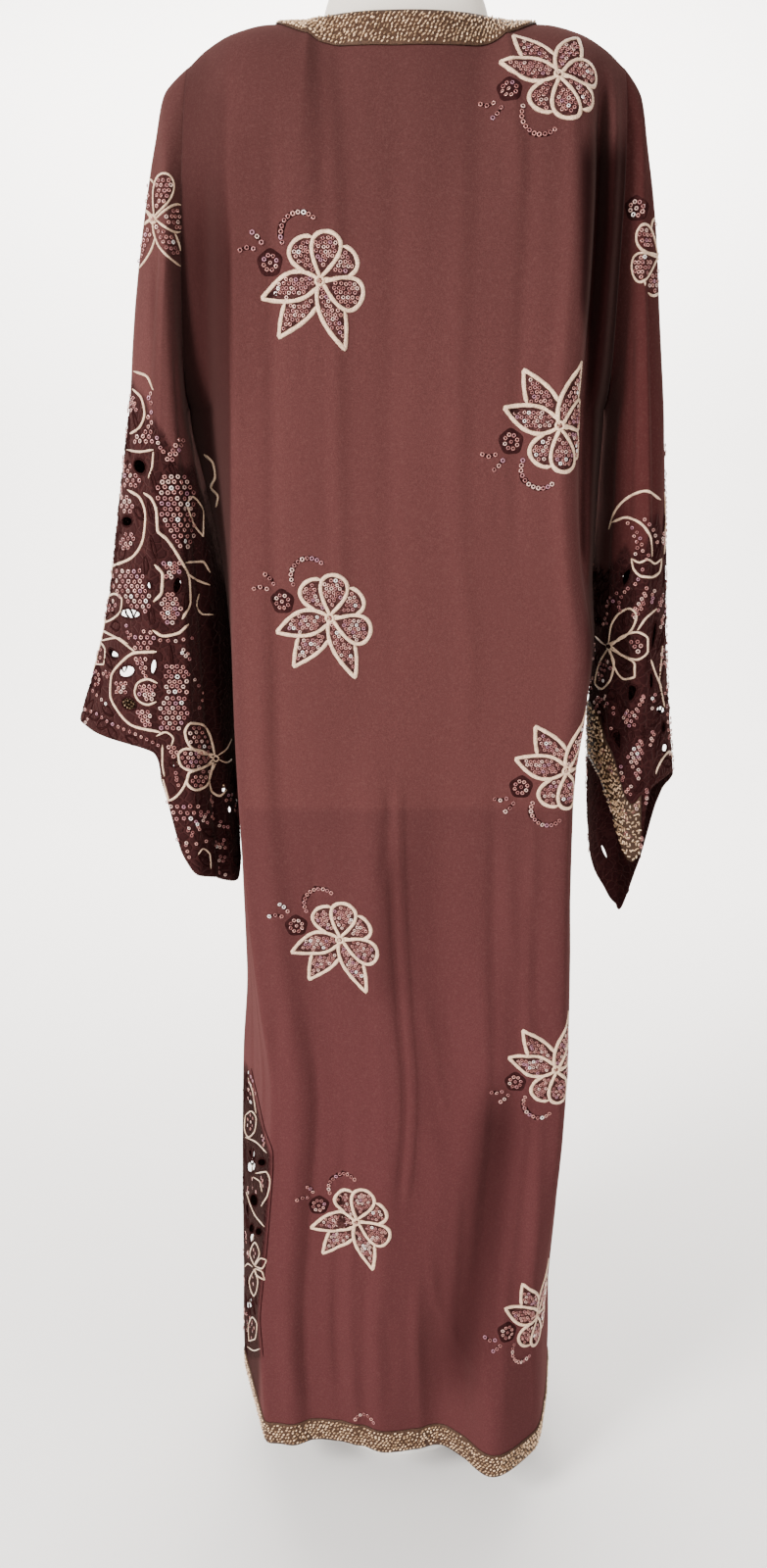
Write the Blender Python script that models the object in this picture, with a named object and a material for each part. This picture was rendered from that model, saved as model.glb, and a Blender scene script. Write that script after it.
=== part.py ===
"""A long wide-sleeved robe worn by a limbless dress form, seen from its back (the -Y side).

Metres, +Z up.  The origin is the middle of the base plate's underside, on the floor.
The garment's back faces -Y and its front +Y; left and right are as seen from its back.
Every piece of cloth is a thin wall built on a surface worked out from the tables below.
"""
import math
import bpy
import numpy as np

# ------------------------------------------------------------------ named sizes (metres)
SET_BACK = -0.025          # the garment's tables are shifted by this to stand over the base
LINE_Y = -0.020            # line of the shoulder seams and side seams
WALL = 0.0016              # thickness of the cloth walls
GAP = 0.0003               # space between sewn pieces
LAID = 0.0009              # space under the neck braid, which crosses both shoulder seams
BRAID_T = 0.0014           # thickness of the woven braid
UNDERARM_Z = 1.180
SHOULDER_Z = 1.470         # outer end of the shoulder seam
SHOULDER_X = 0.1925
NECK_Z = 1.503             # level of the neck edge at the back and sides
NECK_HALF = 0.084          # half width of the neck opening
NECK_BACK = 0.040          # its depth behind the shoulder line
NECK_FRONT = 0.082         # its depth in front of it, in plan
NECK_DROP = 0.062          # how much lower the front neck is
NECK_BRAID_W = 0.031
HEM_BRAID_W = 0.028
CUFF_BRAID_W = 0.030
CUFF_ROLL_W = 0.062        # right cuff: its edge runs slanting, so its braid is wider down the sleeve
FOLD_AT = 0.62             # share of a half panel from its middle to its fold line
NECK_AT = 0.40             # share of a half panel that ends in the neck edge
UPPER_FROM = 0.72          # share of the rows below the underarm
CROWD = 1.9                # how much the rows crowd towards the shoulder
SLEEVE_OFF = 0.0030        # the hanging sleeves stay this far from the side of the body
INNER_NEAR, INNER_FAR, INNER_SIDE = -0.22, -0.28, -0.12   # squareness of their inner sides
CUFF_FROM = 0.60           # share of the sleeve where its lines turn towards the cuff's edge

# sections of the body, from the top down:
# height, side seam left, fold left, fold right, side seam right, back plane, front plane
BODY = [
    # z,     seam_l,  fold_l, fold_r, seam_r, back_y, front_y
    (1.520, -0.1925, -0.150, 0.155, 0.1925, -0.127, 0.082),
    (1.400, -0.1960, -0.150, 0.154, 0.1900, -0.128, 0.092),
    (1.300, -0.2010, -0.151, 0.152, 0.1900, -0.128, 0.100),
    (1.180, -0.2050, -0.153, 0.148, 0.1910, -0.127, 0.099),
    (1.100, -0.1910, -0.156, 0.152, 0.1890, -0.126, 0.095),
    (1.030, -0.1790, -0.158, 0.160, 0.1880, -0.125, 0.093),
    (0.957, -0.1740, -0.159, 0.172, 0.1925, -0.126, 0.094),
    (0.900, -0.1720, -0.160, 0.168, 0.1870, -0.126, 0.095),
    (0.830, -0.1710, -0.159, 0.161, 0.1790, -0.125, 0.095),
    (0.705, -0.1700, -0.154, 0.163, 0.1800, -0.123, 0.093),
    (0.600, -0.1690, -0.145, 0.166, 0.1840, -0.123, 0.093),
    (0.500, -0.1760, -0.135, 0.168, 0.1860, -0.124, 0.095),
    (0.350, -0.1820, -0.147, 0.163, 0.1790, -0.127, 0.099),
    (0.220, -0.1850, -0.156, 0.157, 0.1750, -0.129, 0.103),
    (0.110, -0.1880, -0.153, 0.160, 0.1780, -0.132, 0.106),
    (0.030, -0.1850, -0.149, 0.156, 0.1730, -0.134, 0.108),
]
# the armhole edge of the back and of the front, above the underarm
ARMHOLE = [
    # z,    back_y, front_y
    (1.180, -0.020, -0.020),
    (1.195, -0.040, 0.000),
    (1.230, -0.058, 0.018),
    (1.300, -0.072, 0.032),
    (1.380, -0.082, 0.040),
    (1.520, -0.086, 0.044),
]
# height of the shoulder seam against its distance from the middle
SHOULDER = [
    # x,     z
    (0.0840, 1.5030),
    (0.1200, 1.5020),
    (0.1500, 1.4955),
    (0.1750, 1.4835),
    (0.1925, 1.4700),
]
# height of the hem across the back and across the front (-1 is the left side seam)
HEM = [
    # share, back_z, front_z
    (-1.00, 0.066, 0.066),
    (-0.60, 0.064, 0.062),
    (-0.30, 0.066, 0.058),
    (0.00, 0.056, 0.060),
    (0.30, 0.055, 0.056),
    (0.55, 0.050, 0.060),
    (0.80, 0.062, 0.064),
    (1.00, 0.066, 0.066),
]
# largest folds of the back; depth is outwards, tilt is how far the fold moves per metre down
FOLDS_BACK = [
    # share, width, depth,   z_low, z_high, fade, tilt
    (0.735, 0.060, -0.026, 1.060, 1.400, 0.070, 0.00),
    (0.870, 0.060, 0.007, 1.060, 1.400, 0.070, 0.00),
    (-0.120, 0.070, 0.005, -0.100, 0.790, 0.120, 0.02),
    (0.120, 0.080, -0.004, -0.100, 0.760, 0.160, -0.04),
    (0.300, 0.070, 0.006, -0.100, 0.560, 0.160, 0.10),
    (0.400, 0.130, 0.030, -0.100, 0.130, 0.200, 0.05),
    (0.660, 0.090, -0.016, -0.100, 0.260, 0.180, 0.00),
    (0.160, 0.070, -0.008, -0.100, 0.260, 0.170, 0.05),
    (-0.800, 0.075, -0.010, 1.060, 1.300, 0.100, 0.00),
    (-0.380, 0.090, -0.005, -0.100, 0.560, 0.200, 0.00),
    (-0.520, 0.050, 0.004, 0.020, 0.900, 0.180, 0.03),
    (-0.350, 0.120, 0.003, 0.850, 1.330, 0.120, 0.00),
]
# similar folds on the front, which the photograph doesn't show
FOLDS_FRONT = [
    # share, width, depth,   z_low, z_high, fade, tilt
    (-0.420, 0.090, 0.008, -0.100, 1.020, 0.240, 0.03),
    (-0.200, 0.080, -0.007, -0.100, 0.860, 0.240, 0.02),
    (0.030, 0.090, 0.010, -0.100, 0.780, 0.260, -0.02),
    (0.280, 0.080, -0.008, -0.100, 0.900, 0.260, -0.03),
    (0.500, 0.090, 0.011, -0.100, 0.700, 0.240, -0.04),
    (0.000, 0.160, 0.004, 0.900, 1.280, 0.140, 0.00),
]
# sleeves: outer edge, near ridge, underside and far ridge of each section, shoulder to cuff;
# x counts outwards from the middle; clear is the underside's extra distance from the body
SLEEVE_LEFT = [
    # top_x, top_z, ridge_x, ridge_y, ridge_z, under_y, under_z, clear, far_x, far_y
    (0.1925, 1.470, 0.2030, -0.078, 1.335, -0.020, 1.180, 0.000, 0.2030, 0.038),
    (0.2155, 1.445, 0.2070, -0.088, 1.320, -0.020, 1.166, 0.000, 0.2080, 0.050),
    (0.2240, 1.412, 0.2105, -0.093, 1.295, -0.020, 1.150, 0.000, 0.2130, 0.058),
    (0.2360, 1.360, 0.2145, -0.097, 1.255, -0.018, 1.125, 0.002, 0.2190, 0.066),
    (0.2500, 1.280, 0.2185, -0.100, 1.195, -0.014, 1.085, 0.002, 0.2270, 0.073),
    (0.2610, 1.190, 0.2230, -0.102, 1.120, -0.010, 1.030, 0.001, 0.2350, 0.079),
    (0.2790, 1.100, 0.2280, -0.103, 1.040, -0.006, 0.970, 0.000, 0.2440, 0.084),
    (0.2990, 1.000, 0.2325, -0.103, 0.955, -0.010, 0.905, 0.000, 0.2530, 0.089),
    (0.3320, 0.875, 0.2370, -0.100, 0.862, -0.012, 0.800, 0.000, 0.2640, 0.094),
]
SLEEVE_RIGHT = [
    # top_x, top_z, ridge_x, ridge_y, ridge_z, under_y, under_z, clear, far_x, far_y
    (0.1925, 1.470, 0.1960, -0.078, 1.335, -0.020, 1.180, 0.000, 0.1960, 0.038),
    (0.2070, 1.445, 0.2020, -0.087, 1.320, -0.020, 1.166, 0.000, 0.2030, 0.050),
    (0.2125, 1.412, 0.2060, -0.091, 1.295, -0.020, 1.150, 0.000, 0.2080, 0.056),
    (0.2220, 1.360, 0.2110, -0.093, 1.255, -0.018, 1.125, 0.000, 0.2130, 0.062),
    (0.2310, 1.280, 0.2160, -0.093, 1.195, -0.014, 1.085, 0.001, 0.2190, 0.067),
    (0.2420, 1.190, 0.2220, -0.091, 1.120, -0.008, 1.030, 0.000, 0.2260, 0.071),
    (0.2535, 1.100, 0.2280, -0.088, 1.035, -0.006, 0.970, 0.000, 0.2340, 0.074),
    (0.2635, 1.000, 0.2330, -0.084, 0.940, -0.010, 0.905, 0.002, 0.2420, 0.075),
    (0.2800, 0.830, 0.2400, -0.080, 0.780, -0.010, 0.840, 0.014, 0.2500, 0.072),
]
# height of each cuff's edge round the sleeve: 0 outer edge, 0.25 near ridge, 0.5 underside
CUFF_LEFT = [
    # share, z
    (0.00, 0.876), (0.12, 0.870), (0.22, 0.862), (0.245, 0.848), (0.258, 0.800),
    (0.272, 0.758), (0.30, 0.734), (0.36, 0.725), (0.43, 0.713), (0.47, 0.725), (0.51, 0.785),
    (0.60, 0.778), (0.68, 0.772), (0.78, 0.815), (0.90, 0.866),
]
CUFF_RIGHT = [
    # share, z
    (0.00, 0.814), (0.10, 0.828), (0.20, 0.820), (0.228, 0.798), (0.25, 0.752), (0.27, 0.742),
    (0.36, 0.796), (0.43, 0.825), (0.50, 0.833), (0.56, 0.765), (0.62, 0.705),
    (0.70, 0.662), (0.78, 0.630), (0.85, 0.690), (0.92, 0.780),
]
# the torso form, bottom to top: half width, back, front, squareness of the section
FORM = [
    # z,    half_x, back_y, front_y, square
    (0.812, 0.1520, -0.114, 0.078, 2.6),
    (0.830, 0.1560, -0.117, 0.081, 2.6),
    (0.900, 0.1620, -0.119, 0.083, 2.5),
    (0.960, 0.1640, -0.119, 0.082, 2.5),
    (1.030, 0.1500, -0.112, 0.078, 2.4),
    (1.110, 0.1330, -0.104, 0.074, 2.4),
    (1.180, 0.1300, -0.104, 0.078, 2.4),
    (1.260, 0.1400, -0.112, 0.090, 2.4),
    (1.330, 0.1500, -0.111, 0.088, 2.4),
    (1.390, 0.1620, -0.100, 0.070, 2.3),
    (1.430, 0.1680, -0.087, 0.050, 2.2),
    (1.455, 0.1690, -0.074, 0.034, 2.1),
    (1.469, 0.1600, -0.063, 0.021, 2.0),
    (1.478, 0.1440, -0.055, 0.013, 2.0),
    (1.484, 0.1180, -0.050, 0.010, 2.0),
    (1.489, 0.0940, -0.047, 0.014, 2.0),
    (1.496, 0.0790, -0.046, 0.022, 2.0),
    (1.508, 0.0745, -0.046, 0.028, 2.0),
    (1.522, 0.0700, -0.047, 0.033, 2.0),
    (1.545, 0.0610, -0.050, 0.036, 2.0),
    (1.572, 0.0560, -0.052, 0.034, 2.0),
    (1.584, 0.0530, -0.050, 0.032, 2.0),
    (1.590, 0.0440, -0.043, 0.024, 2.0),
]
FORM_CENTRE_Y = -0.012
POLE_R = 0.0125
BASE_R = 0.110
BASE_T = 0.008
# number of facets across and along each piece
NECK_FACETS, SIDE_FACETS, STRIP_FACETS = 16, 3, 4
LOW_ROWS, TOP_ROWS = 13, 8
SLEEVE_ROUND, SLEEVE_LONG = 24, 13
FORM_ROUND = 28


# ------------------------------------------------------------------ small helpers
def smooth(t):
    t = np.clip(t, 0.0, 1.0)
    return t * t * (3.0 - 2.0 * t)


def through(xs, ys, x):
    """A smooth curve through a table's points that never overshoots them."""
    xs = np.asarray(xs, float)
    ys = np.asarray(ys, float)
    if xs[0] > xs[-1]:
        xs, ys = xs[::-1], ys[::-1]
    h = np.diff(xs)
    d = np.diff(ys) / h
    m = np.zeros(len(xs))
    same = d[:-1] * d[1:] > 0
    m[1:-1] = np.where(same, 2 * d[:-1] * d[1:] / np.where(same, d[:-1] + d[1:], 1.0), 0.0)
    m[0], m[-1] = d[0], d[-1]
    x = np.clip(np.asarray(x, float), xs[0], xs[-1])
    i = np.clip(np.searchsorted(xs, x, side="right") - 1, 0, len(h) - 1)
    t = (x - xs[i]) / h[i]
    a = (1 + 2 * t) * (1 - t) ** 2 * ys[i] + t * (1 - t) ** 2 * h[i] * m[i]
    return a + t * t * (3 - 2 * t) * ys[i + 1] + t * t * (t - 1) * h[i] * m[i + 1]


def column(table, k):
    return [row[k] for row in table]


def body(k, z):
    return through(column(BODY, 0), column(BODY, k), z)


# ------------------------------------------------------------------ surfaces of the body
def top_line(front, c):
    """The top edge of a panel: the neck edge in the middle, the shoulder seam outside it."""
    a = np.abs(c)
    inner = np.clip(a / NECK_AT, 0, 1) * math.pi / 2
    outer = np.clip((a - NECK_AT) / (1 - NECK_AT), 0, 1)
    x_sh = through([0, (FOLD_AT - NECK_AT) / (1 - NECK_AT), 1], [NECK_HALF, 0.150, SHOULDER_X], outer)
    x = np.where(a < NECK_AT, NECK_HALF * np.sin(inner), x_sh)
    z = np.where(a < NECK_AT, NECK_Z, through(column(SHOULDER, 0), column(SHOULDER, 1), x))
    deep = np.where(a < NECK_AT, np.cos(inner), 0.0)
    # the back neck stands up to the shoulder's level; the front neck is cut lower into the chest
    y = LINE_Y + GAP / 2 if front else LINE_Y - GAP / 2 - NECK_BACK * deep
    cut = NECK_DROP * deep ** 1.9 if front else 0.0
    return np.sign(c) * x, y + 0.0 * x, z, z - cut


def hem_z(front, c):
    return through(column(HEM, 0), column(HEM, 2 if front else 1), c)


def section(front, c, z):
    """A panel's line at one height, without its folds: seam, fold line, middle, fold line, seam.
    The corners are rounded by averaging along the line."""
    sl, fl, fr, sr = (body(k, z) for k in (1, 2, 3, 4))
    flat = body(6 if front else 5, z)
    arm = through(column(ARMHOLE, 0), column(ARMHOLE, 2 if front else 1), z)
    gap = GAP / 2 if front else -GAP / 2
    edge = np.where(z > UNDERARM_Z, arm, LINE_Y) + gap
    crown = flat + (0.006 if front else -0.003)
    if front:
        fl, fr = fl * 0.93, fr * 0.90
    crisp = np.where(np.asarray(c) < 0, 0.040, 0.075)
    soft = 0.11 if front else crisp + 0.06 * smooth((z - 1.30) / 0.12)
    x = np.zeros(np.broadcast(c, z).shape)
    y = np.zeros_like(x)
    mid = (fl + fr) / 2
    weights = ((-1.0, 1), (-0.66, 2), (-0.33, 3), (0.0, 4), (0.33, 3), (0.66, 2), (1.0, 1))
    total = float(sum(w for _, w in weights))
    for shift, w in weights:
        q = c + shift * soft
        s1 = (q + 1) / (1 - FOLD_AT)
        s2 = (q + FOLD_AT) / FOLD_AT
        s3 = q / FOLD_AT
        s4 = (q - FOLD_AT) / (1 - FOLD_AT)
        px = np.where(q < -FOLD_AT, sl + (fl - sl) * s1,
             np.where(q < 0, fl + (mid - fl) * s2,
             np.where(q < FOLD_AT, mid + (fr - mid) * s3, fr + (sr - fr) * s4)))
        py = np.where(q < -FOLD_AT, edge + (flat - edge) * s1,
             np.where(q < 0, flat + (crown - flat) * s2,
             np.where(q < FOLD_AT, crown + (flat - crown) * s3, flat + (edge - flat) * s4)))
        x += px * w / total
        y += py * w / total
    return x, y


def folds(table, c, z):
    d = np.zeros(np.broadcast(c, z).shape)
    for share, width, depth, z0, z1, fade, tilt in table:
        at = share + tilt * (z1 - z)
        run = smooth((z - z0 + fade) / fade) * smooth((z1 + fade - z) / fade)
        d += depth * np.exp(-((c - at) / width) ** 2) * run
    return d


def panel(front, c, v):
    """Point of the back or front panel: c from -1 (left seam) to 1, v from 0 (hem) to 1."""
    c, v = np.broadcast_arrays(np.asarray(c, float), np.asarray(v, float))
    tx, ty, tz, cut_z = top_line(front, c)
    low = v / UPPER_FROM
    up = np.clip((v - UPPER_FROM) / (1 - UPPER_FROM), 0, 1)
    hem = hem_z(front, c)
    span = tz - UNDERARM_Z
    z = np.where(v < UPPER_FROM, hem + (UNDERARM_Z - hem) * low,
                 cut_z - (cut_z - UNDERARM_Z) * (1 - up) ** CROWD)
    x, y = section(front, c, z)
    s = np.clip((tz - z) / span, 0, 1)
    # near the neck the cloth stands up; over the shoulder it lies round the form
    over = np.ones_like(c) if front else smooth((np.abs(c) - 0.20) / 0.20)
    p = 3.2 + 0.3 * over
    k = (1 - (1 - s) ** p) ** (1 - 0.47 * over)
    k = np.where(v < UPPER_FROM, 1.0, k)
    m = smooth(up) ** 1.5
    x = x + (tx - x) * m
    y = ty + (y - ty) * k
    d = folds(FOLDS_FRONT if front else FOLDS_BACK, c, z)
    d = d * smooth((1.0 - np.abs(c)) / 0.10)
    y = y + (d if front else -d)
    return np.stack([x, y + SET_BACK, z], -1)


def panel_normal(front, c, v):
    e = 1e-3
    c, v = np.broadcast_arrays(np.asarray(c, float), np.asarray(v, float))
    c0, c1 = np.maximum(c - e, -1), np.minimum(c + e, 1)
    v0, v1 = np.maximum(v - e, 0), np.minimum(v + e, 1)
    n = np.cross(panel(front, c1, v) - panel(front, c0, v), panel(front, c, v1) - panel(front, c, v0))
    if front:
        n = -n
    n = n / np.maximum(np.linalg.norm(n, axis=-1, keepdims=True), 1e-12)
    # the end faces along a seam lie in the seam's own plane, so that two walls never cross there
    shoulder = (v > 0.999) & (np.abs(c) > NECK_AT - 1e-6)
    side = (np.abs(c) > 0.999) & (v <= UPPER_FROM + 1e-6)
    arm = (np.abs(c) > 0.999) & (v > UPPER_FROM + 1e-6) & ~shoulder
    n[..., 1] = np.where(shoulder | side, 0.0, n[..., 1])
    high = smooth((v - UPPER_FROM) / 0.04)
    n[..., 0] = np.where(arm, n[..., 0] * (1 - high), n[..., 0])
    n[..., 0] = np.where(shoulder & (np.abs(c) > 0.999), 0.0, n[..., 0])
    return n / np.maximum(np.linalg.norm(n, axis=-1, keepdims=True), 1e-12)


# ------------------------------------------------------------------ surfaces of the sleeves
def armhole(side, f):
    """The loop where a sleeve is sewn on: f 0 at the shoulder, 0.25 back, 0.5 underarm."""
    z = UNDERARM_Z + (SHOULDER_Z - UNDERARM_Z) * (0.5 + 0.5 * np.cos(2 * math.pi * f))
    span = SHOULDER_Z - UNDERARM_Z
    up = 1 - (np.clip((SHOULDER_Z - z) / span, 0, 1)) ** (1 / CROWD)
    v = UPPER_FROM + (1 - UPPER_FROM) * up
    c = np.full_like(v, side)
    back = panel(False, c, v)
    front = panel(True, c, v)
    return np.where((f <= 0.5)[..., None], back, front)


def sleeve_table(side):
    return SLEEVE_LEFT if side < 0 else SLEEVE_RIGHT


def cuff_z(side, f):
    t = CUFF_LEFT if side < 0 else CUFF_RIGHT
    fs = [r[0] - 1 for r in t] + [r[0] for r in t] + [r[0] + 1 for r in t]
    zs = [r[1] for r in t] * 3
    return through(fs, zs, f)


def sleeve_ring(side, f, s):
    """The sleeve's section at a share of its length, before the cuff's own edge is worked in."""
    t = sleeve_table(side)
    steps = np.linspace(0, 1, len(t))
    tx, tz, rx, ry, rz, uy, uz, clear, fx, fy = (through(steps, column(t, k), s) for k in range(10))
    seam = np.abs(body(1 if side < 0 else 4, uz))
    ux = seam + SLEEVE_OFF + clear
    ox, oy, oz = (tx + ux) / 2, (LINE_Y + uy) / 2, (tz + uz) / 2
    a = 2 * math.pi * f
    ca, sa = np.cos(a), np.sin(a)
    # the outer strip meets the ridges at an angle; the inner one lies round against the body
    hang = smooth(s / 0.4)
    cc = np.abs(ca) ** (1.0 + np.where(ca > 0, 0.45, np.where(sa > 0, INNER_NEAR, INNER_FAR)) * hang)
    ss = np.abs(sa) ** (1.0 + np.where(ca > 0, 0.12, INNER_SIDE) * hang)
    ax = np.where(ca > 0, tx, ux)
    ay = np.where(ca > 0, LINE_Y, uy)
    az = np.where(ca > 0, tz, uz)
    bx = np.where(sa > 0, rx, fx)
    by = np.where(sa > 0, ry, fy)
    x = ox + (ax - ox) * cc + (bx - ox) * ss
    y = oy + (ay - oy) * cc + (by - oy) * ss
    z = oz + (az - oz) * cc + (rz - oz) * ss
    return x, y, z


def sleeve(side, f, s):
    """Point of a sleeve: f round it from the outer edge, s from 0 (armhole) to 1 (cuff)."""
    f, s = np.broadcast_arrays(np.asarray(f, float) % 1.0, np.asarray(s, float))
    x, y, z = sleeve_ring(side, f, s)
    # from CUFF_FROM on, each line round the sleeve runs evenly down to its place on the cuff
    zj = sleeve_ring(side, f, np.full(s.shape, CUFF_FROM))[2]
    run = zj + (cuff_z(side, f) - zj) * (s - CUFF_FROM) / (1 - CUFF_FROM)
    g = smooth((s - CUFF_FROM) / 0.25)
    z = z + (run - z) * g
    loop = armhole(side, f)
    w = smooth(s / 0.11)
    step = GAP + 0.0012 * smooth((0.16 - np.abs(f - 0.5)) / 0.10)
    x = np.abs(loop[..., 0]) + step + (x - np.abs(loop[..., 0]) - step) * w
    y = loop[..., 1] + (y + SET_BACK - loop[..., 1]) * w
    z = loop[..., 2] + (z - loop[..., 2]) * w
    return np.stack([side * x, y, z], -1)


def sleeve_normal(side, f, s):
    e = 1e-3
    f, s = np.broadcast_arrays(np.asarray(f, float), np.asarray(s, float))
    s0, s1 = np.maximum(s - e, 0), np.minimum(s + e, 1)
    n = np.cross(sleeve(side, f + e, s) - sleeve(side, f - e, s), sleeve(side, f, s1) - sleeve(side, f, s0))
    if side < 0:
        n = -n
    n = n / np.maximum(np.linalg.norm(n, axis=-1, keepdims=True), 1e-12)
    n[..., 0] = np.where(s < 1e-6, 0.0, n[..., 0])
    return n / np.maximum(np.linalg.norm(n, axis=-1, keepdims=True), 1e-12)


# ------------------------------------------------------------------ the neck braid's path
def on_panel(front, x, y):
    """The point of a panel that lies at a place (x, y) in plan, found by Newton's steps."""
    c = np.clip(x / 0.24, -0.98, 0.98)
    v = np.full_like(c, 0.985)
    target = np.stack([x, y], -1)
    e = 1e-4
    for _ in range(25):
        p = panel(front, c, v)[..., :2]
        dc = (panel(front, c + e, v)[..., :2] - p) / e
        dv = (p - panel(front, c, v - e)[..., :2]) / e
        r = target - p
        det = dc[..., 0] * dv[..., 1] - dc[..., 1] * dv[..., 0]
        det = np.where(np.abs(det) < 1e-6, 1e-6 * np.sign(det + 1e-12), det)
        sc = (r[..., 0] * dv[..., 1] - r[..., 1] * dv[..., 0]) / det
        sv = (dc[..., 0] * r[..., 1] - dc[..., 1] * r[..., 0]) / det
        c = np.clip(c + np.clip(sc, -0.05, 0.05), -0.99, 0.99)
        v = np.clip(v + np.clip(sv, -0.03, 0.03), 0.76, 1.0)
    return c, v


def neck_strip(around, across):
    """Points and normals of the strip round the neck: around from 0 to 1, across in metres."""
    a = 2 * math.pi * np.asarray(around, float)
    front = np.sin(a) > 0
    depth = np.where(front, NECK_FRONT, NECK_BACK)
    ex, ey = NECK_HALF * np.cos(a), depth * np.sin(a)
    nx, ny = np.cos(a) / NECK_HALF, np.sin(a) / depth
    ln = np.hypot(nx, ny)
    nx, ny = nx / ln, ny / ln
    out = np.linspace(0.0, 0.045, 46)[:, None]
    pts = np.zeros((len(out), len(a), 3))
    nrm = np.zeros_like(pts)
    for fr in (False, True):
        pick = front if fr else ~front
        edge_c = np.sign(ex[pick]) * NECK_AT * 2 / math.pi * np.arcsin(np.clip(np.abs(ex[pick]) / NECK_HALF, 0, 1))
        edge = panel(fr, edge_c, np.ones_like(edge_c))
        c, v = on_panel(fr, edge[:, 0] + nx[pick] * out, edge[:, 1] + ny[pick] * out)
        c[0], v[0] = edge_c, 1.0
        pts[:, pick] = panel(fr, c, v)
        nrm[:, pick] = panel_normal(fr, c, np.minimum(v, 0.998))
    run = np.zeros(pts.shape[:2])
    run[1:] = np.cumsum(np.linalg.norm(np.diff(pts, axis=0), axis=-1), axis=0)
    across = np.asarray(across, float)
    P = np.zeros((len(across), len(a), 3))
    N = np.zeros_like(P)
    for j in range(len(a)):
        for k in range(3):
            P[:, j, k] = np.interp(across, run[:, j], pts[:, j, k])
            N[:, j, k] = np.interp(across, run[:, j], nrm[:, j, k])
    on_seam = np.abs(np.sin(a)) < 1e-6
    N[:, on_seam, 1] = 0.0
    return P, N / np.linalg.norm(N, axis=-1, keepdims=True)


# ------------------------------------------------------------------ building the solids
def material(name, colour, rough, metal=0.0):
    m = bpy.data.materials.new(name)
    m.use_nodes = True
    b = m.node_tree.nodes["Principled BSDF"]
    b.inputs["Base Color"].default_value = (*colour, 1.0)
    b.inputs["Roughness"].default_value = rough
    b.inputs["Metallic"].default_value = metal
    m.diffuse_color = (*colour, 1.0)
    return m


def add(name, verts, faces, mat):
    v = np.asarray(verts, float)
    vol = 0.0
    for f in faces:
        for i in range(1, len(f) - 1):
            vol += np.dot(v[f[0]], np.cross(v[f[i]], v[f[i + 1]]))
    if vol < 0:
        faces = [tuple(reversed(f)) for f in faces]
    me = bpy.data.meshes.new(name)
    me.from_pydata([tuple(p) for p in v], [], faces)
    me.validate()
    me.materials.append(mat)
    me.shade_smooth()
    ob = bpy.data.objects.new(name, me)
    bpy.context.scene.collection.objects.link(ob)
    return ob


def wall(name, P, N, low, high, mat, closed=False):
    """A closed wall on a grid of points: from low to high along the normals, rows by columns."""
    rows, cols = P.shape[:2]
    inner = (P + N * low).reshape(-1, 3)
    outer = (P + N * high).reshape(-1, 3)
    n = rows * cols
    faces = []

    def at(i, j, o):
        return o * n + i * cols + (j % cols)
    last = cols if closed else cols - 1
    for i in range(rows - 1):
        for j in range(last):
            a = (at(i, j, 1), at(i, j + 1, 1), at(i + 1, j + 1, 1), at(i + 1, j, 1))
            b = (at(i + 1, j, 0), at(i + 1, j + 1, 0), at(i, j + 1, 0), at(i, j, 0))
            faces += [(a[0], a[1], a[2]), (a[0], a[2], a[3]), (b[0], b[1], b[3]), (b[1], b[2], b[3])]
    for j in range(last):
        faces.append((at(0, j, 0), at(0, j + 1, 0), at(0, j + 1, 1), at(0, j, 1)))
        faces.append((at(rows - 1, j + 1, 0), at(rows - 1, j, 0), at(rows - 1, j, 1), at(rows - 1, j + 1, 1)))
    if not closed:
        for i in range(rows - 1):
            faces.append((at(i + 1, 0, 0), at(i, 0, 0), at(i, 0, 1), at(i + 1, 0, 1)))
            faces.append((at(i, last, 0), at(i + 1, last, 0), at(i + 1, last, 1), at(i, last, 1)))
    return add(name, np.vstack([inner, outer]), faces, mat)


def columns_of_panel():
    neck = np.linspace(0, NECK_AT, NECK_FACETS // 2 + 1)
    sidec = np.linspace(NECK_AT, FOLD_AT, SIDE_FACETS + 1)[1:]
    strip = np.linspace(FOLD_AT, 1.0, STRIP_FACETS + 1)[1:]
    half = np.concatenate([neck, sidec, strip])
    return np.concatenate([-half[::-1], half[1:]])


def rows_of_panel():
    first = HEM_BRAID_W / (UNDERARM_Z - 0.06) * UPPER_FROM
    low = np.concatenate([[0.0], np.linspace(first, UPPER_FROM, LOW_ROWS)])
    top = np.linspace(UPPER_FROM, 1.0, TOP_ROWS + 1)[1:]
    return np.concatenate([low, top])


def build_panel(name, front, mat):
    c = columns_of_panel()[None, :]
    v = rows_of_panel()[:, None]
    P, N = panel(front, c, v), panel_normal(front, c, v)
    return wall(name, P, N, -WALL / 2, WALL / 2, mat)


def build_hem(name, front, mat):
    c = columns_of_panel()[None, :]
    v = rows_of_panel()[:2, None]
    P, N = panel(front, c, v), panel_normal(front, c, v)
    low = WALL / 2 + GAP
    return wall(name, P, N, low, low + BRAID_T, mat)


def cuff_share(side, f, width):
    """Share along the sleeve at which the cloth is a given distance from the cuff's edge."""
    s = np.linspace(1.0, 0.6, 81)[:, None]
    P = sleeve(side, f[None, :], s)
    run = np.zeros(P.shape[:2])
    run[1:] = np.cumsum(np.linalg.norm(np.diff(P, axis=0), axis=-1), axis=0)
    return np.array([np.interp(width, run[:, j], s[:, 0]) for j in range(len(f))])


def cuff_width(side):
    return CUFF_BRAID_W if side < 0 else CUFF_ROLL_W


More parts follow.
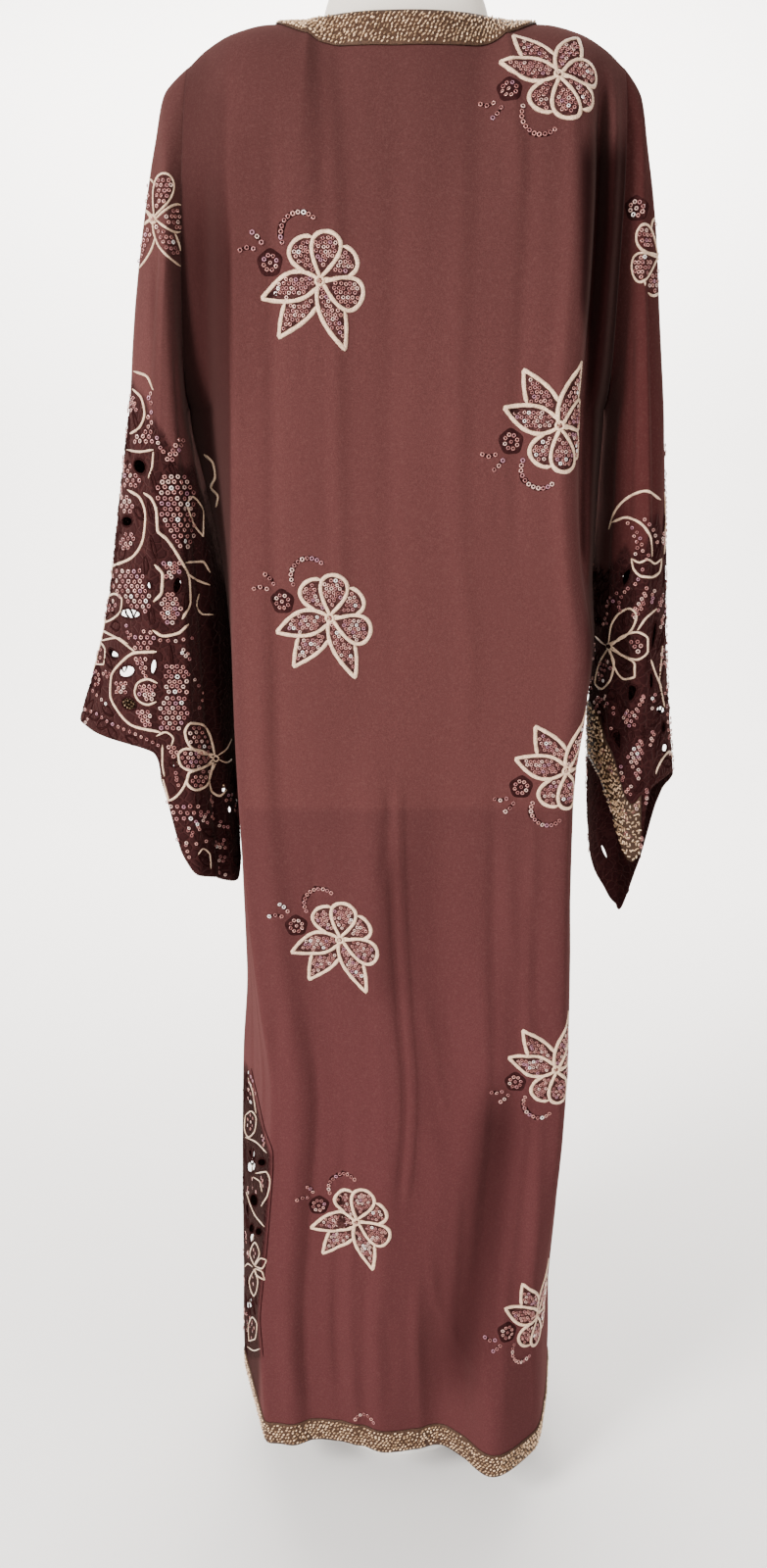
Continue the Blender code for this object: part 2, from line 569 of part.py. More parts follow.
def build_sleeve(name, side, mat):
    f = np.linspace(0, 1, SLEEVE_ROUND + 1)[:-1]
    rows = np.concatenate([[0, 0.030, 0.062, 0.100, 0.150], np.linspace(0.215, 1.0, SLEEVE_LONG - 5)])
    s = np.vstack([rows[:, None] * cuff_share(side, f, cuff_width(side))[None, :], np.ones((1, len(f)))])
    P, N = sleeve(side, f[None, :], s), sleeve_normal(side, f[None, :], s)
    return wall(name, P, N, -WALL / 2, WALL / 2, mat, closed=True)


def build_cuff(name, side, f, inside, mat, closed):
    s = np.vstack([cuff_share(side, f, cuff_width(side)), np.ones(len(f))])
    P = sleeve(side, f[None, :], s)
    N = sleeve_normal(side, f[None, :], s)
    low = WALL / 2 + GAP
    if inside:
        return wall(name, P, N, -low - BRAID_T, -low, mat, closed)
    return wall(name, P, N, low, low + BRAID_T, mat, closed)


def build_form(mat):
    verts, faces = [], []
    for z, hx, yb, yf, sq in FORM:
        for k in range(FORM_ROUND):
            a = 2 * math.pi * k / FORM_ROUND
            ca, sa = math.cos(a), math.sin(a)
            x = hx * math.copysign(abs(ca) ** (2 / sq), ca)
            half = (yf - FORM_CENTRE_Y) if sa > 0 else (FORM_CENTRE_Y - yb)
            y = FORM_CENTRE_Y + half * math.copysign(abs(sa) ** (2 / sq), sa)
            verts.append((x, y + SET_BACK, z))
    rings = len(FORM)
    for i in range(rings - 1):
        for k in range(FORM_ROUND):
            a, b = i * FORM_ROUND + k, i * FORM_ROUND + (k + 1) % FORM_ROUND
            faces.append((a, b, b + FORM_ROUND, a + FORM_ROUND))
    faces.append(tuple(range(FORM_ROUND))[::-1])
    faces.append(tuple((rings - 1) * FORM_ROUND + k for k in range(FORM_ROUND)))
    return add("form_torso", verts, faces, mat)


def build_turned(name, profile, rnd, mat):
    """A turned solid on the Z axis from a profile of (radius, height), bottom to top."""
    verts, faces = [], []
    for r, z in profile:
        for k in range(rnd):
            a = 2 * math.pi * k / rnd
            verts.append((r * math.cos(a), r * math.sin(a), z))
    for i in range(len(profile) - 1):
        for k in range(rnd):
            a, b = i * rnd + k, i * rnd + (k + 1) % rnd
            faces.append((a, b, b + rnd, a + rnd))
    faces.append(tuple(range(rnd))[::-1])
    faces.append(tuple((len(profile) - 1) * rnd + k for k in range(rnd)))
    return add(name, verts, faces, mat)


def main():
    for ob in list(bpy.data.objects):
        bpy.data.objects.remove(ob, do_unlink=True)
    crepe = material("crepe_back", (0.135, 0.045, 0.040), 0.62)
    crepe_front = material("crepe_front", (0.130, 0.043, 0.039), 0.62)
    lace_l = material("crepe_sleeve_left", (0.115, 0.038, 0.035), 0.60)
    lace_r = material("crepe_sleeve_right", (0.118, 0.039, 0.036), 0.60)
    braid = [material("braid_%d" % i, (0.30 + 0.01 * i, 0.20, 0.09), 0.45, 0.3) for i in range(5)]
    skin = material("form_cover", (0.80, 0.74, 0.66), 0.55)
    steel = material("pole_steel", (0.50, 0.50, 0.51), 0.35, 1.0)
    paint = material("base_paint", (0.72, 0.71, 0.69), 0.45)

    build_panel("back_panel", False, crepe)
    build_panel("front_panel", True, crepe_front)
    build_hem("hem_band_back", False, braid[0])
    build_hem("hem_band_front", True, braid[1])
    build_sleeve("sleeve_left", -1, lace_l)
    build_sleeve("sleeve_right", 1, lace_r)

    P, N = neck_strip(np.linspace(0, 1, 49)[:-1], 0.0004 + (NECK_BRAID_W - 0.0004) * np.linspace(0, 1, 5))
    low = WALL / 2 + LAID
    wall("neck_band", P, N, low, low + BRAID_T, braid[2], closed=True)

    ring = np.linspace(0, 1, SLEEVE_ROUND + 1)[:-1]
    build_cuff("cuff_braid_left", -1, ring, True, braid[3], True)
    build_cuff("cuff_braid_right", 1, np.linspace(6, 12, 7) / SLEEVE_ROUND, False, braid[4], False)

    build_form(skin)
    top = FORM[0][0] - GAP
    build_turned("form_base", [(BASE_R - 0.002, 0.0), (BASE_R, 0.002), (BASE_R, BASE_T - 0.002),
                               (BASE_R - 0.002, BASE_T)], 48, paint)
    build_turned("form_pole", [(POLE_R, BASE_T + GAP), (POLE_R, top)], 24, steel)


main()
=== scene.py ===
"""Looks of a long wide-sleeved robe on a limbless dress form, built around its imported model.

Metres, +Z up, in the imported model's own frame.  The robe's back faces -Y.
The cloth surfaces are worked out again from the same tables as the solids, on a finer grid, and
everything sewn on them (braid, satin stitch, sequins, cut-outs) is laid along the cloth.
"""
import math
import bpy
import mathutils
import numpy as np
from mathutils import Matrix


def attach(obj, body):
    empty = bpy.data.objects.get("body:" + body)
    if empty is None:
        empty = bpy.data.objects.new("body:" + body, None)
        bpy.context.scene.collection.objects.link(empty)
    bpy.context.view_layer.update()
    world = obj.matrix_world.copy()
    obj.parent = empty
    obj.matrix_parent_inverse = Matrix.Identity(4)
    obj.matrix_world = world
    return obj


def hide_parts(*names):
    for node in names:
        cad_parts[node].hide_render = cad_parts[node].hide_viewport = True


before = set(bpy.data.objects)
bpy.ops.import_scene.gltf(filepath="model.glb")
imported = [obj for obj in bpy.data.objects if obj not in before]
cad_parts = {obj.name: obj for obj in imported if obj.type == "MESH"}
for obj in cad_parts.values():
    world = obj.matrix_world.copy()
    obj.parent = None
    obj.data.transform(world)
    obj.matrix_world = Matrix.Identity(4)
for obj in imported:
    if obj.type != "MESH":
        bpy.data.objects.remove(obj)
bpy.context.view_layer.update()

# ------------------------------------------------------------------ camera, as the photograph's
CAM_AT = np.array([-0.020, -1.230, 1.146])
CAM_TILT = math.radians(15.96)
CAM_F = 1202.0                   # focal length in pixels of a 783 x 1600 image
cam_data = bpy.data.cameras.new("camera")
cam_data.sensor_width = 36.0
cam_data.lens = 36.0 * CAM_F / 1600.0
cam_data.clip_start = 0.02
cam_data.clip_end = 60.0
camera = bpy.data.objects.new("camera", cam_data)
camera.location = CAM_AT
camera.rotation_euler = (math.pi / 2 - CAM_TILT, 0.0, 0.0)
bpy.context.scene.collection.objects.link(camera)
bpy.context.scene.camera = camera


def project(P):
    """Pixel of each point in the 783 x 1600 image."""
    d = P - CAM_AT
    ahead = d[..., 1] * math.cos(CAM_TILT) - d[..., 2] * math.sin(CAM_TILT)
    up = d[..., 1] * math.sin(CAM_TILT) + d[..., 2] * math.cos(CAM_TILT)
    return 391.5 + CAM_F * d[..., 0] / ahead, 800.0 - CAM_F * up / ahead


# ------------------------------------------------------------------ named sizes (metres)
SET_BACK = -0.025          # the garment's tables are shifted by this to stand over the base
LINE_Y = -0.020            # line of the shoulder seams and side seams
WALL = 0.0016              # thickness of the cloth walls
GAP = 0.0003               # space between sewn pieces
LAID = 0.0009              # space under the neck braid, which crosses both shoulder seams
BRAID_T = 0.0014           # thickness of the woven braid
UNDERARM_Z = 1.180
SHOULDER_Z = 1.470         # outer end of the shoulder seam
SHOULDER_X = 0.1925
NECK_Z = 1.503             # level of the neck edge at the back and sides
NECK_HALF = 0.084          # half width of the neck opening
NECK_BACK = 0.040          # its depth behind the shoulder line
NECK_FRONT = 0.082         # its depth in front of it, in plan
NECK_DROP = 0.062          # how much lower the front neck is
NECK_BRAID_W = 0.031
HEM_BRAID_W = 0.028
CUFF_BRAID_W = 0.030
CUFF_ROLL_W = 0.062        # right cuff: its edge runs slanting, so its braid is wider down the sleeve
FOLD_AT = 0.62             # share of a half panel from its middle to its fold line
NECK_AT = 0.40             # share of a half panel that ends in the neck edge
UPPER_FROM = 0.72          # share of the rows below the underarm
CROWD = 1.9                # how much the rows crowd towards the shoulder
SLEEVE_OFF = 0.0030        # the hanging sleeves stay this far from the side of the body
INNER_NEAR, INNER_FAR, INNER_SIDE = -0.22, -0.28, -0.12   # squareness of their inner sides
CUFF_FROM = 0.60           # share of the sleeve where its lines turn towards the cuff's edge

# sections of the body, from the top down:
# height, side seam left, fold left, fold right, side seam right, back plane, front plane
BODY = [
    # z,     seam_l,  fold_l, fold_r, seam_r, back_y, front_y
    (1.520, -0.1925, -0.150, 0.155, 0.1925, -0.127, 0.082),
    (1.400, -0.1960, -0.150, 0.154, 0.1900, -0.128, 0.092),
    (1.300, -0.2010, -0.151, 0.152, 0.1900, -0.128, 0.100),
    (1.180, -0.2050, -0.153, 0.148, 0.1910, -0.127, 0.099),
    (1.100, -0.1910, -0.156, 0.152, 0.1890, -0.126, 0.095),
    (1.030, -0.1790, -0.158, 0.160, 0.1880, -0.125, 0.093),
    (0.957, -0.1740, -0.159, 0.172, 0.1925, -0.126, 0.094),
    (0.900, -0.1720, -0.160, 0.168, 0.1870, -0.126, 0.095),
    (0.830, -0.1710, -0.159, 0.161, 0.1790, -0.125, 0.095),
    (0.705, -0.1700, -0.154, 0.163, 0.1800, -0.123, 0.093),
    (0.600, -0.1690, -0.145, 0.166, 0.1840, -0.123, 0.093),
    (0.500, -0.1760, -0.135, 0.168, 0.1860, -0.124, 0.095),
    (0.350, -0.1820, -0.147, 0.163, 0.1790, -0.127, 0.099),
    (0.220, -0.1850, -0.156, 0.157, 0.1750, -0.129, 0.103),
    (0.110, -0.1880, -0.153, 0.160, 0.1780, -0.132, 0.106),
    (0.030, -0.1850, -0.149, 0.156, 0.1730, -0.134, 0.108),
]
# the armhole edge of the back and of the front, above the underarm
ARMHOLE = [
    # z,    back_y, front_y
    (1.180, -0.020, -0.020),
    (1.195, -0.040, 0.000),
    (1.230, -0.058, 0.018),
    (1.300, -0.072, 0.032),
    (1.380, -0.082, 0.040),
    (1.520, -0.086, 0.044),
]
# height of the shoulder seam against its distance from the middle
SHOULDER = [
    # x,     z
    (0.0840, 1.5030),
    (0.1200, 1.5020),
    (0.1500, 1.4955),
    (0.1750, 1.4835),
    (0.1925, 1.4700),
]
# height of the hem across the back and across the front (-1 is the left side seam)
HEM = [
    # share, back_z, front_z
    (-1.00, 0.066, 0.066),
    (-0.60, 0.064, 0.062),
    (-0.30, 0.066, 0.058),
    (0.00, 0.056, 0.060),
    (0.30, 0.055, 0.056),
    (0.55, 0.050, 0.060),
    (0.80, 0.062, 0.064),
    (1.00, 0.066, 0.066),
]
HEM = [(c, b + 0.004, f + 0.004) for c, b, f in HEM]     # the braid's lower edge turns up a little
# largest folds of the back; depth is outwards, tilt is how far the fold moves per metre down
FOLDS_BACK = [
    # share, width, depth,   z_low, z_high, fade, tilt
    (0.735, 0.060, -0.026, 1.060, 1.400, 0.070, 0.00),
    (0.870, 0.060, 0.007, 1.060, 1.400, 0.070, 0.00),
    (-0.120, 0.070, 0.005, -0.100, 0.790, 0.120, 0.02),
    (0.120, 0.080, -0.004, -0.100, 0.760, 0.160, -0.04),
    (0.300, 0.070, 0.006, -0.100, 0.560, 0.160, 0.10),
    (0.400, 0.130, 0.030, -0.100, 0.130, 0.200, 0.05),
    (0.660, 0.090, -0.016, -0.100, 0.260, 0.180, 0.00),
    (0.160, 0.070, -0.008, -0.100, 0.260, 0.170, 0.05),
    (-0.800, 0.075, -0.010, 1.060, 1.300, 0.100, 0.00),
    (-0.380, 0.090, -0.005, -0.100, 0.560, 0.200, 0.00),
    (-0.520, 0.050, 0.004, 0.020, 0.900, 0.180, 0.03),
    (-0.350, 0.120, 0.003, 0.850, 1.330, 0.120, 0.00),
]
# similar folds on the front, which the photograph doesn't show
FOLDS_FRONT = [
    # share, width, depth,   z_low, z_high, fade, tilt
    (-0.420, 0.090, 0.008, -0.100, 1.020, 0.240, 0.03),
    (-0.200, 0.080, -0.007, -0.100, 0.860, 0.240, 0.02),
    (0.030, 0.090, 0.010, -0.100, 0.780, 0.260, -0.02),
    (0.280, 0.080, -0.008, -0.100, 0.900, 0.260, -0.03),
    (0.500, 0.090, 0.011, -0.100, 0.700, 0.240, -0.04),
    (0.000, 0.160, 0.004, 0.900, 1.280, 0.140, 0.00),
]
# sleeves: outer edge, near ridge, underside and far ridge of each section, shoulder to cuff;
# x counts outwards from the middle; clear is the underside's extra distance from the body
SLEEVE_LEFT = [
    # top_x, top_z, ridge_x, ridge_y, ridge_z, under_y, under_z, clear, far_x, far_y
    (0.1925, 1.470, 0.2030, -0.078, 1.335, -0.020, 1.180, 0.000, 0.2030, 0.038),
    (0.2155, 1.445, 0.2070, -0.088, 1.320, -0.020, 1.166, 0.000, 0.2080, 0.050),
    (0.2240, 1.412, 0.2105, -0.093, 1.295, -0.020, 1.150, 0.000, 0.2130, 0.058),
    (0.2360, 1.360, 0.2145, -0.097, 1.255, -0.018, 1.125, 0.002, 0.2190, 0.066),
    (0.2500, 1.280, 0.2185, -0.100, 1.195, -0.014, 1.085, 0.002, 0.2270, 0.073),
    (0.2610, 1.190, 0.2230, -0.102, 1.120, -0.010, 1.030, 0.001, 0.2350, 0.079),
    (0.2790, 1.100, 0.2280, -0.103, 1.040, -0.006, 0.970, 0.000, 0.2440, 0.084),
    (0.2990, 1.000, 0.2325, -0.103, 0.955, -0.010, 0.905, 0.000, 0.2530, 0.089),
    (0.3320, 0.875, 0.2370, -0.100, 0.862, -0.012, 0.800, 0.000, 0.2640, 0.094),
]
SLEEVE_RIGHT = [
    # top_x, top_z, ridge_x, ridge_y, ridge_z, under_y, under_z, clear, far_x, far_y
    (0.1925, 1.470, 0.1960, -0.078, 1.335, -0.020, 1.180, 0.000, 0.1960, 0.038),
    (0.2070, 1.445, 0.2020, -0.087, 1.320, -0.020, 1.166, 0.000, 0.2030, 0.050),
    (0.2125, 1.412, 0.2060, -0.091, 1.295, -0.020, 1.150, 0.000, 0.2080, 0.056),
    (0.2220, 1.360, 0.2110, -0.093, 1.255, -0.018, 1.125, 0.000, 0.2130, 0.062),
    (0.2310, 1.280, 0.2160, -0.093, 1.195, -0.014, 1.085, 0.001, 0.2190, 0.067),
    (0.2420, 1.190, 0.2220, -0.091, 1.120, -0.008, 1.030, 0.000, 0.2260, 0.071),
    (0.2535, 1.100, 0.2280, -0.088, 1.035, -0.006, 0.970, 0.000, 0.2340, 0.074),
    (0.2635, 1.000, 0.2330, -0.084, 0.940, -0.010, 0.905, 0.002, 0.2420, 0.075),
    (0.2800, 0.830, 0.2400, -0.080, 0.780, -0.010, 0.840, 0.014, 0.2500, 0.072),
]
# height of each cuff's edge round the sleeve: 0 outer edge, 0.25 near ridge, 0.5 underside
CUFF_LEFT = [
    # share, z
    (0.00, 0.876), (0.12, 0.870), (0.22, 0.862), (0.245, 0.848), (0.258, 0.800),
    (0.272, 0.758), (0.30, 0.734), (0.36, 0.725), (0.43, 0.713), (0.47, 0.725), (0.51, 0.785),
    (0.60, 0.778), (0.68, 0.772), (0.78, 0.815), (0.90, 0.866),
]
CUFF_RIGHT = [
    # share, z
    (0.00, 0.814), (0.10, 0.828), (0.20, 0.820), (0.228, 0.798), (0.25, 0.752), (0.27, 0.742),
    (0.36, 0.796), (0.43, 0.825), (0.50, 0.833), (0.56, 0.765), (0.62, 0.705),
    (0.70, 0.662), (0.78, 0.630), (0.85, 0.690), (0.92, 0.780),
]
# the torso form, bottom to top: half width, back, front, squareness of the section
FORM = [
    # z,    half_x, back_y, front_y, square
    (0.812, 0.1520, -0.114, 0.078, 2.6),
    (0.830, 0.1560, -0.117, 0.081, 2.6),
    (0.900, 0.1620, -0.119, 0.083, 2.5),
    (0.960, 0.1640, -0.119, 0.082, 2.5),
    (1.030, 0.1500, -0.112, 0.078, 2.4),
    (1.110, 0.1330, -0.104, 0.074, 2.4),
    (1.180, 0.1300, -0.104, 0.078, 2.4),
    (1.260, 0.1400, -0.112, 0.090, 2.4),
    (1.330, 0.1500, -0.111, 0.088, 2.4),
    (1.390, 0.1620, -0.100, 0.070, 2.3),
    (1.430, 0.1680, -0.087, 0.050, 2.2),
    (1.455, 0.1690, -0.074, 0.034, 2.1),
    (1.469, 0.1600, -0.063, 0.021, 2.0),
    (1.478, 0.1440, -0.055, 0.013, 2.0),
    (1.484, 0.1180, -0.050, 0.010, 2.0),
    (1.489, 0.0940, -0.047, 0.014, 2.0),
    (1.496, 0.0790, -0.046, 0.022, 2.0),
    (1.508, 0.0745, -0.046, 0.028, 2.0),
    (1.522, 0.0700, -0.047, 0.033, 2.0),
    (1.545, 0.0610, -0.050, 0.036, 2.0),
    (1.572, 0.0560, -0.052, 0.034, 2.0),
    (1.584, 0.0530, -0.050, 0.032, 2.0),
    (1.590, 0.0440, -0.043, 0.024, 2.0),
]
FORM_CENTRE_Y = -0.012
POLE_R = 0.0125
BASE_R = 0.110
BASE_T = 0.008
# number of facets across and along each piece
NECK_FACETS, SIDE_FACETS, STRIP_FACETS = 16, 3, 4
LOW_ROWS, TOP_ROWS = 13, 8
SLEEVE_ROUND, SLEEVE_LONG = 24, 13
FORM_ROUND = 28


# ------------------------------------------------------------------ small helpers
def smooth(t):
    t = np.clip(t, 0.0, 1.0)
    return t * t * (3.0 - 2.0 * t)


def through(xs, ys, x):
    """A smooth curve through a table's points that never overshoots them."""
    xs = np.asarray(xs, float)
    ys = np.asarray(ys, float)
    if xs[0] > xs[-1]:
        xs, ys = xs[::-1], ys[::-1]
    h = np.diff(xs)
    d = np.diff(ys) / h
    m = np.zeros(len(xs))
    same = d[:-1] * d[1:] > 0
    m[1:-1] = np.where(same, 2 * d[:-1] * d[1:] / np.where(same, d[:-1] + d[1:], 1.0), 0.0)
    m[0], m[-1] = d[0], d[-1]
    x = np.clip(np.asarray(x, float), xs[0], xs[-1])
    i = np.clip(np.searchsorted(xs, x, side="right") - 1, 0, len(h) - 1)
    t = (x - xs[i]) / h[i]
    a = (1 + 2 * t) * (1 - t) ** 2 * ys[i] + t * (1 - t) ** 2 * h[i] * m[i]
    return a + t * t * (3 - 2 * t) * ys[i + 1] + t * t * (t - 1) * h[i] * m[i + 1]


def column(table, k):
    return [row[k] for row in table]


def body(k, z):
    return through(column(BODY, 0), column(BODY, k), z)


# ------------------------------------------------------------------ surfaces of the body
def top_line(front, c):
    """The top edge of a panel: the neck edge in the middle, the shoulder seam outside it."""
    a = np.abs(c)
    inner = np.clip(a / NECK_AT, 0, 1) * math.pi / 2
    outer = np.clip((a - NECK_AT) / (1 - NECK_AT), 0, 1)
    x_sh = through([0, (FOLD_AT - NECK_AT) / (1 - NECK_AT), 1], [NECK_HALF, 0.150, SHOULDER_X], outer)
    x = np.where(a < NECK_AT, NECK_HALF * np.sin(inner), x_sh)
    z = np.where(a < NECK_AT, NECK_Z, through(column(SHOULDER, 0), column(SHOULDER, 1), x))
    deep = np.where(a < NECK_AT, np.cos(inner), 0.0)
    # the back neck stands up to the shoulder's level; the front neck is cut lower into the chest
    y = LINE_Y + GAP / 2 if front else LINE_Y - GAP / 2 - NECK_BACK * deep
    cut = NECK_DROP * deep ** 1.9 if front else 0.0
    return np.sign(c) * x, y + 0.0 * x, z, z - cut


def hem_z(front, c):
    return through(column(HEM, 0), column(HEM, 2 if front else 1), c)


def section(front, c, z):
    """A panel's line at one height, without its folds: seam, fold line, middle, fold line, seam.
    The corners are rounded by averaging along the line."""
    sl, fl, fr, sr = (body(k, z) for k in (1, 2, 3, 4))
    flat = body(6 if front else 5, z)
    arm = through(column(ARMHOLE, 0), column(ARMHOLE, 2 if front else 1), z)
    gap = GAP / 2 if front else -GAP / 2
    edge = np.where(z > UNDERARM_Z, arm, LINE_Y) + gap
    crown = flat + (0.006 if front else -0.003)
    if front:
        fl, fr = fl * 0.93, fr * 0.90
    crisp = np.where(np.asarray(c) < 0, 0.022, 0.060)
    soft = 0.11 if front else crisp + 0.06 * smooth((z - 1.30) / 0.12)
    x = np.zeros(np.broadcast(c, z).shape)
    y = np.zeros_like(x)
    mid = (fl + fr) / 2
    weights = ((-1.0, 1), (-0.66, 2), (-0.33, 3), (0.0, 4), (0.33, 3), (0.66, 2), (1.0, 1))
    total = float(sum(w for _, w in weights))
    for shift, w in weights:
        q = c + shift * soft
        s1 = (q + 1) / (1 - FOLD_AT)
        s2 = (q + FOLD_AT) / FOLD_AT
        s3 = q / FOLD_AT
        s4 = (q - FOLD_AT) / (1 - FOLD_AT)
        px = np.where(q < -FOLD_AT, sl + (fl - sl) * s1,
             np.where(q < 0, fl + (mid - fl) * s2,
             np.where(q < FOLD_AT, mid + (fr - mid) * s3, fr + (sr - fr) * s4)))
        py = np.where(q < -FOLD_AT, edge + (flat - edge) * s1,
             np.where(q < 0, flat + (crown - flat) * s2,
             np.where(q < FOLD_AT, crown + (flat - crown) * s3, flat + (edge - flat) * s4)))
        x += px * w / total
        y += py * w / total
    return x, y


def folds(table, c, z):
    d = np.zeros(np.broadcast(c, z).shape)
    for share, width, depth, z0, z1, fade, tilt in table:
        at = share + tilt * (z1 - z)
        run = smooth((z - z0 + fade) / fade) * smooth((z1 + fade - z) / fade)
        d += depth * np.exp(-((c - at) / width) ** 2) * run
    return d


def panel(front, c, v):
    """Point of the back or front panel: c from -1 (left seam) to 1, v from 0 (hem) to 1."""
    c, v = np.broadcast_arrays(np.asarray(c, float), np.asarray(v, float))
    tx, ty, tz, cut_z = top_line(front, c)
    low = v / UPPER_FROM
    up = np.clip((v - UPPER_FROM) / (1 - UPPER_FROM), 0, 1)
    hem = hem_z(front, c)
    span = tz - UNDERARM_Z
    z = np.where(v < UPPER_FROM, hem + (UNDERARM_Z - hem) * low,
                 cut_z - (cut_z - UNDERARM_Z) * (1 - up) ** CROWD)
    x, y = section(front, c, z)
    s = np.clip((tz - z) / span, 0, 1)
    # near the neck the cloth stands up; over the shoulder it lies round the form
    over = np.ones_like(c) if front else smooth((np.abs(c) - 0.20) / 0.20)
    p = 3.2 + 0.3 * over
    k = (1 - (1 - s) ** p) ** (1 - 0.47 * over)
    k = np.where(v < UPPER_FROM, 1.0, k)
    m = smooth(up) ** 1.5
    x = x + (tx - x) * m
    y = ty + (y - ty) * k
    d = folds(FOLDS_FRONT if front else FOLDS_BACK, c, z) 
    d = d + folds(FINE_FRONT if front else FINE_BACK, c, z) * (0.35 + 0.65 * smooth((z - 0.06) / 0.12))
    d = d * smooth((1.0 - np.abs(c)) / 0.10)
    y = y + (d if front else -d)
    return np.stack([x, y + SET_BACK, z], -1)


def panel_normal(front, c, v):
    e = 1e-3
    c, v = np.broadcast_arrays(np.asarray(c, float), np.asarray(v, float))
    c0, c1 = np.maximum(c - e, -1), np.minimum(c + e, 1)
    v0, v1 = np.maximum(v - e, 0), np.minimum(v + e, 1)
    n = np.cross(panel(front, c1, v) - panel(front, c0, v), panel(front, c, v1) - panel(front, c, v0))
    if front:
        n = -n
    n = n / np.maximum(np.linalg.norm(n, axis=-1, keepdims=True), 1e-12)
    # the end faces along a seam lie in the seam's own plane, so that two walls never cross there
    shoulder = (v > 0.999) & (np.abs(c) > NECK_AT - 1e-6)
    side = (np.abs(c) > 0.999) & (v <= UPPER_FROM + 1e-6)
    arm = (np.abs(c) > 0.999) & (v > UPPER_FROM + 1e-6) & ~shoulder
    n[..., 1] = np.where(shoulder | side, 0.0, n[..., 1])
    high = smooth((v - UPPER_FROM) / 0.04)
    n[..., 0] = np.where(arm, n[..., 0] * (1 - high), n[..., 0])
    n[..., 0] = np.where(shoulder & (np.abs(c) > 0.999), 0.0, n[..., 0])
    return n / np.maximum(np.linalg.norm(n, axis=-1, keepdims=True), 1e-12)


# ------------------------------------------------------------------ surfaces of the sleeves
def armhole(side, f):
    """The loop where a sleeve is sewn on: f 0 at the shoulder, 0.25 back, 0.5 underarm."""
    z = UNDERARM_Z + (SHOULDER_Z - UNDERARM_Z) * (0.5 + 0.5 * np.cos(2 * math.pi * f))
    span = SHOULDER_Z - UNDERARM_Z
    up = 1 - (np.clip((SHOULDER_Z - z) / span, 0, 1)) ** (1 / CROWD)
    v = UPPER_FROM + (1 - UPPER_FROM) * up
    c = np.full_like(v, side)
    back = panel(False, c, v)
    front = panel(True, c, v)
    return np.where((f <= 0.5)[..., None], back, front)


def sleeve_table(side):
    return SLEEVE_LEFT if side < 0 else SLEEVE_RIGHT


def cuff_z(side, f):
    t = CUFF_LEFT if side < 0 else CUFF_RIGHT
    fs = [r[0] - 1 for r in t] + [r[0] for r in t] + [r[0] + 1 for r in t]
    zs = [r[1] for r in t] * 3
    return through(fs, zs, f)


def sleeve_ring(side, f, s):
    """The sleeve's section at a share of its length, before the cuff's own edge is worked in."""
    t = sleeve_table(side)
    steps = np.linspace(0, 1, len(t))
    tx, tz, rx, ry, rz, uy, uz, clear, fx, fy = (through(steps, column(t, k), s) for k in range(10))
    seam = np.abs(body(1 if side < 0 else 4, uz))
    ux = seam + SLEEVE_OFF + clear
    ox, oy, oz = (tx + ux) / 2, (LINE_Y + uy) / 2, (tz + uz) / 2
    a = 2 * math.pi * f
    ca, sa = np.cos(a), np.sin(a)
    # the outer strip meets the ridges at an angle; the inner one lies round against the body
    hang = smooth(s / 0.4)
    cc = np.abs(ca) ** (1.0 + np.where(ca > 0, 0.45, np.where(sa > 0, INNER_NEAR, INNER_FAR)) * hang)
    ss = np.abs(sa) ** (1.0 + np.where(ca > 0, 0.12, INNER_SIDE) * hang)
    ax = np.where(ca > 0, tx, ux)
    ay = np.where(ca > 0, LINE_Y, uy)
    az = np.where(ca > 0, tz, uz)
    bx = np.where(sa > 0, rx, fx)
    by = np.where(sa > 0, ry, fy)
    x = ox + (ax - ox) * cc + (bx - ox) * ss
    y = oy + (ay - oy) * cc + (by - oy) * ss
    z = oz + (az - oz) * cc + (rz - oz) * ss
    return x, y, z


def sleeve(side, f, s):
    """Point of a sleeve: f round it from the outer edge, s from 0 (armhole) to 1 (cuff)."""
    f, s = np.broadcast_arrays(np.asarray(f, float) % 1.0, np.asarray(s, float))
    x, y, z = sleeve_ring(side, f, s)
    # from CUFF_FROM on, each line round the sleeve runs evenly down to its place on the cuff
    zj = sleeve_ring(side, f, np.full(s.shape, CUFF_FROM))[2]
    run = zj + (cuff_z(side, f) - zj) * (s - CUFF_FROM) / (1 - CUFF_FROM)
    g = smooth((s - CUFF_FROM) / 0.25)
    z = z + (run - z) * g
    loop = armhole(side, f)
    w = smooth(s / 0.11)
    step = GAP + 0.0012 * smooth((0.16 - np.abs(f - 0.5)) / 0.10)
    x = np.abs(loop[..., 0]) + step + (x - np.abs(loop[..., 0]) - step) * w
    y = loop[..., 1] + (y + SET_BACK - loop[..., 1]) * w
    z = loop[..., 2] + (z - loop[..., 2]) * w
    return np.stack([side * x, y, z], -1)


def sleeve_normal(side, f, s):
    e = 1e-3
    f, s = np.broadcast_arrays(np.asarray(f, float), np.asarray(s, float))
    s0, s1 = np.maximum(s - e, 0), np.minimum(s + e, 1)
    n = np.cross(sleeve(side, f + e, s) - sleeve(side, f - e, s), sleeve(side, f, s1) - sleeve(side, f, s0))
    if side < 0:
        n = -n
    n = n / np.maximum(np.linalg.norm(n, axis=-1, keepdims=True), 1e-12)
    n[..., 0] = np.where(s < 1e-6, 0.0, n[..., 0])
    return n / np.maximum(np.linalg.norm(n, axis=-1, keepdims=True), 1e-12)


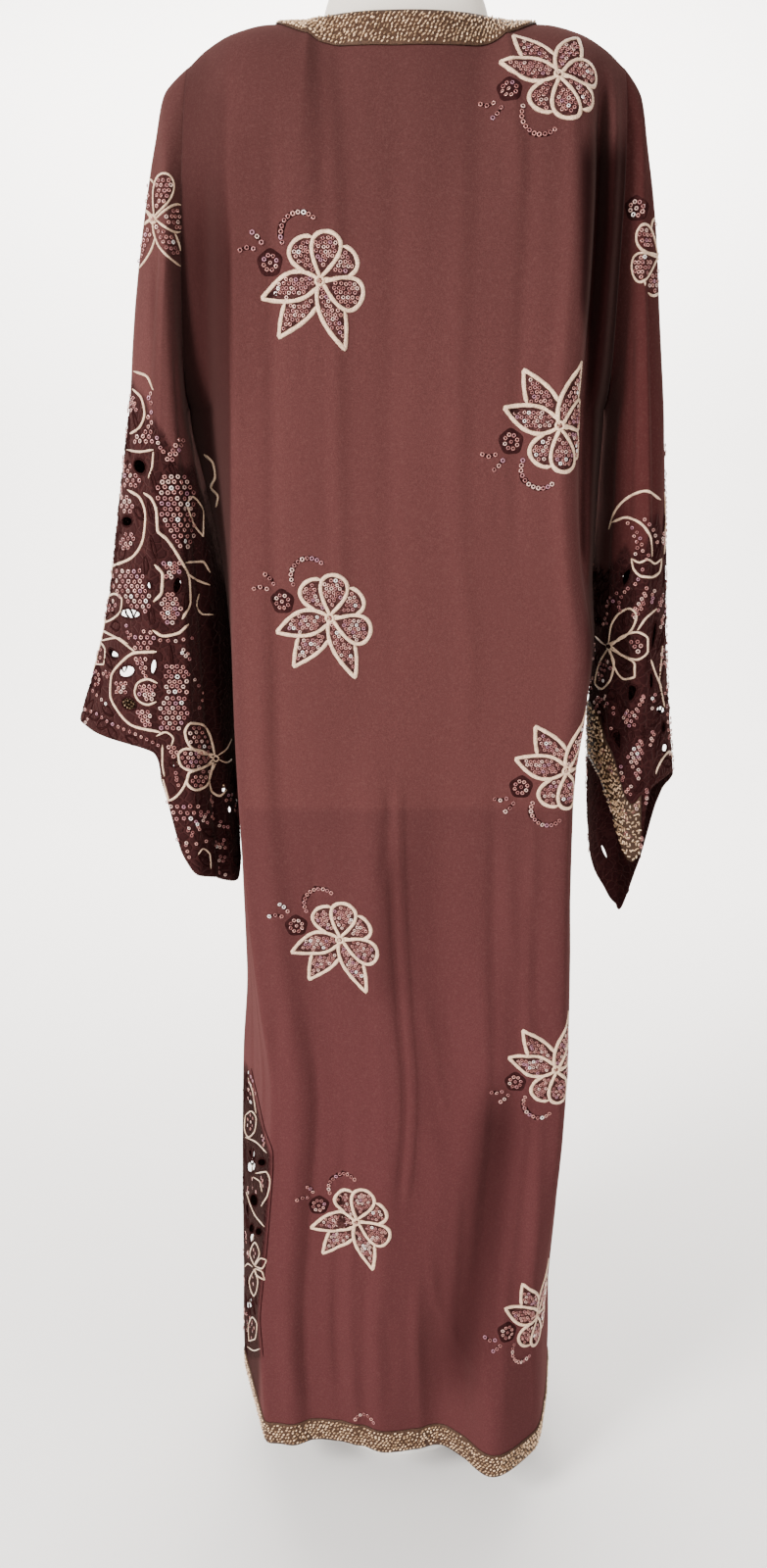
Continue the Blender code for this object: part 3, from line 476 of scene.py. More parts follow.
# ------------------------------------------------------------------ the neck braid's path
def on_panel(front, x, y):
    """The point of a panel that lies at a place (x, y) in plan, found by Newton's steps."""
    c = np.clip(x / 0.24, -0.98, 0.98)
    v = np.full_like(c, 0.985)
    target = np.stack([x, y], -1)
    e = 1e-4
    for _ in range(25):
        p = panel(front, c, v)[..., :2]
        dc = (panel(front, c + e, v)[..., :2] - p) / e
        dv = (p - panel(front, c, v - e)[..., :2]) / e
        r = target - p
        det = dc[..., 0] * dv[..., 1] - dc[..., 1] * dv[..., 0]
        det = np.where(np.abs(det) < 1e-6, 1e-6 * np.sign(det + 1e-12), det)
        sc = (r[..., 0] * dv[..., 1] - r[..., 1] * dv[..., 0]) / det
        sv = (dc[..., 0] * r[..., 1] - dc[..., 1] * r[..., 0]) / det
        c = np.clip(c + np.clip(sc, -0.05, 0.05), -0.99, 0.99)
        v = np.clip(v + np.clip(sv, -0.03, 0.03), 0.76, 1.0)
    return c, v


def neck_strip(around, across):
    """Points and normals of the strip round the neck: around from 0 to 1, across in metres."""
    a = 2 * math.pi * np.asarray(around, float)
    front = np.sin(a) > 0
    depth = np.where(front, NECK_FRONT, NECK_BACK)
    ex, ey = NECK_HALF * np.cos(a), depth * np.sin(a)
    nx, ny = np.cos(a) / NECK_HALF, np.sin(a) / depth
    ln = np.hypot(nx, ny)
    nx, ny = nx / ln, ny / ln
    out = np.linspace(0.0, 0.045, 46)[:, None]
    pts = np.zeros((len(out), len(a), 3))
    nrm = np.zeros_like(pts)
    for fr in (False, True):
        pick = front if fr else ~front
        edge_c = np.sign(ex[pick]) * NECK_AT * 2 / math.pi * np.arcsin(np.clip(np.abs(ex[pick]) / NECK_HALF, 0, 1))
        edge = panel(fr, edge_c, np.ones_like(edge_c))
        c, v = on_panel(fr, edge[:, 0] + nx[pick] * out, edge[:, 1] + ny[pick] * out)
        c[0], v[0] = edge_c, 1.0
        pts[:, pick] = panel(fr, c, v)
        nrm[:, pick] = panel_normal(fr, c, np.minimum(v, 0.998))
    run = np.zeros(pts.shape[:2])
    run[1:] = np.cumsum(np.linalg.norm(np.diff(pts, axis=0), axis=-1), axis=0)
    across = np.asarray(across, float)
    P = np.zeros((len(across), len(a), 3))
    N = np.zeros_like(P)
    for j in range(len(a)):
        for k in range(3):
            P[:, j, k] = np.interp(across, run[:, j], pts[:, j, k])
            N[:, j, k] = np.interp(across, run[:, j], nrm[:, j, k])
    on_seam = np.abs(np.sin(a)) < 1e-6
    N[:, on_seam, 1] = 0.0
    return P, N / np.linalg.norm(N, axis=-1, keepdims=True)


def cuff_share(side, f, width):
    """Share along the sleeve at which the cloth is a given distance from the cuff's edge."""
    s = np.linspace(1.0, 0.6, 81)[:, None]
    P = sleeve(side, f[None, :], s)
    run = np.zeros(P.shape[:2])
    run[1:] = np.cumsum(np.linalg.norm(np.diff(P, axis=0), axis=-1), axis=0)
    return np.array([np.interp(width, run[:, j], s[:, 0]) for j in range(len(f))])


def cuff_width(side):
    return CUFF_BRAID_W if side < 0 else CUFF_ROLL_W


# ------------------------------------------------------------------ finer creases
FINE_BACK = [
    # share, width, depth,    z_low, z_high, fade, tilt
    (-0.250, 0.030, 0.0022, 1.000, 1.420, 0.120, 0.04),
    (-0.040, 0.045, -0.0020, 1.060, 1.400, 0.160, -0.03),
    (0.180, 0.038, 0.0018, 0.960, 1.330, 0.140, 0.05),
    (0.420, 0.030, -0.0020, 1.120, 1.420, 0.100, -0.05),
    (0.560, 0.026, 0.0030, 0.980, 1.380, 0.140, 0.02),
    (-0.470, 0.026, -0.0022, 0.900, 1.300, 0.160, 0.00),
    (-0.030, 0.014, 0.0034, 0.420, 0.800, 0.060, 0.012),
    (-0.058, 0.016, -0.0030, 0.420, 0.790, 0.060, 0.012),
    (0.330, 0.024, -0.0026, 0.300, 0.740, 0.140, -0.05),
    (0.470, 0.022, 0.0026, 0.240, 0.700, 0.180, -0.08),
    (-0.300, 0.022, -0.0026, 0.080, 0.420, 0.120, 0.05),
    (-0.240, 0.018, 0.0024, 0.060, 0.330, 0.100, 0.08),
    (-0.430, 0.020, -0.0024, 0.060, 0.500, 0.140, 0.02),
    (-0.160, 0.026, -0.0030, 0.040, 0.260, 0.090, -0.06),
    (0.060, 0.026, 0.0030, 0.040, 0.220, 0.090, 0.07),
    (0.520, 0.030, 0.0040, 0.060, 0.420, 0.120, 0.22),
    (0.240, 0.024, -0.0034, 0.040, 0.330, 0.110, 0.14),
    (0.760, 0.020, 0.0030, 0.300, 0.900, 0.200, 0.02),
    (0.880, 0.020, -0.0026, 0.250, 0.800, 0.200, 0.00),
    (-0.740, 0.026, 0.0040, 0.500, 1.000, 0.160, 0.00),
    (-0.860, 0.024, -0.0030, 0.420, 0.920, 0.160, 0.00),
    (0.700, 0.018, -0.0040, 0.960, 1.180, 0.100, 0.02),
]
FINE_FRONT = [
    # share, width, depth,    z_low, z_high, fade, tilt
    (-0.330, 0.026, 0.0030, 0.200, 1.100, 0.200, 0.03),
    (-0.540, 0.030, -0.0030, 0.100, 0.900, 0.200, 0.02),
    (-0.090, 0.024, -0.0028, 0.100, 0.840, 0.200, 0.00),
    (0.150, 0.022, 0.0030, 0.080, 0.700, 0.200, -0.03),
    (0.400, 0.028, -0.0030, 0.100, 0.980, 0.240, -0.04),
    (0.620, 0.030, 0.0034, 0.100, 0.900, 0.240, 0.00),
    (0.070, 0.040, -0.0020, 0.960, 1.340, 0.160, 0.03),
    (-0.240, 0.036, 0.0020, 1.020, 1.380, 0.140, -0.04),
    (0.340, 0.036, 0.0020, 1.000, 1.360, 0.140, 0.05),
    (-0.780, 0.026, 0.0030, 0.500, 1.000, 0.160, 0.00),
    (0.800, 0.026, -0.0030, 0.400, 1.000, 0.160, 0.00),
]
# soft creases of the sleeves: share round it, width, depth (outwards), first and last share along it
SLEEVE_CREASES = {
    -1: [
        (0.10, 0.030, 0.0026, 0.15, 0.55), (0.17, 0.022, -0.0026, 0.22, 0.70), (0.33, 0.022, -0.0030, 0.20, 0.95),
        (0.30, 0.014, 0.0022, 0.45, 1.00), (0.40, 0.024, 0.0030, 0.30, 0.95), (0.62, 0.040, -0.0030, 0.20, 0.80),
        (0.70, 0.030, 0.0030, 0.35, 1.00), (0.84, 0.040, -0.0030, 0.15, 0.75), (0.92, 0.030, 0.0030, 0.30, 1.00),
        (0.05, 0.030, -0.0020, 0.55, 1.00), (0.600, 0.050, 0.0130, 0.32, 1.00), (0.385, 0.030, -0.0120, 0.50, 1.00),
    ],
    1: [
        (0.12, 0.030, 0.0024, 0.15, 0.60), (0.19, 0.020, -0.0026, 0.20, 0.75), (0.32, 0.024, -0.0030, 0.15, 0.85),
        (0.38, 0.020, 0.0026, 0.25, 0.90), (0.44, 0.022, -0.0026, 0.30, 0.90), (0.62, 0.040, 0.0030, 0.20, 0.80),
        (0.72, 0.030, -0.0030, 0.30, 0.95), (0.86, 0.036, 0.0030, 0.15, 0.80), (0.95, 0.024, -0.0024, 0.30, 1.00),
    ],
}


# ------------------------------------------------------------------ a grid of points on the cloth
def unit(a):
    return a / np.maximum(np.linalg.norm(a, axis=-1, keepdims=True), 1e-12)


class Cloth:
    """A fine grid on one piece of cloth; rows run along vs, columns along us.
    sx, sy say which way the columns and rows run as seen from outside (x to the right, y up)."""

    def __init__(self, P, out, closed=False, sx=1, sy=1, us=None, vs=None):
        self.P, self.closed, self.sx, self.sy = P, closed, sx, sy
        self.us, self.vs = us, vs
        nv, nu = P.shape[:2]
        self.nv, self.nu = nv, nu
        dv = np.gradient(P, axis=0)
        if closed:
            du = (np.roll(P, -1, 1) - np.roll(P, 1, 1)) / 2
        else:
            du = np.gradient(P, axis=1)
        N = unit(np.cross(du, dv))
        if np.sum(N * out(P)) < 0:
            N = -N
        self.N = N
        Q = np.concatenate([P, P[:, :1]], 1) if closed else P
        step = np.linalg.norm(np.diff(Q, axis=1), axis=-1)
        if closed:
            step = np.concatenate([step] * 3, 1)
        self.Lu = np.concatenate([np.zeros((nv, 1)), np.cumsum(step, 1)], 1)
        self.off = nu if closed else 0
        self.Lv = np.concatenate([np.zeros((1, nu)), np.cumsum(np.linalg.norm(np.diff(P, axis=0), axis=-1), 0)], 0)
        self.cols = np.arange(self.Lu.shape[1], dtype=float)
        self.rows = np.arange(nv, dtype=float)

    def col_length(self, i):
        i = i % self.nu if self.closed else min(max(i, 0), self.nu - 1)
        a = int(i)
        b = (a + 1) % self.nu if self.closed else min(a + 1, self.nu - 1)
        t = i - a
        return self.Lv[:, a] * (1 - t) + self.Lv[:, b] * t

    def row_length(self, j):
        a = int(min(max(j, 0), self.nv - 1))
        b = min(a + 1, self.nv - 1)
        t = j - a
        return self.Lu[a] * (1 - t) + self.Lu[b] * t

    def index(self, u, v):
        vs, rows = (self.vs, self.rows) if self.vs[0] < self.vs[-1] else (self.vs[::-1], self.rows[::-1])
        return float(np.interp(u, self.us, np.arange(self.nu))), float(np.interp(v, vs, rows))

    lean = None

    def seen_width(self, i, j):
        """How wide a short length along the row looks from the camera, against one seen face on."""
        P, _ = self.at(np.array([i - 0.5, i, i + 0.5]), np.array([j, j, j]))
        u, v = project(P)
        ahead = (P[1] - CAM_AT) @ np.array([0.0, math.cos(CAM_TILT), -math.sin(CAM_TILT)])
        return float(np.hypot(u[2] - u[0], v[2] - v[0]) / (np.linalg.norm(P[2] - P[0]) * CAM_F / ahead))

    def pixel(self, px, py):
        """The place that shows at a pixel of the photograph."""
        if not hasattr(self, "uv"):
            self.uv = project(self.P)
            self.seen = np.sum(self.N * (CAM_AT - self.P), -1) > 0
        d = np.hypot(self.uv[0] - px, self.uv[1] - py) + np.where(self.seen, 0.0, 1e4)
        j, i = np.unravel_index(np.argmin(d), d.shape)
        i, j = float(i), float(j)
        for _ in range(4):
            p, q, r = (np.array(project(self.at(np.array([a]), np.array([b]))[0][0]))
                       for a, b in ((i, j), (i + 0.5, j), (i, min(j + 0.5, self.nv - 1.001))))
            m = np.stack([(q - p) * 2, (r - p) * 2], 1)
            if abs(np.linalg.det(m)) < 1e-3:
                break
            s = np.linalg.solve(m, np.array([px, py]) - p)
            i += float(np.clip(s[0], -1.5, 1.5))
            j = float(np.clip(j + np.clip(s[1], -1.5, 1.5), 0, self.nv - 1))
            if not self.closed:
                i = float(np.clip(i, 0, self.nu - 1))
        return i, j

    def walk(self, anchor, x, y):
        """Grid places of points given in metres along the cloth from an anchor (place, place, widening)."""
        if anchor is None:
            return np.asarray(x, float), np.asarray(y, float), np.ones(len(x), bool)
        i0, j0 = anchor[:2]
        wide = anchor[2] if len(anchor) > 2 else 1.0
        a, b = self.sx * wide * np.asarray(x, float), self.sy * np.asarray(y, float)
        col = self.col_length(i0)
        j = np.interp(np.interp(j0, self.rows, col) + b, col, self.rows)
        i = np.empty_like(j)
        ok = (np.interp(j0, self.rows, col) + b >= col[0]) & (np.interp(j0, self.rows, col) + b <= col[-1])
        for k in range(len(j)):
            row = self.row_length(j[k])
            at = np.interp(i0 + self.off, self.cols, row) + a[k]
            ok[k] &= row[0] <= at <= row[-1]
            i[k] = np.interp(at, row, self.cols) - self.off
        return i, j, ok

    def local(self, anchor):
        """Distances along the cloth of all grid points from an anchor."""
        i0, j0 = anchor[:2]
        wide = anchor[2] if len(anchor) > 2 else 1.0
        col = self.col_length(i0)
        b = (col - np.interp(j0, self.rows, col))[:, None] * np.ones((1, self.nu))
        a = np.empty((self.nv, self.nu))
        for j in range(self.nv):
            row = self.Lu[j]
            here = row[self.off:self.off + self.nu] - np.interp(i0 + self.off, self.cols, row)
            if self.closed:
                turn = row[self.nu]
                here = (here + turn / 2) % turn - turn / 2
            a[j] = here
        return a * self.sx / wide, b * self.sy

    def at(self, i, j):
        i, j = np.asarray(i, float), np.asarray(j, float)
        if self.closed:
            i = i % self.nu
        else:
            i = np.clip(i, 0, self.nu - 1)
        j = np.clip(j, 0, self.nv - 1)
        a, b = np.floor(i).astype(int), np.floor(j).astype(int)
        if self.closed:
            a = a % self.nu
            a1 = (a + 1) % self.nu
            s = i - np.floor(i)
        else:
            a = np.minimum(a, self.nu - 2)
            a1 = a + 1
            s = i - a
        b = np.minimum(b, self.nv - 2)
        t = (j - b)[..., None]
        s = s[..., None]
        out = []
        for G in (self.P, self.N):
            out.append((G[b, a] * (1 - s) + G[b, a1] * s) * (1 - t) + (G[b + 1, a] * (1 - s) + G[b + 1, a1] * s) * t)
        return out[0], unit(out[1])


class Seen:
    """The same cloth, with places given in metres as they are seen from the photograph's camera."""

    def __init__(self, cloth, squash=1.0):
        self.c, self.squash = cloth, squash
        self.sx, self.sy, self.lean, self.closed = cloth.sx, cloth.sy, cloth.lean, cloth.closed
        cloth.pixel(0.0, 0.0)

    def at(self, i, j):
        return self.c.at(i, j)

    def walk(self, anchor, x, y):
        cx, cy = anchor[:2]
        u, v = self.c.uv
        cost = np.where(self.c.seen, 0.0, 1e4)
        k, l = np.unravel_index(np.argmin(np.hypot(u - cx, v - cy) + cost), u.shape)
        d = self.c.P[k, l] - CAM_AT
        scale = CAM_F / (d[1] * math.cos(CAM_TILT) - d[2] * math.sin(CAM_TILT))
        tx = cx + np.asarray(x, float) * scale * self.squash
        ty = cy - np.asarray(y, float) * scale
        gi, gj, ok = np.zeros(len(tx)), np.zeros(len(tx)), np.ones(len(tx), bool)
        for n, (px, py) in enumerate(zip(tx, ty)):
            gap = np.hypot(u - px, v - py) + cost
            if gap.min() > 6.0:
                ok[n] = False
                continue
            gi[n], gj[n] = self.c.pixel(px, py)
        back_u, back_v = project(self.c.at(gi, gj)[0])
        ok &= np.hypot(back_u - tx, back_v - ty) < 0.8
        return gi, gj, ok


# ------------------------------------------------------------------ meshes
def make(name, verts, tris, quads, mat, attrs=None, smooth=True):
    verts = np.asarray(verts, np.float32).reshape(-1, 3)
    tris = np.asarray(tris, np.int32).reshape(-1, 3)
    quads = np.asarray(quads, np.int32).reshape(-1, 4)
    me = bpy.data.meshes.new(name)
    me.vertices.add(len(verts))
    me.vertices.foreach_set("co", verts.ravel())
    loops = np.concatenate([tris.ravel(), quads.ravel()])
    me.loops.add(len(loops))
    me.loops.foreach_set("vertex_index", loops)
    n = len(tris) + len(quads)
    me.polygons.add(n)
    start = np.concatenate([np.arange(len(tris)) * 3, len(tris) * 3 + np.arange(len(quads)) * 4]).astype(np.int32)
    me.polygons.foreach_set("loop_start", start)
    me.update(calc_edges=True)
    me.validate()
    if smooth:
        me.shade_smooth()
    for key, values in (attrs or {}).items():
        at = me.attributes.new(key, "FLOAT", "POINT")
        at.data.foreach_set("value", np.asarray(values, np.float32))
    me.materials.append(mat)
    ob = bpy.data.objects.new(name, me)
    bpy.context.scene.collection.objects.link(ob)
    return ob


class Batch:
    """Many small pieces of one material, gathered into one mesh."""

    def __init__(self):
        self.v, self.t, self.q, self.n = [], [], [], 0
        self.low, self.step = False, 0.0        # a plainer section and longer steps for its cords

    def add(self, verts, tris=None, quads=None):
        verts = np.asarray(verts, float).reshape(-1, 3)
        if tris is not None and len(tris):
            self.t.append(np.asarray(tris, int).reshape(-1, 3) + self.n)
        if quads is not None and len(quads):
            self.q.append(np.asarray(quads, int).reshape(-1, 4) + self.n)
        self.v.append(verts)
        self.n += len(verts)

    def build(self, name, mat, smooth=True):
        t = np.concatenate(self.t) if self.t else np.zeros((0, 3), int)
        q = np.concatenate(self.q) if self.q else np.zeros((0, 4), int)
        return make(name, np.concatenate(self.v), t, q, mat, smooth=smooth)


def shell(name, cloth, mat, thick, holes=None, attrs=None):
    """The cloth's grid as a mesh, with the places where holes is below 0 cut away along its line."""
    nv, nu = cloth.nv, cloth.nu
    ids = np.arange(nv * nu).reshape(nv, nu)
    right = np.roll(ids, -1, 1) if cloth.closed else ids[:, 1:]
    left = ids if cloth.closed else ids[:, :-1]
    quads = np.stack([left[:-1], right[:-1], right[1:], left[1:]], -1).reshape(-1, 4)
    V = cloth.P.reshape(-1, 3)
    A = {k: np.asarray(a, float).reshape(-1) for k, a in (attrs or {}).items()}
    tris = []
    if holes is not None:
        h = holes.reshape(-1).copy()
        h[np.abs(h) < 2e-5] = 2e-5
        hq = h[quads]
        whole = (hq > 0).all(1)
        mixed = (~whole) & (hq > 0).any(1)
        new_v, new_a, edge = [], {k: [] for k in A}, {}
        base = len(V)

        def cut(p, q):
            key = (p, q) if p < q else (q, p)
            if key not in edge:
                a, b = key
                t = min(max(h[a] / (h[a] - h[b]), 0.06), 0.94)
                edge[key] = base + len(new_v)
                new_v.append(V[a] * (1 - t) + V[b] * t)
                for k in A:
                    new_a[k].append(A[k][a] * (1 - t) + A[k][b] * t)
            return edge[key]
        keep_q = []
        for quad in quads[mixed]:
            poly = []
            for k in range(4):
                p, q = int(quad[k]), int(quad[(k + 1) % 4])
                if h[p] > 0:
                    poly.append(p)
                if (h[p] > 0) != (h[q] > 0):
                    poly.append(cut(p, q))
            if len(poly) == 3:
                tris.append(poly)
            elif len(poly) == 4:
                keep_q.append(poly)
            elif len(poly) == 5:
                tris.append([poly[0], poly[1], poly[2]])
                keep_q.append([poly[0], poly[2], poly[3], poly[4]])
            elif len(poly) == 6:
                keep_q.append(poly[:4])
                keep_q.append([poly[0], poly[3], poly[4], poly[5]])
        quads = np.concatenate([quads[whole], np.array(keep_q, int).reshape(-1, 4)])
        if new_v:
            V = np.concatenate([V, np.array(new_v)])
            A = {k: np.concatenate([A[k], np.array(new_a[k])]) for k in A}
        # leave out the points that no face uses
        tri_a = np.array(tris, int).reshape(-1, 3)
        used = np.unique(np.concatenate([quads.ravel(), tri_a.ravel()]))
        where = np.full(len(V), -1)
        where[used] = np.arange(len(used))
        V, quads, tris = V[used], where[quads], where[tri_a]
        A = {k: a[used] for k, a in A.items()}
    ob = make(name, V, tris, quads, mat, A)
    if np.sum(cloth.N.reshape(-1, 3)[:1] * np.array(ob.data.polygons[0].normal)) < 0:
        ob.data.flip_normals()
    so = ob.modifiers.new("thickness", "SOLIDIFY")
    so.thickness = thick
    so.offset = 0.0
    so.use_even_offset = False
    return ob


# ------------------------------------------------------------------ what is sewn on
rng = np.random.default_rng(41)
CLOTH_T = 0.0009                 # thickness of the visual cloth


def resample(x, y, step):
    x, y = np.asarray(x, float), np.asarray(y, float)
    run = np.concatenate([[0], np.cumsum(np.hypot(np.diff(x), np.diff(y)))])
    n = max(int(round(run[-1] / step)), 3)
    at = np.linspace(0, run[-1], n + 1)
    return np.interp(at, run, x), np.interp(at, run, y)


def cord(batch, cloth, anchor, x, y, w=0.0042, h=0.0010, step=0.0013, ribs=0.30, side=1, taper=True, field=None):
    """A raised line of satin stitch along points given in metres from an anchor."""
    if anchor is not None:
        x, y = resample(x, y, max(step, batch.step))
    i, j, ok = cloth.walk(anchor, x, y)
    if field is not None:
        ok &= field(i, j)
    cuts = np.flatnonzero(np.diff(np.concatenate([[0], ok.astype(int), [0]])))
    for a, b in zip(cuts[::2], cuts[1::2]):
        if b - a < 4:
            continue
        P, N = cloth.at(i[a:b], j[a:b])
        N = N * side
        T = unit(np.gradient(P, axis=0))
        S = np.cross(N, T)
        n = len(P)
        wave = 1 - ribs * (np.arange(n) % 2)
        wide = np.ones(n)
        if taper:
            ends = np.minimum(np.arange(n), np.arange(n)[::-1]) / 3.0
            wide = np.clip(0.35 + 0.65 * ends, 0, 1)
        wide = wide * (1 + 0.07 * np.sin(np.arange(n) * 0.7 + float(x[0]) * 900))
        prof = ((-0.5, -0.1), (-0.33, 0.72), (0.0, 1.0), (0.33, 0.72), (0.5, -0.1))
        if batch.low:
            prof = prof[::2]
        rows = []
        for k, m in prof:
            up = CLOTH_T / 2 + (h * m * wave * np.sqrt(wide) if m > 0 else np.full(n, -0.0001))
            rows.append(P + S * (w * k * wide)[:, None] + N * up[:, None])
        V = np.stack(rows, 1)
        m = len(prof)
        r = np.arange(n - 1)[:, None] * m
        c = np.arange(m)[None, :]
        q = np.stack([r + c, r + (c + 1) % m, r + m + (c + 1) % m, r + m + c], -1).reshape(-1, 4)
        e = (n - 1) * m
        caps = [[0, k + 1, k] for k in range(1, m - 1)] + [[e, e + k, e + k + 1] for k in range(1, m - 1)]
        batch.add(V.reshape(-1, 3), caps, q[:, ::-1])


SEQ_A = np.linspace(0, 2 * math.pi, 7)[:-1]


def sequins(batch, cloth, anchor, x, y, r=0.00230, side=1, tilt=0.20, field=None, lift=0.0004):
    """Small cupped rings at points given in metres from an anchor."""
    x, y = np.atleast_1d(np.asarray(x, float)), np.atleast_1d(np.asarray(y, float))
    if not len(x):
        return
    i, j, ok = cloth.walk(anchor, x, y)
    if field is not None:
        ok &= field(i, j)
    i, j = i[ok], j[ok]
    if not len(i):
        return
    P, N = cloth.at(i, j)
    n = len(P)
    N = N * side
    if cloth.lean is not None:
        # they hang a little loose, so they face more the way the cloth hangs open
        face = np.clip((N @ cloth.lean) / 0.5, 0, 1)[:, None]
        N = N + cloth.lean * 0.75 * face
        lift = lift + 0.0005
    N = unit(N + rng.normal(0, tilt, (n, 3)) * 0.6)
    X = unit(np.cross(N, np.array([0.31, 0.17, 0.94])))
    Y = np.cross(N, X)
    rad = r * (1 + rng.normal(0, 0.03, n))
    spin = rng.uniform(0, 6.28, n)
    m = len(SEQ_A)
    a = SEQ_A[None, :] + spin[:, None]
    ring = X[:, None] * np.cos(a)[..., None] + Y[:, None] * np.sin(a)[..., None]
    base = P + N * (CLOTH_T / 2 + lift)
    rows = []
    for k, up in ((1.0, 0.00030), (0.70, 0.00080), (0.43, 0.00025)):
        rows.append(base[:, None] + ring * (rad * k)[:, None, None] + (N * up)[:, None])
    V = np.stack(rows, 1).reshape(-1, 3)            # n, 3 rings, m
    f = []
    for k in range(3):
        k1 = (k + 1) % 3
        for c in range(m):
            c1 = (c + 1) % m
            f.append([k * m + c, k * m + c1, k1 * m + c1, k1 * m + c])
    f = np.array(f)
    q = (f[None] + (np.arange(n) * 3 * m)[:, None, None]).reshape(-1, 4)
    batch.add(V, None, q)


def patch(batch, cloth, anchor, x, y, cx, cy, side=1, lift=0.00035, step=0.0022):
    """A thin filled ground of stitches inside an outline."""
    x, y = resample(x, y, step)
    x, y = x[:-1], y[:-1]
    n = len(x)
    rows = []
    ok = np.ones(n, bool)
    for k, up in ((1.0, -0.0002), (0.93, lift), (0.62, lift), (0.30, lift)):
        i, j, good = cloth.walk(anchor, cx + (x - cx) * k, cy + (y - cy) * k)
        ok &= good
        P, N = cloth.at(i, j)
        rows.append(P + N * side * (CLOTH_T / 2 + up))
    if not ok.all():
        return
    i, j, _ = cloth.walk(anchor, [cx], [cy])
    P, N = cloth.at(i, j)
    top, low = P[0] + N[0] * side * (CLOTH_T / 2 + lift), P[0] + N[0] * side * (CLOTH_T / 2 - 0.0003)
    V = np.concatenate(rows + [top[None], low[None]])
    q, t = [], []
    for k in range(3):
        for c in range(n):
            c1 = (c + 1) % n
            q.append([k * n + c, k * n + c1, (k + 1) * n + c1, (k + 1) * n + c])
    for c in range(n):
        c1 = (c + 1) % n
        t.append([3 * n + c, 3 * n + c1, 4 * n])
        t.append([c1, c, 4 * n + 1])
    q, t = np.array(q), np.array(t)
    area = 0.5 * np.sum(x * np.roll(y, -1) - np.roll(x, -1) * y) * cloth.sx * cloth.sy
    batch.add(V, t, q)


def inside(px, py, x, y):
    """Signed distance of points to a closed outline, negative inside."""
    px, py = np.asarray(px, float), np.asarray(py, float)
    d = np.full(px.shape, 1e9)
    sign = np.zeros(px.shape, bool)
    n = len(x)
    for k in range(n):
        ax, ay, bx, by = x[k], y[k], x[(k + 1) % n], y[(k + 1) % n]
        ex, ey = bx - ax, by - ay
        wx, wy = px - ax, py - ay
        t = np.clip((wx * ex + wy * ey) / max(ex * ex + ey * ey, 1e-18), 0, 1)
        d = np.minimum(d, np.hypot(wx - ex * t, wy - ey * t))
        cross = ((ay > py) != (by > py)) & (px < (bx - ax) * (py - ay) / (by - ay if by != ay else 1e-18) + ax)
        sign ^= cross
    return np.where(sign, -d, d)


def turned(x, y, deg, ox=0.0, oy=0.0):
    a = math.radians(deg)
    x, y = np.asarray(x, float), np.asarray(y, float)
    return ox + x * math.cos(a) - y * math.sin(a), oy + x * math.sin(a) + y * math.cos(a)


# outlines, in metres, starting and ending at the middle of a flower and lying along +x
def petal(length, width, n=44):
    t = np.linspace(0, 2 * math.pi, n)
    r = 0.5 - 0.5 * np.cos(t)
    return length * (0.06 + 0.94 * r), 0.62 * width * np.sin(t) * r ** 0.62


def leaf(length, width, bend=0.0, n=26):
    t = np.linspace(0, 1, n)
    half = 0.5 * width * np.sin(math.pi * t ** 0.80) ** 0.95
    x = np.concatenate([t, t[::-1][1:]]) * length
    y = np.concatenate([half, -half[::-1][1:]])
    return x, y + bend * length * (x / length) * (1 - x / length)


def arc(radius, a0, a1, squash=1.0, n=40):
    a = np.radians(np.linspace(a0, a1, n))
    return radius * np.cos(a), radius * squash * np.sin(a)


def fill_points(x, y, pitch, margin, jitter=0.0003):
    """Rows of places inside an outline, a margin away from it."""
    lo, hi = (min(x), min(y)), (max(x), max(y))
    gx, gy = [], []
    rows = int((hi[1] - lo[1]) / (pitch * 0.87)) + 2
    for r in range(rows):
        yy = lo[1] + r * pitch * 0.87
        xx = np.arange(lo[0] + (r % 2) * pitch / 2, hi[0] + pitch, pitch)
        gx += list(xx)
        gy += [yy] * len(xx)
    gx, gy = np.array(gx), np.array(gy)
    keep = inside(gx, gy, x, y) < -margin
    gx, gy = gx[keep], gy[keep]
    return gx + rng.normal(0, jitter, len(gx)), gy + rng.normal(0, jitter, len(gy))


LOBES = [
    # the ones above come first: kind, angle, length, width, bend
    ("petal", 79, 0.0395, 0.0270, 0.00),
    ("petal", -22, 0.0388, 0.0285, 0.00),
    ("leaf", -68, 0.0590, 0.0205, 0.06),
    ("leaf", -165, 0.0515, 0.0225, -0.12),
    ("petal", 119, 0.0380, 0.0285, 0.00),
    ("petal", 37, 0.0366, 0.0265, 0.00),
    ("leaf", -128, 0.0565, 0.0240, -0.10),
]


def clear_runs(x, y, over):
    """The stretches of a line that no outline above it hides."""
    ok = np.ones(len(x), bool)
    for ox, oy in over:
        ok &= inside(x, y, ox, oy) > 0.0004
    cuts = np.flatnonzero(np.diff(np.concatenate([[0], ok.astype(int), [0]])))
    return [(x[a:b], y[a:b]) for a, b in zip(cuts[::2], cuts[1::2]) if b - a > 5]


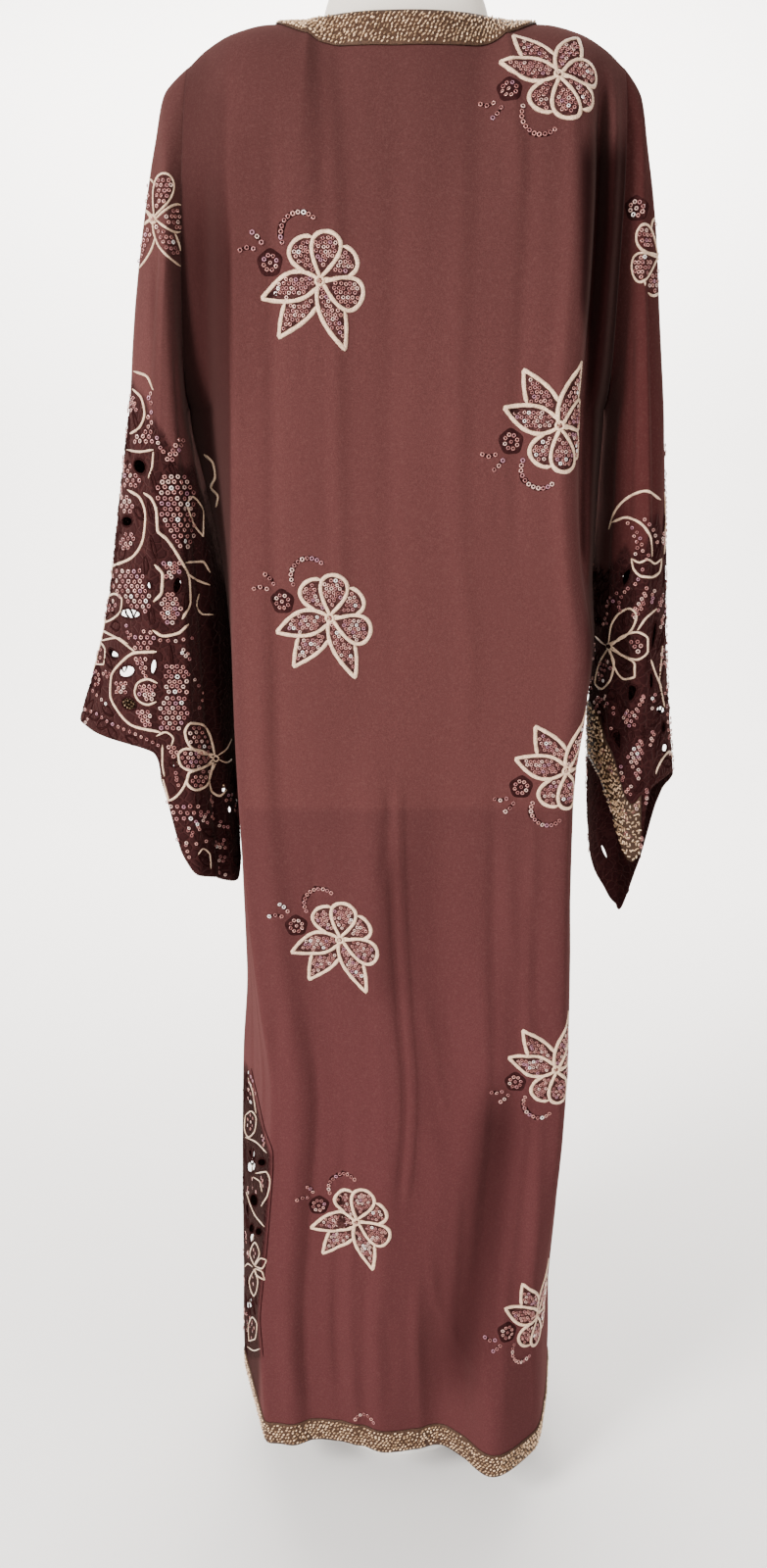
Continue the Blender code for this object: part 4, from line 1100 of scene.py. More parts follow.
def flower(kit, cloth, anchor, flip=1, turn=0.0, size=1.0, lobes=LOBES, extras=True, field=None, cream_w=0.0040, pitch=0.0040):
    """The scattered flower: rounded petals above, pointed leaves below, all filled with sequins."""
    def place(x, y):
        x, y = turned(x, y, turn)
        return x * size, y * size * flip
    over = []
    for kind, angle, length, width, bend in lobes:
        x, y = petal(length, width) if kind == "petal" else leaf(length, width, bend)
        x, y = turned(x, y, angle)
        X, Y = place(x, y)
        mx, my = place(*turned(0.55 * length, 0.0, angle))
        patch(kit["ground"], cloth, anchor, X, Y, float(mx), float(my))
        lx, ly = resample(X, Y, 0.0010)
        for rx, ry in clear_runs(lx, ly, over):
            cord(kit["cream"], cloth, anchor, rx, ry, w=cream_w * size ** 0.5, h=0.0012, field=field)
        fx, fy = fill_points(X, Y, pitch, 0.0034 * (0.9 + 0.1 * size))
        free = np.ones(len(fx), bool)
        for ox, oy in over:
            free &= inside(fx, fy, ox, oy) > 0.0032
        sequins(kit["sequin"], cloth, anchor, fx[free], fy[free], r=0.00190, field=field)
        over.append((X, Y))
    rx, ry = arc(0.0034 * size, 0, 360)
    cord(kit["cream"], cloth, anchor, *place(rx, ry), w=0.0028, h=0.0019, taper=False, field=field)
    sequins(kit["sequin"], cloth, anchor, [0.0], [0.0], r=0.0015, lift=0.0012, field=field)
    if not extras:
        return
    # curl of sequins above, rosette and sprigs to the side
    cx, cy = arc(0.0165, 205, 48)
    cx, cy = turned(cx, cy, 0, -0.0165, 0.0375)
    qx, qy = resample(cx, cy, 0.0046)
    halo(kit, cloth, anchor, *place(cx, cy), width=0.0060, field=field)
    sequins(kit["sequin"], cloth, anchor, *place(qx, qy), field=field)
    rosette(kit, cloth, anchor, *[float(v) for v in place(-0.0425, 0.0150)], field=field)
    a = np.array([[-0.0680, 0.0268], [-0.0622, 0.0282], [-0.0564, 0.0265]])
    b = np.array([[-0.0575, 0.0395], [-0.0535, 0.0359], [-0.0498, 0.0311]])
    for g in (a, b):
        halo(kit, cloth, anchor, *place(g[:, 0], g[:, 1]), width=0.0056, field=field)
        sequins(kit["sequin"], cloth, anchor, *place(g[:, 0], g[:, 1]), field=field)


def halo(kit, cloth, anchor, x, y, width=0.0055, field=None):
    cord(kit["dark"], cloth, anchor, x, y, w=width, h=0.00030, step=0.0016, ribs=0.25, field=field)


def rosette(kit, cloth, anchor, cx, cy, r=0.0060, n=8, field=None, halo_r=0.0114):
    t = np.linspace(0, 2 * math.pi, 30)
    wob = 1 + 0.06 * np.sin(5 * t + cx * 300)
    patch(kit["darkground"], cloth, anchor, cx + halo_r * wob * np.cos(t), cy + halo_r * wob * np.sin(t), cx, cy, lift=0.0003)
    a = np.linspace(0, 2 * math.pi, n + 1)[:-1] + 0.3
    sequins(kit["sequin"], cloth, anchor, cx + r * np.cos(a), cy + r * np.sin(a), r=0.0021, field=field)
    sequins(kit["sequin"], cloth, anchor, [cx], [cy], r=0.0019, field=field)


# ------------------------------------------------------------------ grids of the cloth
def body_rows(front, fine):
    """Rows of a body panel: closer together where the cut-outs are."""
    hi = UPPER_FROM + (1 - UPPER_FROM) * np.linspace(0, 1, 64 if fine else 48)
    def v_of(z):
        return (z - 0.06) / (UNDERARM_Z - 0.06) * UPPER_FROM
    a = np.linspace(0, v_of(0.110), 9)[:-1]
    b = np.linspace(v_of(0.110), v_of(0.475), 98 if fine else 44)
    c = np.linspace(v_of(0.475), UPPER_FROM, 84 if fine else 60)[1:]
    return np.concatenate([a, b, c, hi[1:]])


def body_cols(left, mid, right):
    return np.concatenate([np.linspace(-1, -0.62, left)[:-1], np.linspace(-0.62, 0.62, mid), np.linspace(0.62, 1, right)[1:]])


def grid(fn, us, vs):
    U, V = np.meshgrid(us, vs)
    return fn(U, V)


def band(u, v, points, wide):
    """1 along a line through pixels of the photograph, fading to 0 on both sides and at its ends."""
    p = np.array(points, float)
    m = np.zeros(u.shape)
    total = np.hypot(*np.diff(p, axis=0).T).sum()
    run = 0.0
    for (x0, y0), (x1, y1) in zip(p[:-1], p[1:]):
        ln = math.hypot(x1 - x0, y1 - y0)
        t = np.clip(((u - x0) * (x1 - x0) + (v - y0) * (y1 - y0)) / ln ** 2, 0, 1)
        d = np.hypot(u - x0 - t * (x1 - x0), v - y0 - t * (y1 - y0))
        along = (run + t * ln) / total
        m = np.maximum(m, np.exp(-(d / wide) ** 2) * smooth(along / 0.22) * smooth((1 - along) / 0.22))
        run += ln
    return m


# small hollows and ridges of the back: pixels of a line, half width in pixels, depth in metres
PUCKERS = [
    ([(518, 1080), (508, 1170), (495, 1250), (482, 1320), (470, 1400), (462, 1450)], 19.0, 0.0090),
    ([(548, 1160), (545, 1260), (532, 1350), (520, 1440)], 13.0, -0.0030),
    ([(440, 1120), (448, 1200), (444, 1290), (432, 1380)], 13.0, -0.0035),
    ([(327, 158), (327, 202)], 4.0, 0.0011), ([(384, 70), (382, 150)], 5.0, 0.0010), ([(515, 140), (514, 200)], 4.0, 0.0013),
    ([(534, 128), (532, 206)], 5.0, -0.0011), ([(313, 340), (312, 388)], 4.0, 0.0011), ([(417, 330), (414, 378)], 5.0, 0.0009),
    ([(328, 480), (342, 560)], 6.0, 0.0010), ([(511, 490), (508, 540)], 4.5, 0.0011), ([(470, 400), (474, 470)], 6.0, -0.0008),
    ([(390, 832), (393, 868), (390, 905)], 3.6, 0.0020), ([(399, 830), (402, 870), (398, 900)], 3.4, -0.0016),
    ([(318, 860), (322, 930), (316, 1000)], 5.0, 0.0013), ([(428, 1000), (446, 1090), (462, 1170)], 4.5, -0.0013),
    ([(452, 1010), (470, 1100), (480, 1150)], 5.5, 0.0012), ([(392, 1040), (400, 1130), (398, 1190)], 6.0, 0.0014),
    ([(350, 1300), (346, 1360), (352, 1420)], 9.0, 0.0024), ([(436, 1268), (446, 1330), (470, 1380), (505, 1420)], 4.0, -0.0018),
    ([(300, 1330), (296, 1390), (304, 1440)], 8.0, -0.0018), ([(392, 1330), (398, 1400), (394, 1450)], 8.0, 0.0018),
    ([(286, 1000), (280, 1100), (284, 1210)], 7.0, 0.0016), ([(540, 900), (546, 980), (540, 1050)], 7.0, 0.0016),
    ([(516, 850), (520, 930), (526, 1010)], 6.0, -0.0014),
]
US, VS = body_cols(35, 76, 26), body_rows(False, True)
G = grid(lambda c, v: panel(False, c, v), US, VS)
u_, v_ = project(G)
for line_, wide_, deep_ in PUCKERS:
    G[..., 1] += deep_ * band(u_, v_, line_, wide_)
back = Cloth(G, lambda P: np.broadcast_to([0.0, -1.0, 0.0], P.shape), sx=1, sy=1, us=US, vs=VS)
# painted shade: the cloth's colour is darkened where the hollows hold the deepest shade, beside the left sleeve and at
# the left shoulder, in the gap beside the right sleeve, and over the side strip low on the left
strip_hint = np.interp(v_, [1084, 1148, 1180, 1266, 1334, 1384, 1440], [253, 269, 278, 272, 266, 268, 268])
shade_b = smooth((238.0 - u_) / (12.0 - 8.0 * smooth((v_ - 160.0) / 120.0))) * (0.25 + 0.50 * smooth((v_ - 120.0) / 160.0)) * smooth((700.0 - v_) / 60.0) * smooth((v_ - 60.0) / 60.0)
shade_b = np.maximum(shade_b, 0.14 * smooth((300.0 - u_) / 60.0) * smooth((v_ - 90.0) / 80.0) * smooth((480.0 - v_) / 120.0))
shade_b = np.maximum(shade_b, 0.30 * smooth((232.0 - u_) / 34.0) * smooth((v_ - 40.0) / 40.0) * smooth((260.0 - v_) / 120.0))
shade_b = np.maximum(shade_b, 0.95 * smooth((u_ - (587.0 + 7.0 * smooth((v_ - 300.0) / 60.0))) / 11.0) * smooth((v_ - 120.0) / 50.0) * smooth((760.0 - v_) / 120.0))
shade_b = np.maximum(shade_b, 0.62 * band(u_, v_, PUCKERS[0][0], 25.0))
shade_b = np.maximum(shade_b, 0.90 * smooth((strip_hint - u_) / 5.0) * smooth((v_ - 1085.0) / 20.0))
shade_b = np.maximum(shade_b, 0.20 * band(u_, v_, [(400, 850), (402, 940), (396, 1040)], 22.0))
UF, VF = body_cols(31, 56, 22), body_rows(True, False)
fronts = Cloth(grid(lambda c, v: panel(True, c, v), UF, VF), lambda P: np.broadcast_to([0.0, 1.0, 0.0], P.shape), sx=-1, sy=1, us=UF, vs=VF)


def creased(side, f, s):
    """The sleeve's surface with its soft creases, pressed in or out along the section."""
    P = sleeve(side, f, s)
    d = np.zeros(P.shape[:-1])
    for at, width, depth, s0, s1 in SLEEVE_CREASES[side]:
        gap = (f - at + 0.5) % 1.0 - 0.5
        run = smooth((s - s0) / 0.15) * smooth((s1 + 0.12 - s) / 0.12)
        d += depth * np.exp(-(gap / width) ** 2) * run
    # none against the body, where there is no room
    d *= smooth((np.abs(f % 1.0 - 0.5) - 0.06) / 0.06)
    d *= smooth(s / 0.2)
    return P + sleeve_normal(side, f, s) * d[..., None]


def axis_out(P):
    return P - P.mean(axis=1, keepdims=True)


SF = np.linspace(0, 1, 175)[:-1]
SS = np.concatenate([np.linspace(0, 0.12, 12)[:-1], np.linspace(0.12, 0.50, 28)[:-1], np.linspace(0.50, 1.0, 107)])
GL = grid(lambda f, s: creased(-1, f, s), SF, SS)
ug, vg = project(GL)
# above the cuff the sleeve's inner edge leans on the back
GL[..., 0] += 0.0065 * smooth((ug - 216.0) / 18.0) * smooth((vg - 560.0) / 50.0) * smooth((735.0 - vg) / 50.0)
arm_l = Cloth(GL, axis_out, closed=True, sx=1, sy=-1, us=SF, vs=SS)
arm_r = Cloth(grid(lambda f, s: creased(1, f, s), SF, SS), axis_out, closed=True, sx=-1, sy=-1, us=SF, vs=SS)


for arm in (arm_l, arm_r):
    arm.lean = unit(np.array([0.0, -1.0, 0.10]))


def kit():
    k = {name: Batch() for name in ("cream", "dark", "sequin", "ground", "darkground")}
    k["dark"].low, k["dark"].step = True, 0.0018
    return k


# ------------------------------------------------------------------ cut-outs
LINE_W = 0.76                    # share of a line's named width that its stitches take


class Worked:
    """The cut-out embroidery of one piece of cloth: its holes, and what is sewn round them."""

    def __init__(self, cloth):
        self.c, self.k, self.holes, self.todo, self.marks, self.windows = cloth, kit(), [], [], [], []
        self.H = None

    def px(self, x, y):
        i, j = self.c.pixel(x, y)
        return i, j, float(np.clip(0.80 / self.c.seen_width(i, j), 1.0, 2.1))

    def uv(self, u, v):
        return self.c.index(u, v)

    def mark(self, an, x, y):
        i, j, ok = self.c.walk(an, np.asarray(x, float), np.asarray(y, float))
        if ok.any():
            self.marks.append(self.c.at(i[ok], j[ok])[0])

    def hole(self, an, x, y, edge=0.0024):
        self.mark(an, x, y)
        self.holes.append((an, np.asarray(x, float), np.asarray(y, float), edge))

    def trail(self, points, step=1.2):
        """Grid places along a line through a few pixels of the photograph."""
        p = np.array(points, float)
        t = np.concatenate([[0], np.cumsum(np.hypot(*np.diff(p, axis=0).T))])
        at = np.linspace(0, t[-1], max(int(t[-1] / step), 4))
        px_ = through(t, p[:, 0], at)
        py_ = through(t, p[:, 1], at)
        ij = np.array([self.c.pixel(a, b) for a, b in zip(px_, py_)])
        return ij[:, 0], ij[:, 1]

    def scroll(self, points, w=0.0036, mat="cream"):
        i, j = self.trail(points)
        self.mark(None, i, j)
        self.later(lambda: cord(self.k[mat], self.c, None, i, j, w=w * LINE_W, h=0.0011))

    def beads(self, points, pitch=5.2, r=0.00195):
        i, j = self.trail(points, pitch)
        self.mark(None, i, j)
        self.later(lambda: sequins(self.k["sequin"], self.c, None, i, j, r=r, field=self.field()))

    def area(self, points, pitch=6.0, margin=1.6, r=0.0023):
        """Rows of sequins inside an outline given by a few pixels of the photograph."""
        p = np.array(points, float)
        x, y = fill_points(p[:, 0], p[:, 1], pitch, margin, jitter=0.30)
        if not len(x):
            return
        ij = np.array([self.c.pixel(a, b) for a, b in zip(x, y)])
        i, j = ij[:, 0], ij[:, 1]
        self.mark(None, i, j)
        self.later(lambda: sequins(self.k["sequin"], self.c, None, i, j, r=r, field=self.field()))

    def loop(self, points, w=0.0040, beads=0.0, mat="cream"):
        """A closed petal through a few pixels, with sequins in it if beads is a pitch."""
        self.scroll(points + [points[0]], w=w, mat=mat)
        if beads:
            self.area(points, pitch=beads, margin=2.0, r=0.0020)

    def window(self, px, py, rx, ry, lean=0.0, rim=True, through_all=True):
        """A cut-out at a pixel of the photograph; it can be seen right through if it is cut in all layers."""
        self.windows.append((px, py, rx, ry, lean, through_all))
        if rim:
            t = np.linspace(0, 2 * math.pi, 26)
            a = math.radians(lean)
            x, y = rx * np.cos(t), ry * np.sin(t)
            X, Y = px + x * math.cos(a) - y * math.sin(a), py + x * math.sin(a) + y * math.cos(a)
            ij = np.array([self.c.pixel(p, q) for p, q in zip(X, Y)])
            i, j = ij[:, 0], ij[:, 1]
            self.mark(None, i, j)
            self.later(lambda: cord(self.k["dark"], self.c, None, i, j, w=0.0022, h=0.0009, taper=False, ribs=0.2))

    def fill(self, mask, tries, seed, holes=0.55):
        """Between the motifs: more cut-outs, knots of sequins and dark stitched sprigs."""
        gen = np.random.default_rng(seed)
        pts = np.concatenate(self.marks)
        n = 0
        for _ in range(tries):
            i, j = gen.uniform(0, self.c.nu - 1), gen.uniform(1, self.c.nv - 2)
            if mask[int(j), int(i)] < 0.98:
                continue
            P = self.c.at(np.array([i]), np.array([j]))[0][0]
            near = np.linalg.norm(pts - P, axis=1).min()
            kind = gen.random()
            ang = gen.uniform(0, 360)
            wide = float(np.clip(0.80 / self.c.seen_width(i, j), 1.0, 1.7)) if self.c.lean is not None else 1.0
            an = (i, j, wide)
            s_here = float(np.interp(j, np.arange(self.c.nv), self.c.vs))
            if near > 0.0105 and kind < holes and not (self.c is arm_r and s_here > 0.84):
                a, b = gen.uniform(0.0048, 0.0068), gen.uniform(0.0062, 0.0090)
                x, y = oval(a / wide ** 0.5, b, ang, pinch=0.25)
                self.hole(an, x, y)
                pts = np.concatenate([pts, self.marks[-1]])
            elif near > 0.0088 and kind < 0.86:
                x, y = leaf(0.020, 0.011, 0.1)
                x, y = turned(x, y, ang, *turned(-0.010, 0.0, ang))
                self.filled(an, x, y, pitch=0.0046, margin=0.0012)
                pts = np.concatenate([pts, self.marks[-1]]) if self.marks else pts
            elif near > 0.0072:
                x, y = leaf(gen.uniform(0.015, 0.022), 0.0080, 0.1)
                x, y = turned(x, y, ang, *turned(-0.009, 0.0, ang))
                self.line(an, x, y, w=0.0034, mat="dark")
                pts = np.concatenate([pts, self.marks[-1]])
            n += 1

    def cut(self):
        H = np.full((self.c.nv, self.c.nu), 0.02)
        for an, x, y, edge in self.holes:
            X, Y = self.c.local(an)
            near = np.hypot(X - x.mean(), Y - y.mean()) < np.hypot(x - x.mean(), y - y.mean()).max() + 0.012
            H[near] = np.minimum(H[near], inside(X[near], Y[near], x, y))
        for px, py, rx, ry, lean, through_all in self.windows:
            u, v = project(self.c.P)
            if not through_all:
                u = np.where(self.c.seen, u, -1e4)
            a = math.radians(lean)
            du, dv = u - px, v - py
            p, q = du * math.cos(a) + dv * math.sin(a), -du * math.sin(a) + dv * math.cos(a)
            H = np.minimum(H, (np.hypot(p / rx, q / ry) - 1) * min(rx, ry) * 0.00083)
        # the free edges stay whole
        H[0], H[-1] = 0.02, 0.02
        if not self.c.closed:
            H[:, 0], H[:, -1] = 0.02, 0.02
        self.H = H
        for an, x, y, edge in self.holes:
            cord(self.k["dark"], self.c, an, np.append(x, x[0]), np.append(y, y[0]), w=edge, h=0.0009, taper=False, ribs=0.2)

    def field(self, gap=0.0016):
        def on(i, j):
            c = self.c
            i = i % c.nu if c.closed else np.clip(i, 0, c.nu - 1.001)
            a, b = np.floor(i).astype(int) % c.nu, np.minimum(np.floor(j).astype(int), c.nv - 2)
            a1 = (a + 1) % c.nu if c.closed else np.minimum(a + 1, c.nu - 1)
            s, t = i - np.floor(i), j - b
            h = (self.H[b, a] * (1 - s) + self.H[b, a1] * s) * (1 - t) + (self.H[b + 1, a] * (1 - s) + self.H[b + 1, a1] * s) * t
            return h > gap
        return on

    def later(self, fn, *args, **kw):
        self.todo.append((fn, args, kw))

    def sew(self):
        for fn, args, kw in self.todo:
            fn(*args, **kw)

    # ---- motifs
    def line(self, an, x, y, w=0.0036, h=0.0011, mat="cream", over=True):
        self.mark(an, x, y)
        self.later(lambda: cord(self.k[mat], self.c, an, x, y, w=w * LINE_W, h=h, field=None if over else self.field(0.0)))

    def dots(self, an, x, y, r=0.00195):
        self.mark(an, np.atleast_1d(x), np.atleast_1d(y))
        self.later(lambda: sequins(self.k["sequin"], self.c, an, x, y, r=r, field=self.field()))

    def row(self, an, x, y, pitch=0.0051):
        qx, qy = resample(x, y, pitch)
        self.dots(an, qx, qy)

    def ground(self, an, x, y):
        cx, cy = float(np.mean(x)), float(np.mean(y))
        self.later(lambda: patch(self.k["darkground"], self.c, an, x, y, cx, cy, lift=0.00025))

    def filled(self, an, x, y, pitch=0.0047, margin=0.0026):
        gx, gy = fill_points(x, y, pitch + 0.0005, margin)
        if len(gx):
            self.dots(an, gx, gy)

    def sprig(self, an, length, width, angle, ox=0.0, oy=0.0, pitch=0.0052, outline=False):
        x, y = leaf(length, width, 0.08)
        x, y = turned(x, y, angle, ox, oy)
        self.ground(an, x, y)
        gx, gy = fill_points(x, y, pitch, 0.0016)
        if len(gx):
            self.dots(an, gx, gy)
        if outline:
            self.line(an, x, y, w=0.0034)

    def crescent(self, an, r, a0, a1, fat=0.30, ox=0.0, oy=0.0, rx=1.0, beads=True, w=0.0040):
        """Two arcs that meet at their ends, with sequins between them."""
        t = np.radians(np.linspace(a0, a1, 40))
        bulge = np.sin(np.linspace(0, math.pi, 40))
        x1, y1 = ox + rx * r * np.cos(t), oy + r * np.sin(t)
        k = 1 - fat * bulge
        x2, y2 = ox + rx * r * k * np.cos(t), oy + r * k * np.sin(t)
        self.line(an, x1, y1, w=w)
        if fat > 0:
            self.line(an, x2, y2, w=w * 0.8)
        if beads:
            m = (1 + k) / 2
            self.row(an, (ox + rx * r * m * np.cos(t))[6:-6], (oy + r * m * np.sin(t))[6:-6])

    def wheel(self, an, rx, ry, gaps, ring=(0, 360), hub=0.36, spoke_pitch=0.0044, outer=True, inner=0.46, rim=0.86):
        """A ring with a hub, sequined spokes, and see-through gaps between them."""
        for a0, a1 in gaps:
            t = np.radians(np.linspace(a0, a1, 12))
            m0, m1 = inner, rim
            x = np.concatenate([rx * m1 * np.cos(t), rx * m0 * np.cos(t[::-1])])
            y = np.concatenate([ry * m1 * np.sin(t), ry * m0 * np.sin(t[::-1])])
            # round the corners a little
            x, y = (x + np.roll(x, 1) + np.roll(x, -1)) / 3, (y + np.roll(y, 1) + np.roll(y, -1)) / 3
            self.hole(an, x, y)
        x, y = arc(1.0, ring[0], ring[1], n=70)
        if outer:
            self.line(an, rx * x, ry * y, w=0.0042)
        x, y = arc(1.0, ring[0] + 8, ring[0] + min(ring[1] - ring[0], 352), n=40)
        self.line(an, rx * hub * x, ry * hub * y, w=0.0034)
        hx, hy = fill_points(rx * hub * np.cos(SEQ_RING), ry * hub * np.sin(SEQ_RING), spoke_pitch, 0.0034)
        self.dots(an, hx, hy)
        used = sorted(gaps)
        spokes = []
        for k in range(len(used)):
            a0 = used[k][1]
            a1 = used[(k + 1) % len(used)][0] + (360 if k == len(used) - 1 else 0)
            spokes.append((a0, a1))
        if not used:
            spokes = [(ring[0], ring[1])]
        for a0, a1 in spokes:
            t = np.radians(np.linspace(a0 + 3, a1 - 3, 14))
            x = np.concatenate([rx * 0.93 * np.cos(t), rx * 0.44 * np.cos(t[::-1])])
            y = np.concatenate([ry * 0.93 * np.sin(t), ry * 0.44 * np.sin(t[::-1])])
            gx, gy = fill_points(x, y, spoke_pitch + 0.0009, 0.0022)
            self.dots(an, gx, gy)

    def bloom(self, an, petals, w=0.0038, beads=(), heart=0.0030):
        """An open flower of looped petals, some with sequins in them."""
        for n, (angle, length, width) in enumerate(petals):
            x, y = petal(length, width)
            x, y = turned(x, y, angle)
            self.line(an, x, y, w=w)
            if n in beads:
                gx, gy = fill_points(x, y, 0.0043, 0.0042)
                self.dots(an, gx, gy)
        x, y = arc(heart, 0, 360, n=24)
        self.line(an, x, y, w=0.0026)

    def rose(self, an, ox=0.0, oy=0.0):
        self.mark(an, np.array([ox]), np.array([oy]))
        self.later(lambda: rosette(self.k, self.c, an, ox, oy, field=self.field()))


SEQ_RING = np.linspace(0, 2 * math.pi, 30)[:-1]


def oval(rx, ry, deg=0.0, ox=0.0, oy=0.0, n=18, pinch=0.0):
    t = np.linspace(0, 2 * math.pi, n + 1)[:-1]
    return turned(rx * np.cos(t) * (1 + pinch * np.cos(t)), ry * np.sin(t) * (1 - pinch * np.cos(t)), deg, ox, oy)


# ------------------------------------------------------------------ where the cut-out work lies
def wavy(t, k):
    return 0.5 + 0.5 * np.sin(k + 7.3 * t) * np.sin(1.7 * k + 3.1 * t)


f_, s_ = np.meshgrid(SF, SS)
def share_at(arm, px_, py_):
    i, j = arm.pixel(px_, py_)
    return i / arm.nu, float(np.interp(j, np.arange(len(SS)), SS))


def round_edge(arm, seen, far):
    """Share along the sleeve where the cut-out work starts, all round, from a few places that show."""
    at = sorted(share_at(arm, *p) for p in seen)
    fs = np.array([a[0] for a in at] + [0.5 * (at[-1][0] + 1.0) + 0.5 * at[0][0]])
    ss = np.array([a[1] for a in at] + [far])
    fs, ss = np.concatenate([fs - 1, fs, fs + 1]), np.tile(ss, 3)
    order = np.argsort(fs)
    return np.interp(f_, fs[order], ss[order])


edge_l = round_edge(arm_l, ((134, 384), (152, 404), (172, 456), (196, 474), (212, 478)), 0.50) + 0.010 * np.sin(2 * math.pi * f_ * 7) + 0.005 * np.sin(2 * math.pi * f_ * 17 + 1)
worked_l = smooth((s_ - edge_l) / 0.018)
edge_r = round_edge(arm_r, ((616, 575), (640, 560), (664, 530), (676, 515)), 0.54) + 0.010 * np.sin(2 * math.pi * f_ * 7 + 2) + 0.006 * np.sin(2 * math.pi * f_ * 17)
worked_r = smooth((s_ - edge_r) / 0.018)


def worked_side(cloth, wide):
    x = cloth.Lu[:, cloth.off:cloth.off + cloth.nu]
    z = cloth.P[..., 2]
    edge = wide * (1 + 0.10 * np.sin(z * 60) + 0.06 * np.sin(z * 143 + 1))
    return smooth((edge - x) / 0.006) * smooth((z - 0.122) / 0.010) * smooth((0.478 - z) / 0.012)


strip_edge = np.interp(v_, [1084, 1099, 1148, 1180, 1245, 1266, 1300, 1334, 1352, 1384], [253, 258, 269, 278, 274, 272, 269, 266, 265, 268])
worked_b = smooth((strip_edge - u_) / 4.0) * smooth((v_ - 1084.0) / 6.0) * smooth((1388.0 - v_) / 6.0) * (v_ > 1080)
worked_f = worked_side(fronts, 0.130)

# painted shade: the sleeves' cloth is darkened where shade falls, most of all on their inner sides beside the body and
# along the crease between the left sleeve and the back
ul, vl = project(arm_l.P)
shade_l = 0.40 * smooth((ul - (199.0 + 0.020 * (vl - 450.0))) / 9.0) * smooth((vl - 350.0) / 110.0) * smooth((905.0 - vl) / 30.0)
painted_shade_edge_l = np.interp(vl, [440, 475, 525, 581, 640, 700, 760, 820, 900], [200, 203, 206, 210, 207, 212, 220, 233, 236])
shade_l = np.maximum(shade_l, 0.95 * smooth((ul - painted_shade_edge_l) / 9.0) * smooth((vl - 385.0) / 55.0) * smooth((905.0 - vl) / 30.0))
shade_l = np.maximum(shade_l, 0.62 * band(ul, vl, [(187, 150), (188, 250), (190, 340), (198, 440), (204, 500)], 5.0))
shade_l = np.maximum(shade_l, 0.30 * smooth((170.0 - ul) / 12.0) * smooth((ul - 150.0) / 8.0) * smooth((vl - 250.0) / 60.0))
ur, vr = project(arm_r.P)
shade_r = (0.35 + 0.64 * smooth((vr - 320.0) / 70.0)) * smooth((613.0 - ur) / 6.0) * smooth((vr - 110.0) / 60.0) * smooth((745.0 - vr) / 50.0)
shade_r = np.maximum(shade_r, 0.08 * smooth((650.0 - ur) / 22.0) * smooth((ur - 622.0) / 6.0) * smooth((vr - 120.0) / 80.0) * smooth((520.0 - vr) / 120.0))

# ------------------------------------------------------------------ left sleeve
def well_hidden(W, a, gap=0.046):
    """Is this place of the sleeve far enough round from what the photograph shows?"""
    p = W.c.at(np.array([float(np.ravel(a[0])[0])]), np.array([float(np.ravel(a[1])[0])]))[0][0]
    return np.linalg.norm(W.c.P[W.c.seen] - p, axis=-1).min() > gap


L = Worked(arm_l)
# the outer strip, from the top
L.scroll([(137, 379), (150, 384), (157, 398)], w=0.0032)
L.scroll([(136, 397), (145, 407), (148, 422), (143, 436), (133, 443)], w=0.0035)
L.area([(148, 387), (157, 402), (157, 455), (138, 456), (136, 447), (149, 438), (152, 415)], pitch=5.6, margin=1.0)
L.scroll([(130, 459), (142, 461), (157, 459)], w=0.0030)
L.window(143, 476, 6.0, 8.0, -20, through_all=False)
L.scroll([(157, 461), (156, 475), (152, 488)], w=0.0027)
L.area([(126, 471), (137, 474), (147, 497), (128, 500)], pitch=5.6, margin=1.0)
L.scroll([(131, 500), (143, 508), (149, 526), (147, 548), (136, 568), (112, 579)], w=0.0038)
L.area([(123, 506), (134, 503), (141, 516), (136, 525), (124, 521)], pitch=5.2, margin=1.0)
L.area([(126, 541), (139, 543), (138, 561), (122, 563)], pitch=5.2, margin=1.0)
L.window(130, 532, 5.5, 5.5, 10, through_all=False)
L.area([(112, 582), (146, 578), (155, 600), (153, 626), (136, 622), (117, 603)], pitch=5.8, margin=0.4)
L.window(153, 597, 2.6, 4.0, 0)
L.window(133, 626, 10.5, 5.4, 6)
L.scroll([(108, 611), (117, 606), (125, 612), (124, 622), (113, 633), (103, 636)], w=0.0030)
L.area([(104, 634), (108, 613), (118, 609), (123, 620)], pitch=5.0, margin=0.8)
L.scroll([(102, 642), (121, 652), (138, 665)], w=0.0030)
L.scroll([(103, 654), (119, 651), (131, 657)], w=0.0027)
L.area([(133, 652), (148, 640), (162, 645), (153, 664), (140, 665)], pitch=6.0, margin=1.0)
L.loop([(94, 662), (101, 655), (108, 664), (106, 678), (97, 678)], w=0.0027, beads=4.8)
L.scroll([(160, 665), (139, 666), (124, 676), (114, 691), (113, 708), (121, 726), (137, 741), (164, 747)], w=0.0038)
L.scroll([(161, 697), (151, 693), (141, 697), (138, 706), (142, 715), (151, 719), (160, 716)], w=0.0031)
L.area([(141, 700), (150, 696), (160, 700), (160, 713), (150, 716), (142, 711)], pitch=4.8, margin=0.8)
L.area([(137, 669), (150, 668), (154, 690), (146, 691)], pitch=5.0, margin=0.8)
L.area([(117, 693), (132, 697), (132, 707), (118, 710)], pitch=5.0, margin=0.8)
L.area([(139, 724), (152, 722), (159, 743), (146, 742)], pitch=5.0, margin=0.8)
L.window(130, 685, 8.2, 6.2, -20)
L.window(157, 680, 3.2, 8.0, 8)
L.window(132, 718, 8.2, 6.2, 25)
L.rose(L.px(99, 692))
L.beads([(96, 705), (103, 712), (109, 718)], pitch=5.6)
L.beads([(88, 724), (99, 728), (112, 737), (130, 745), (146, 752), (162, 760)], pitch=5.8)
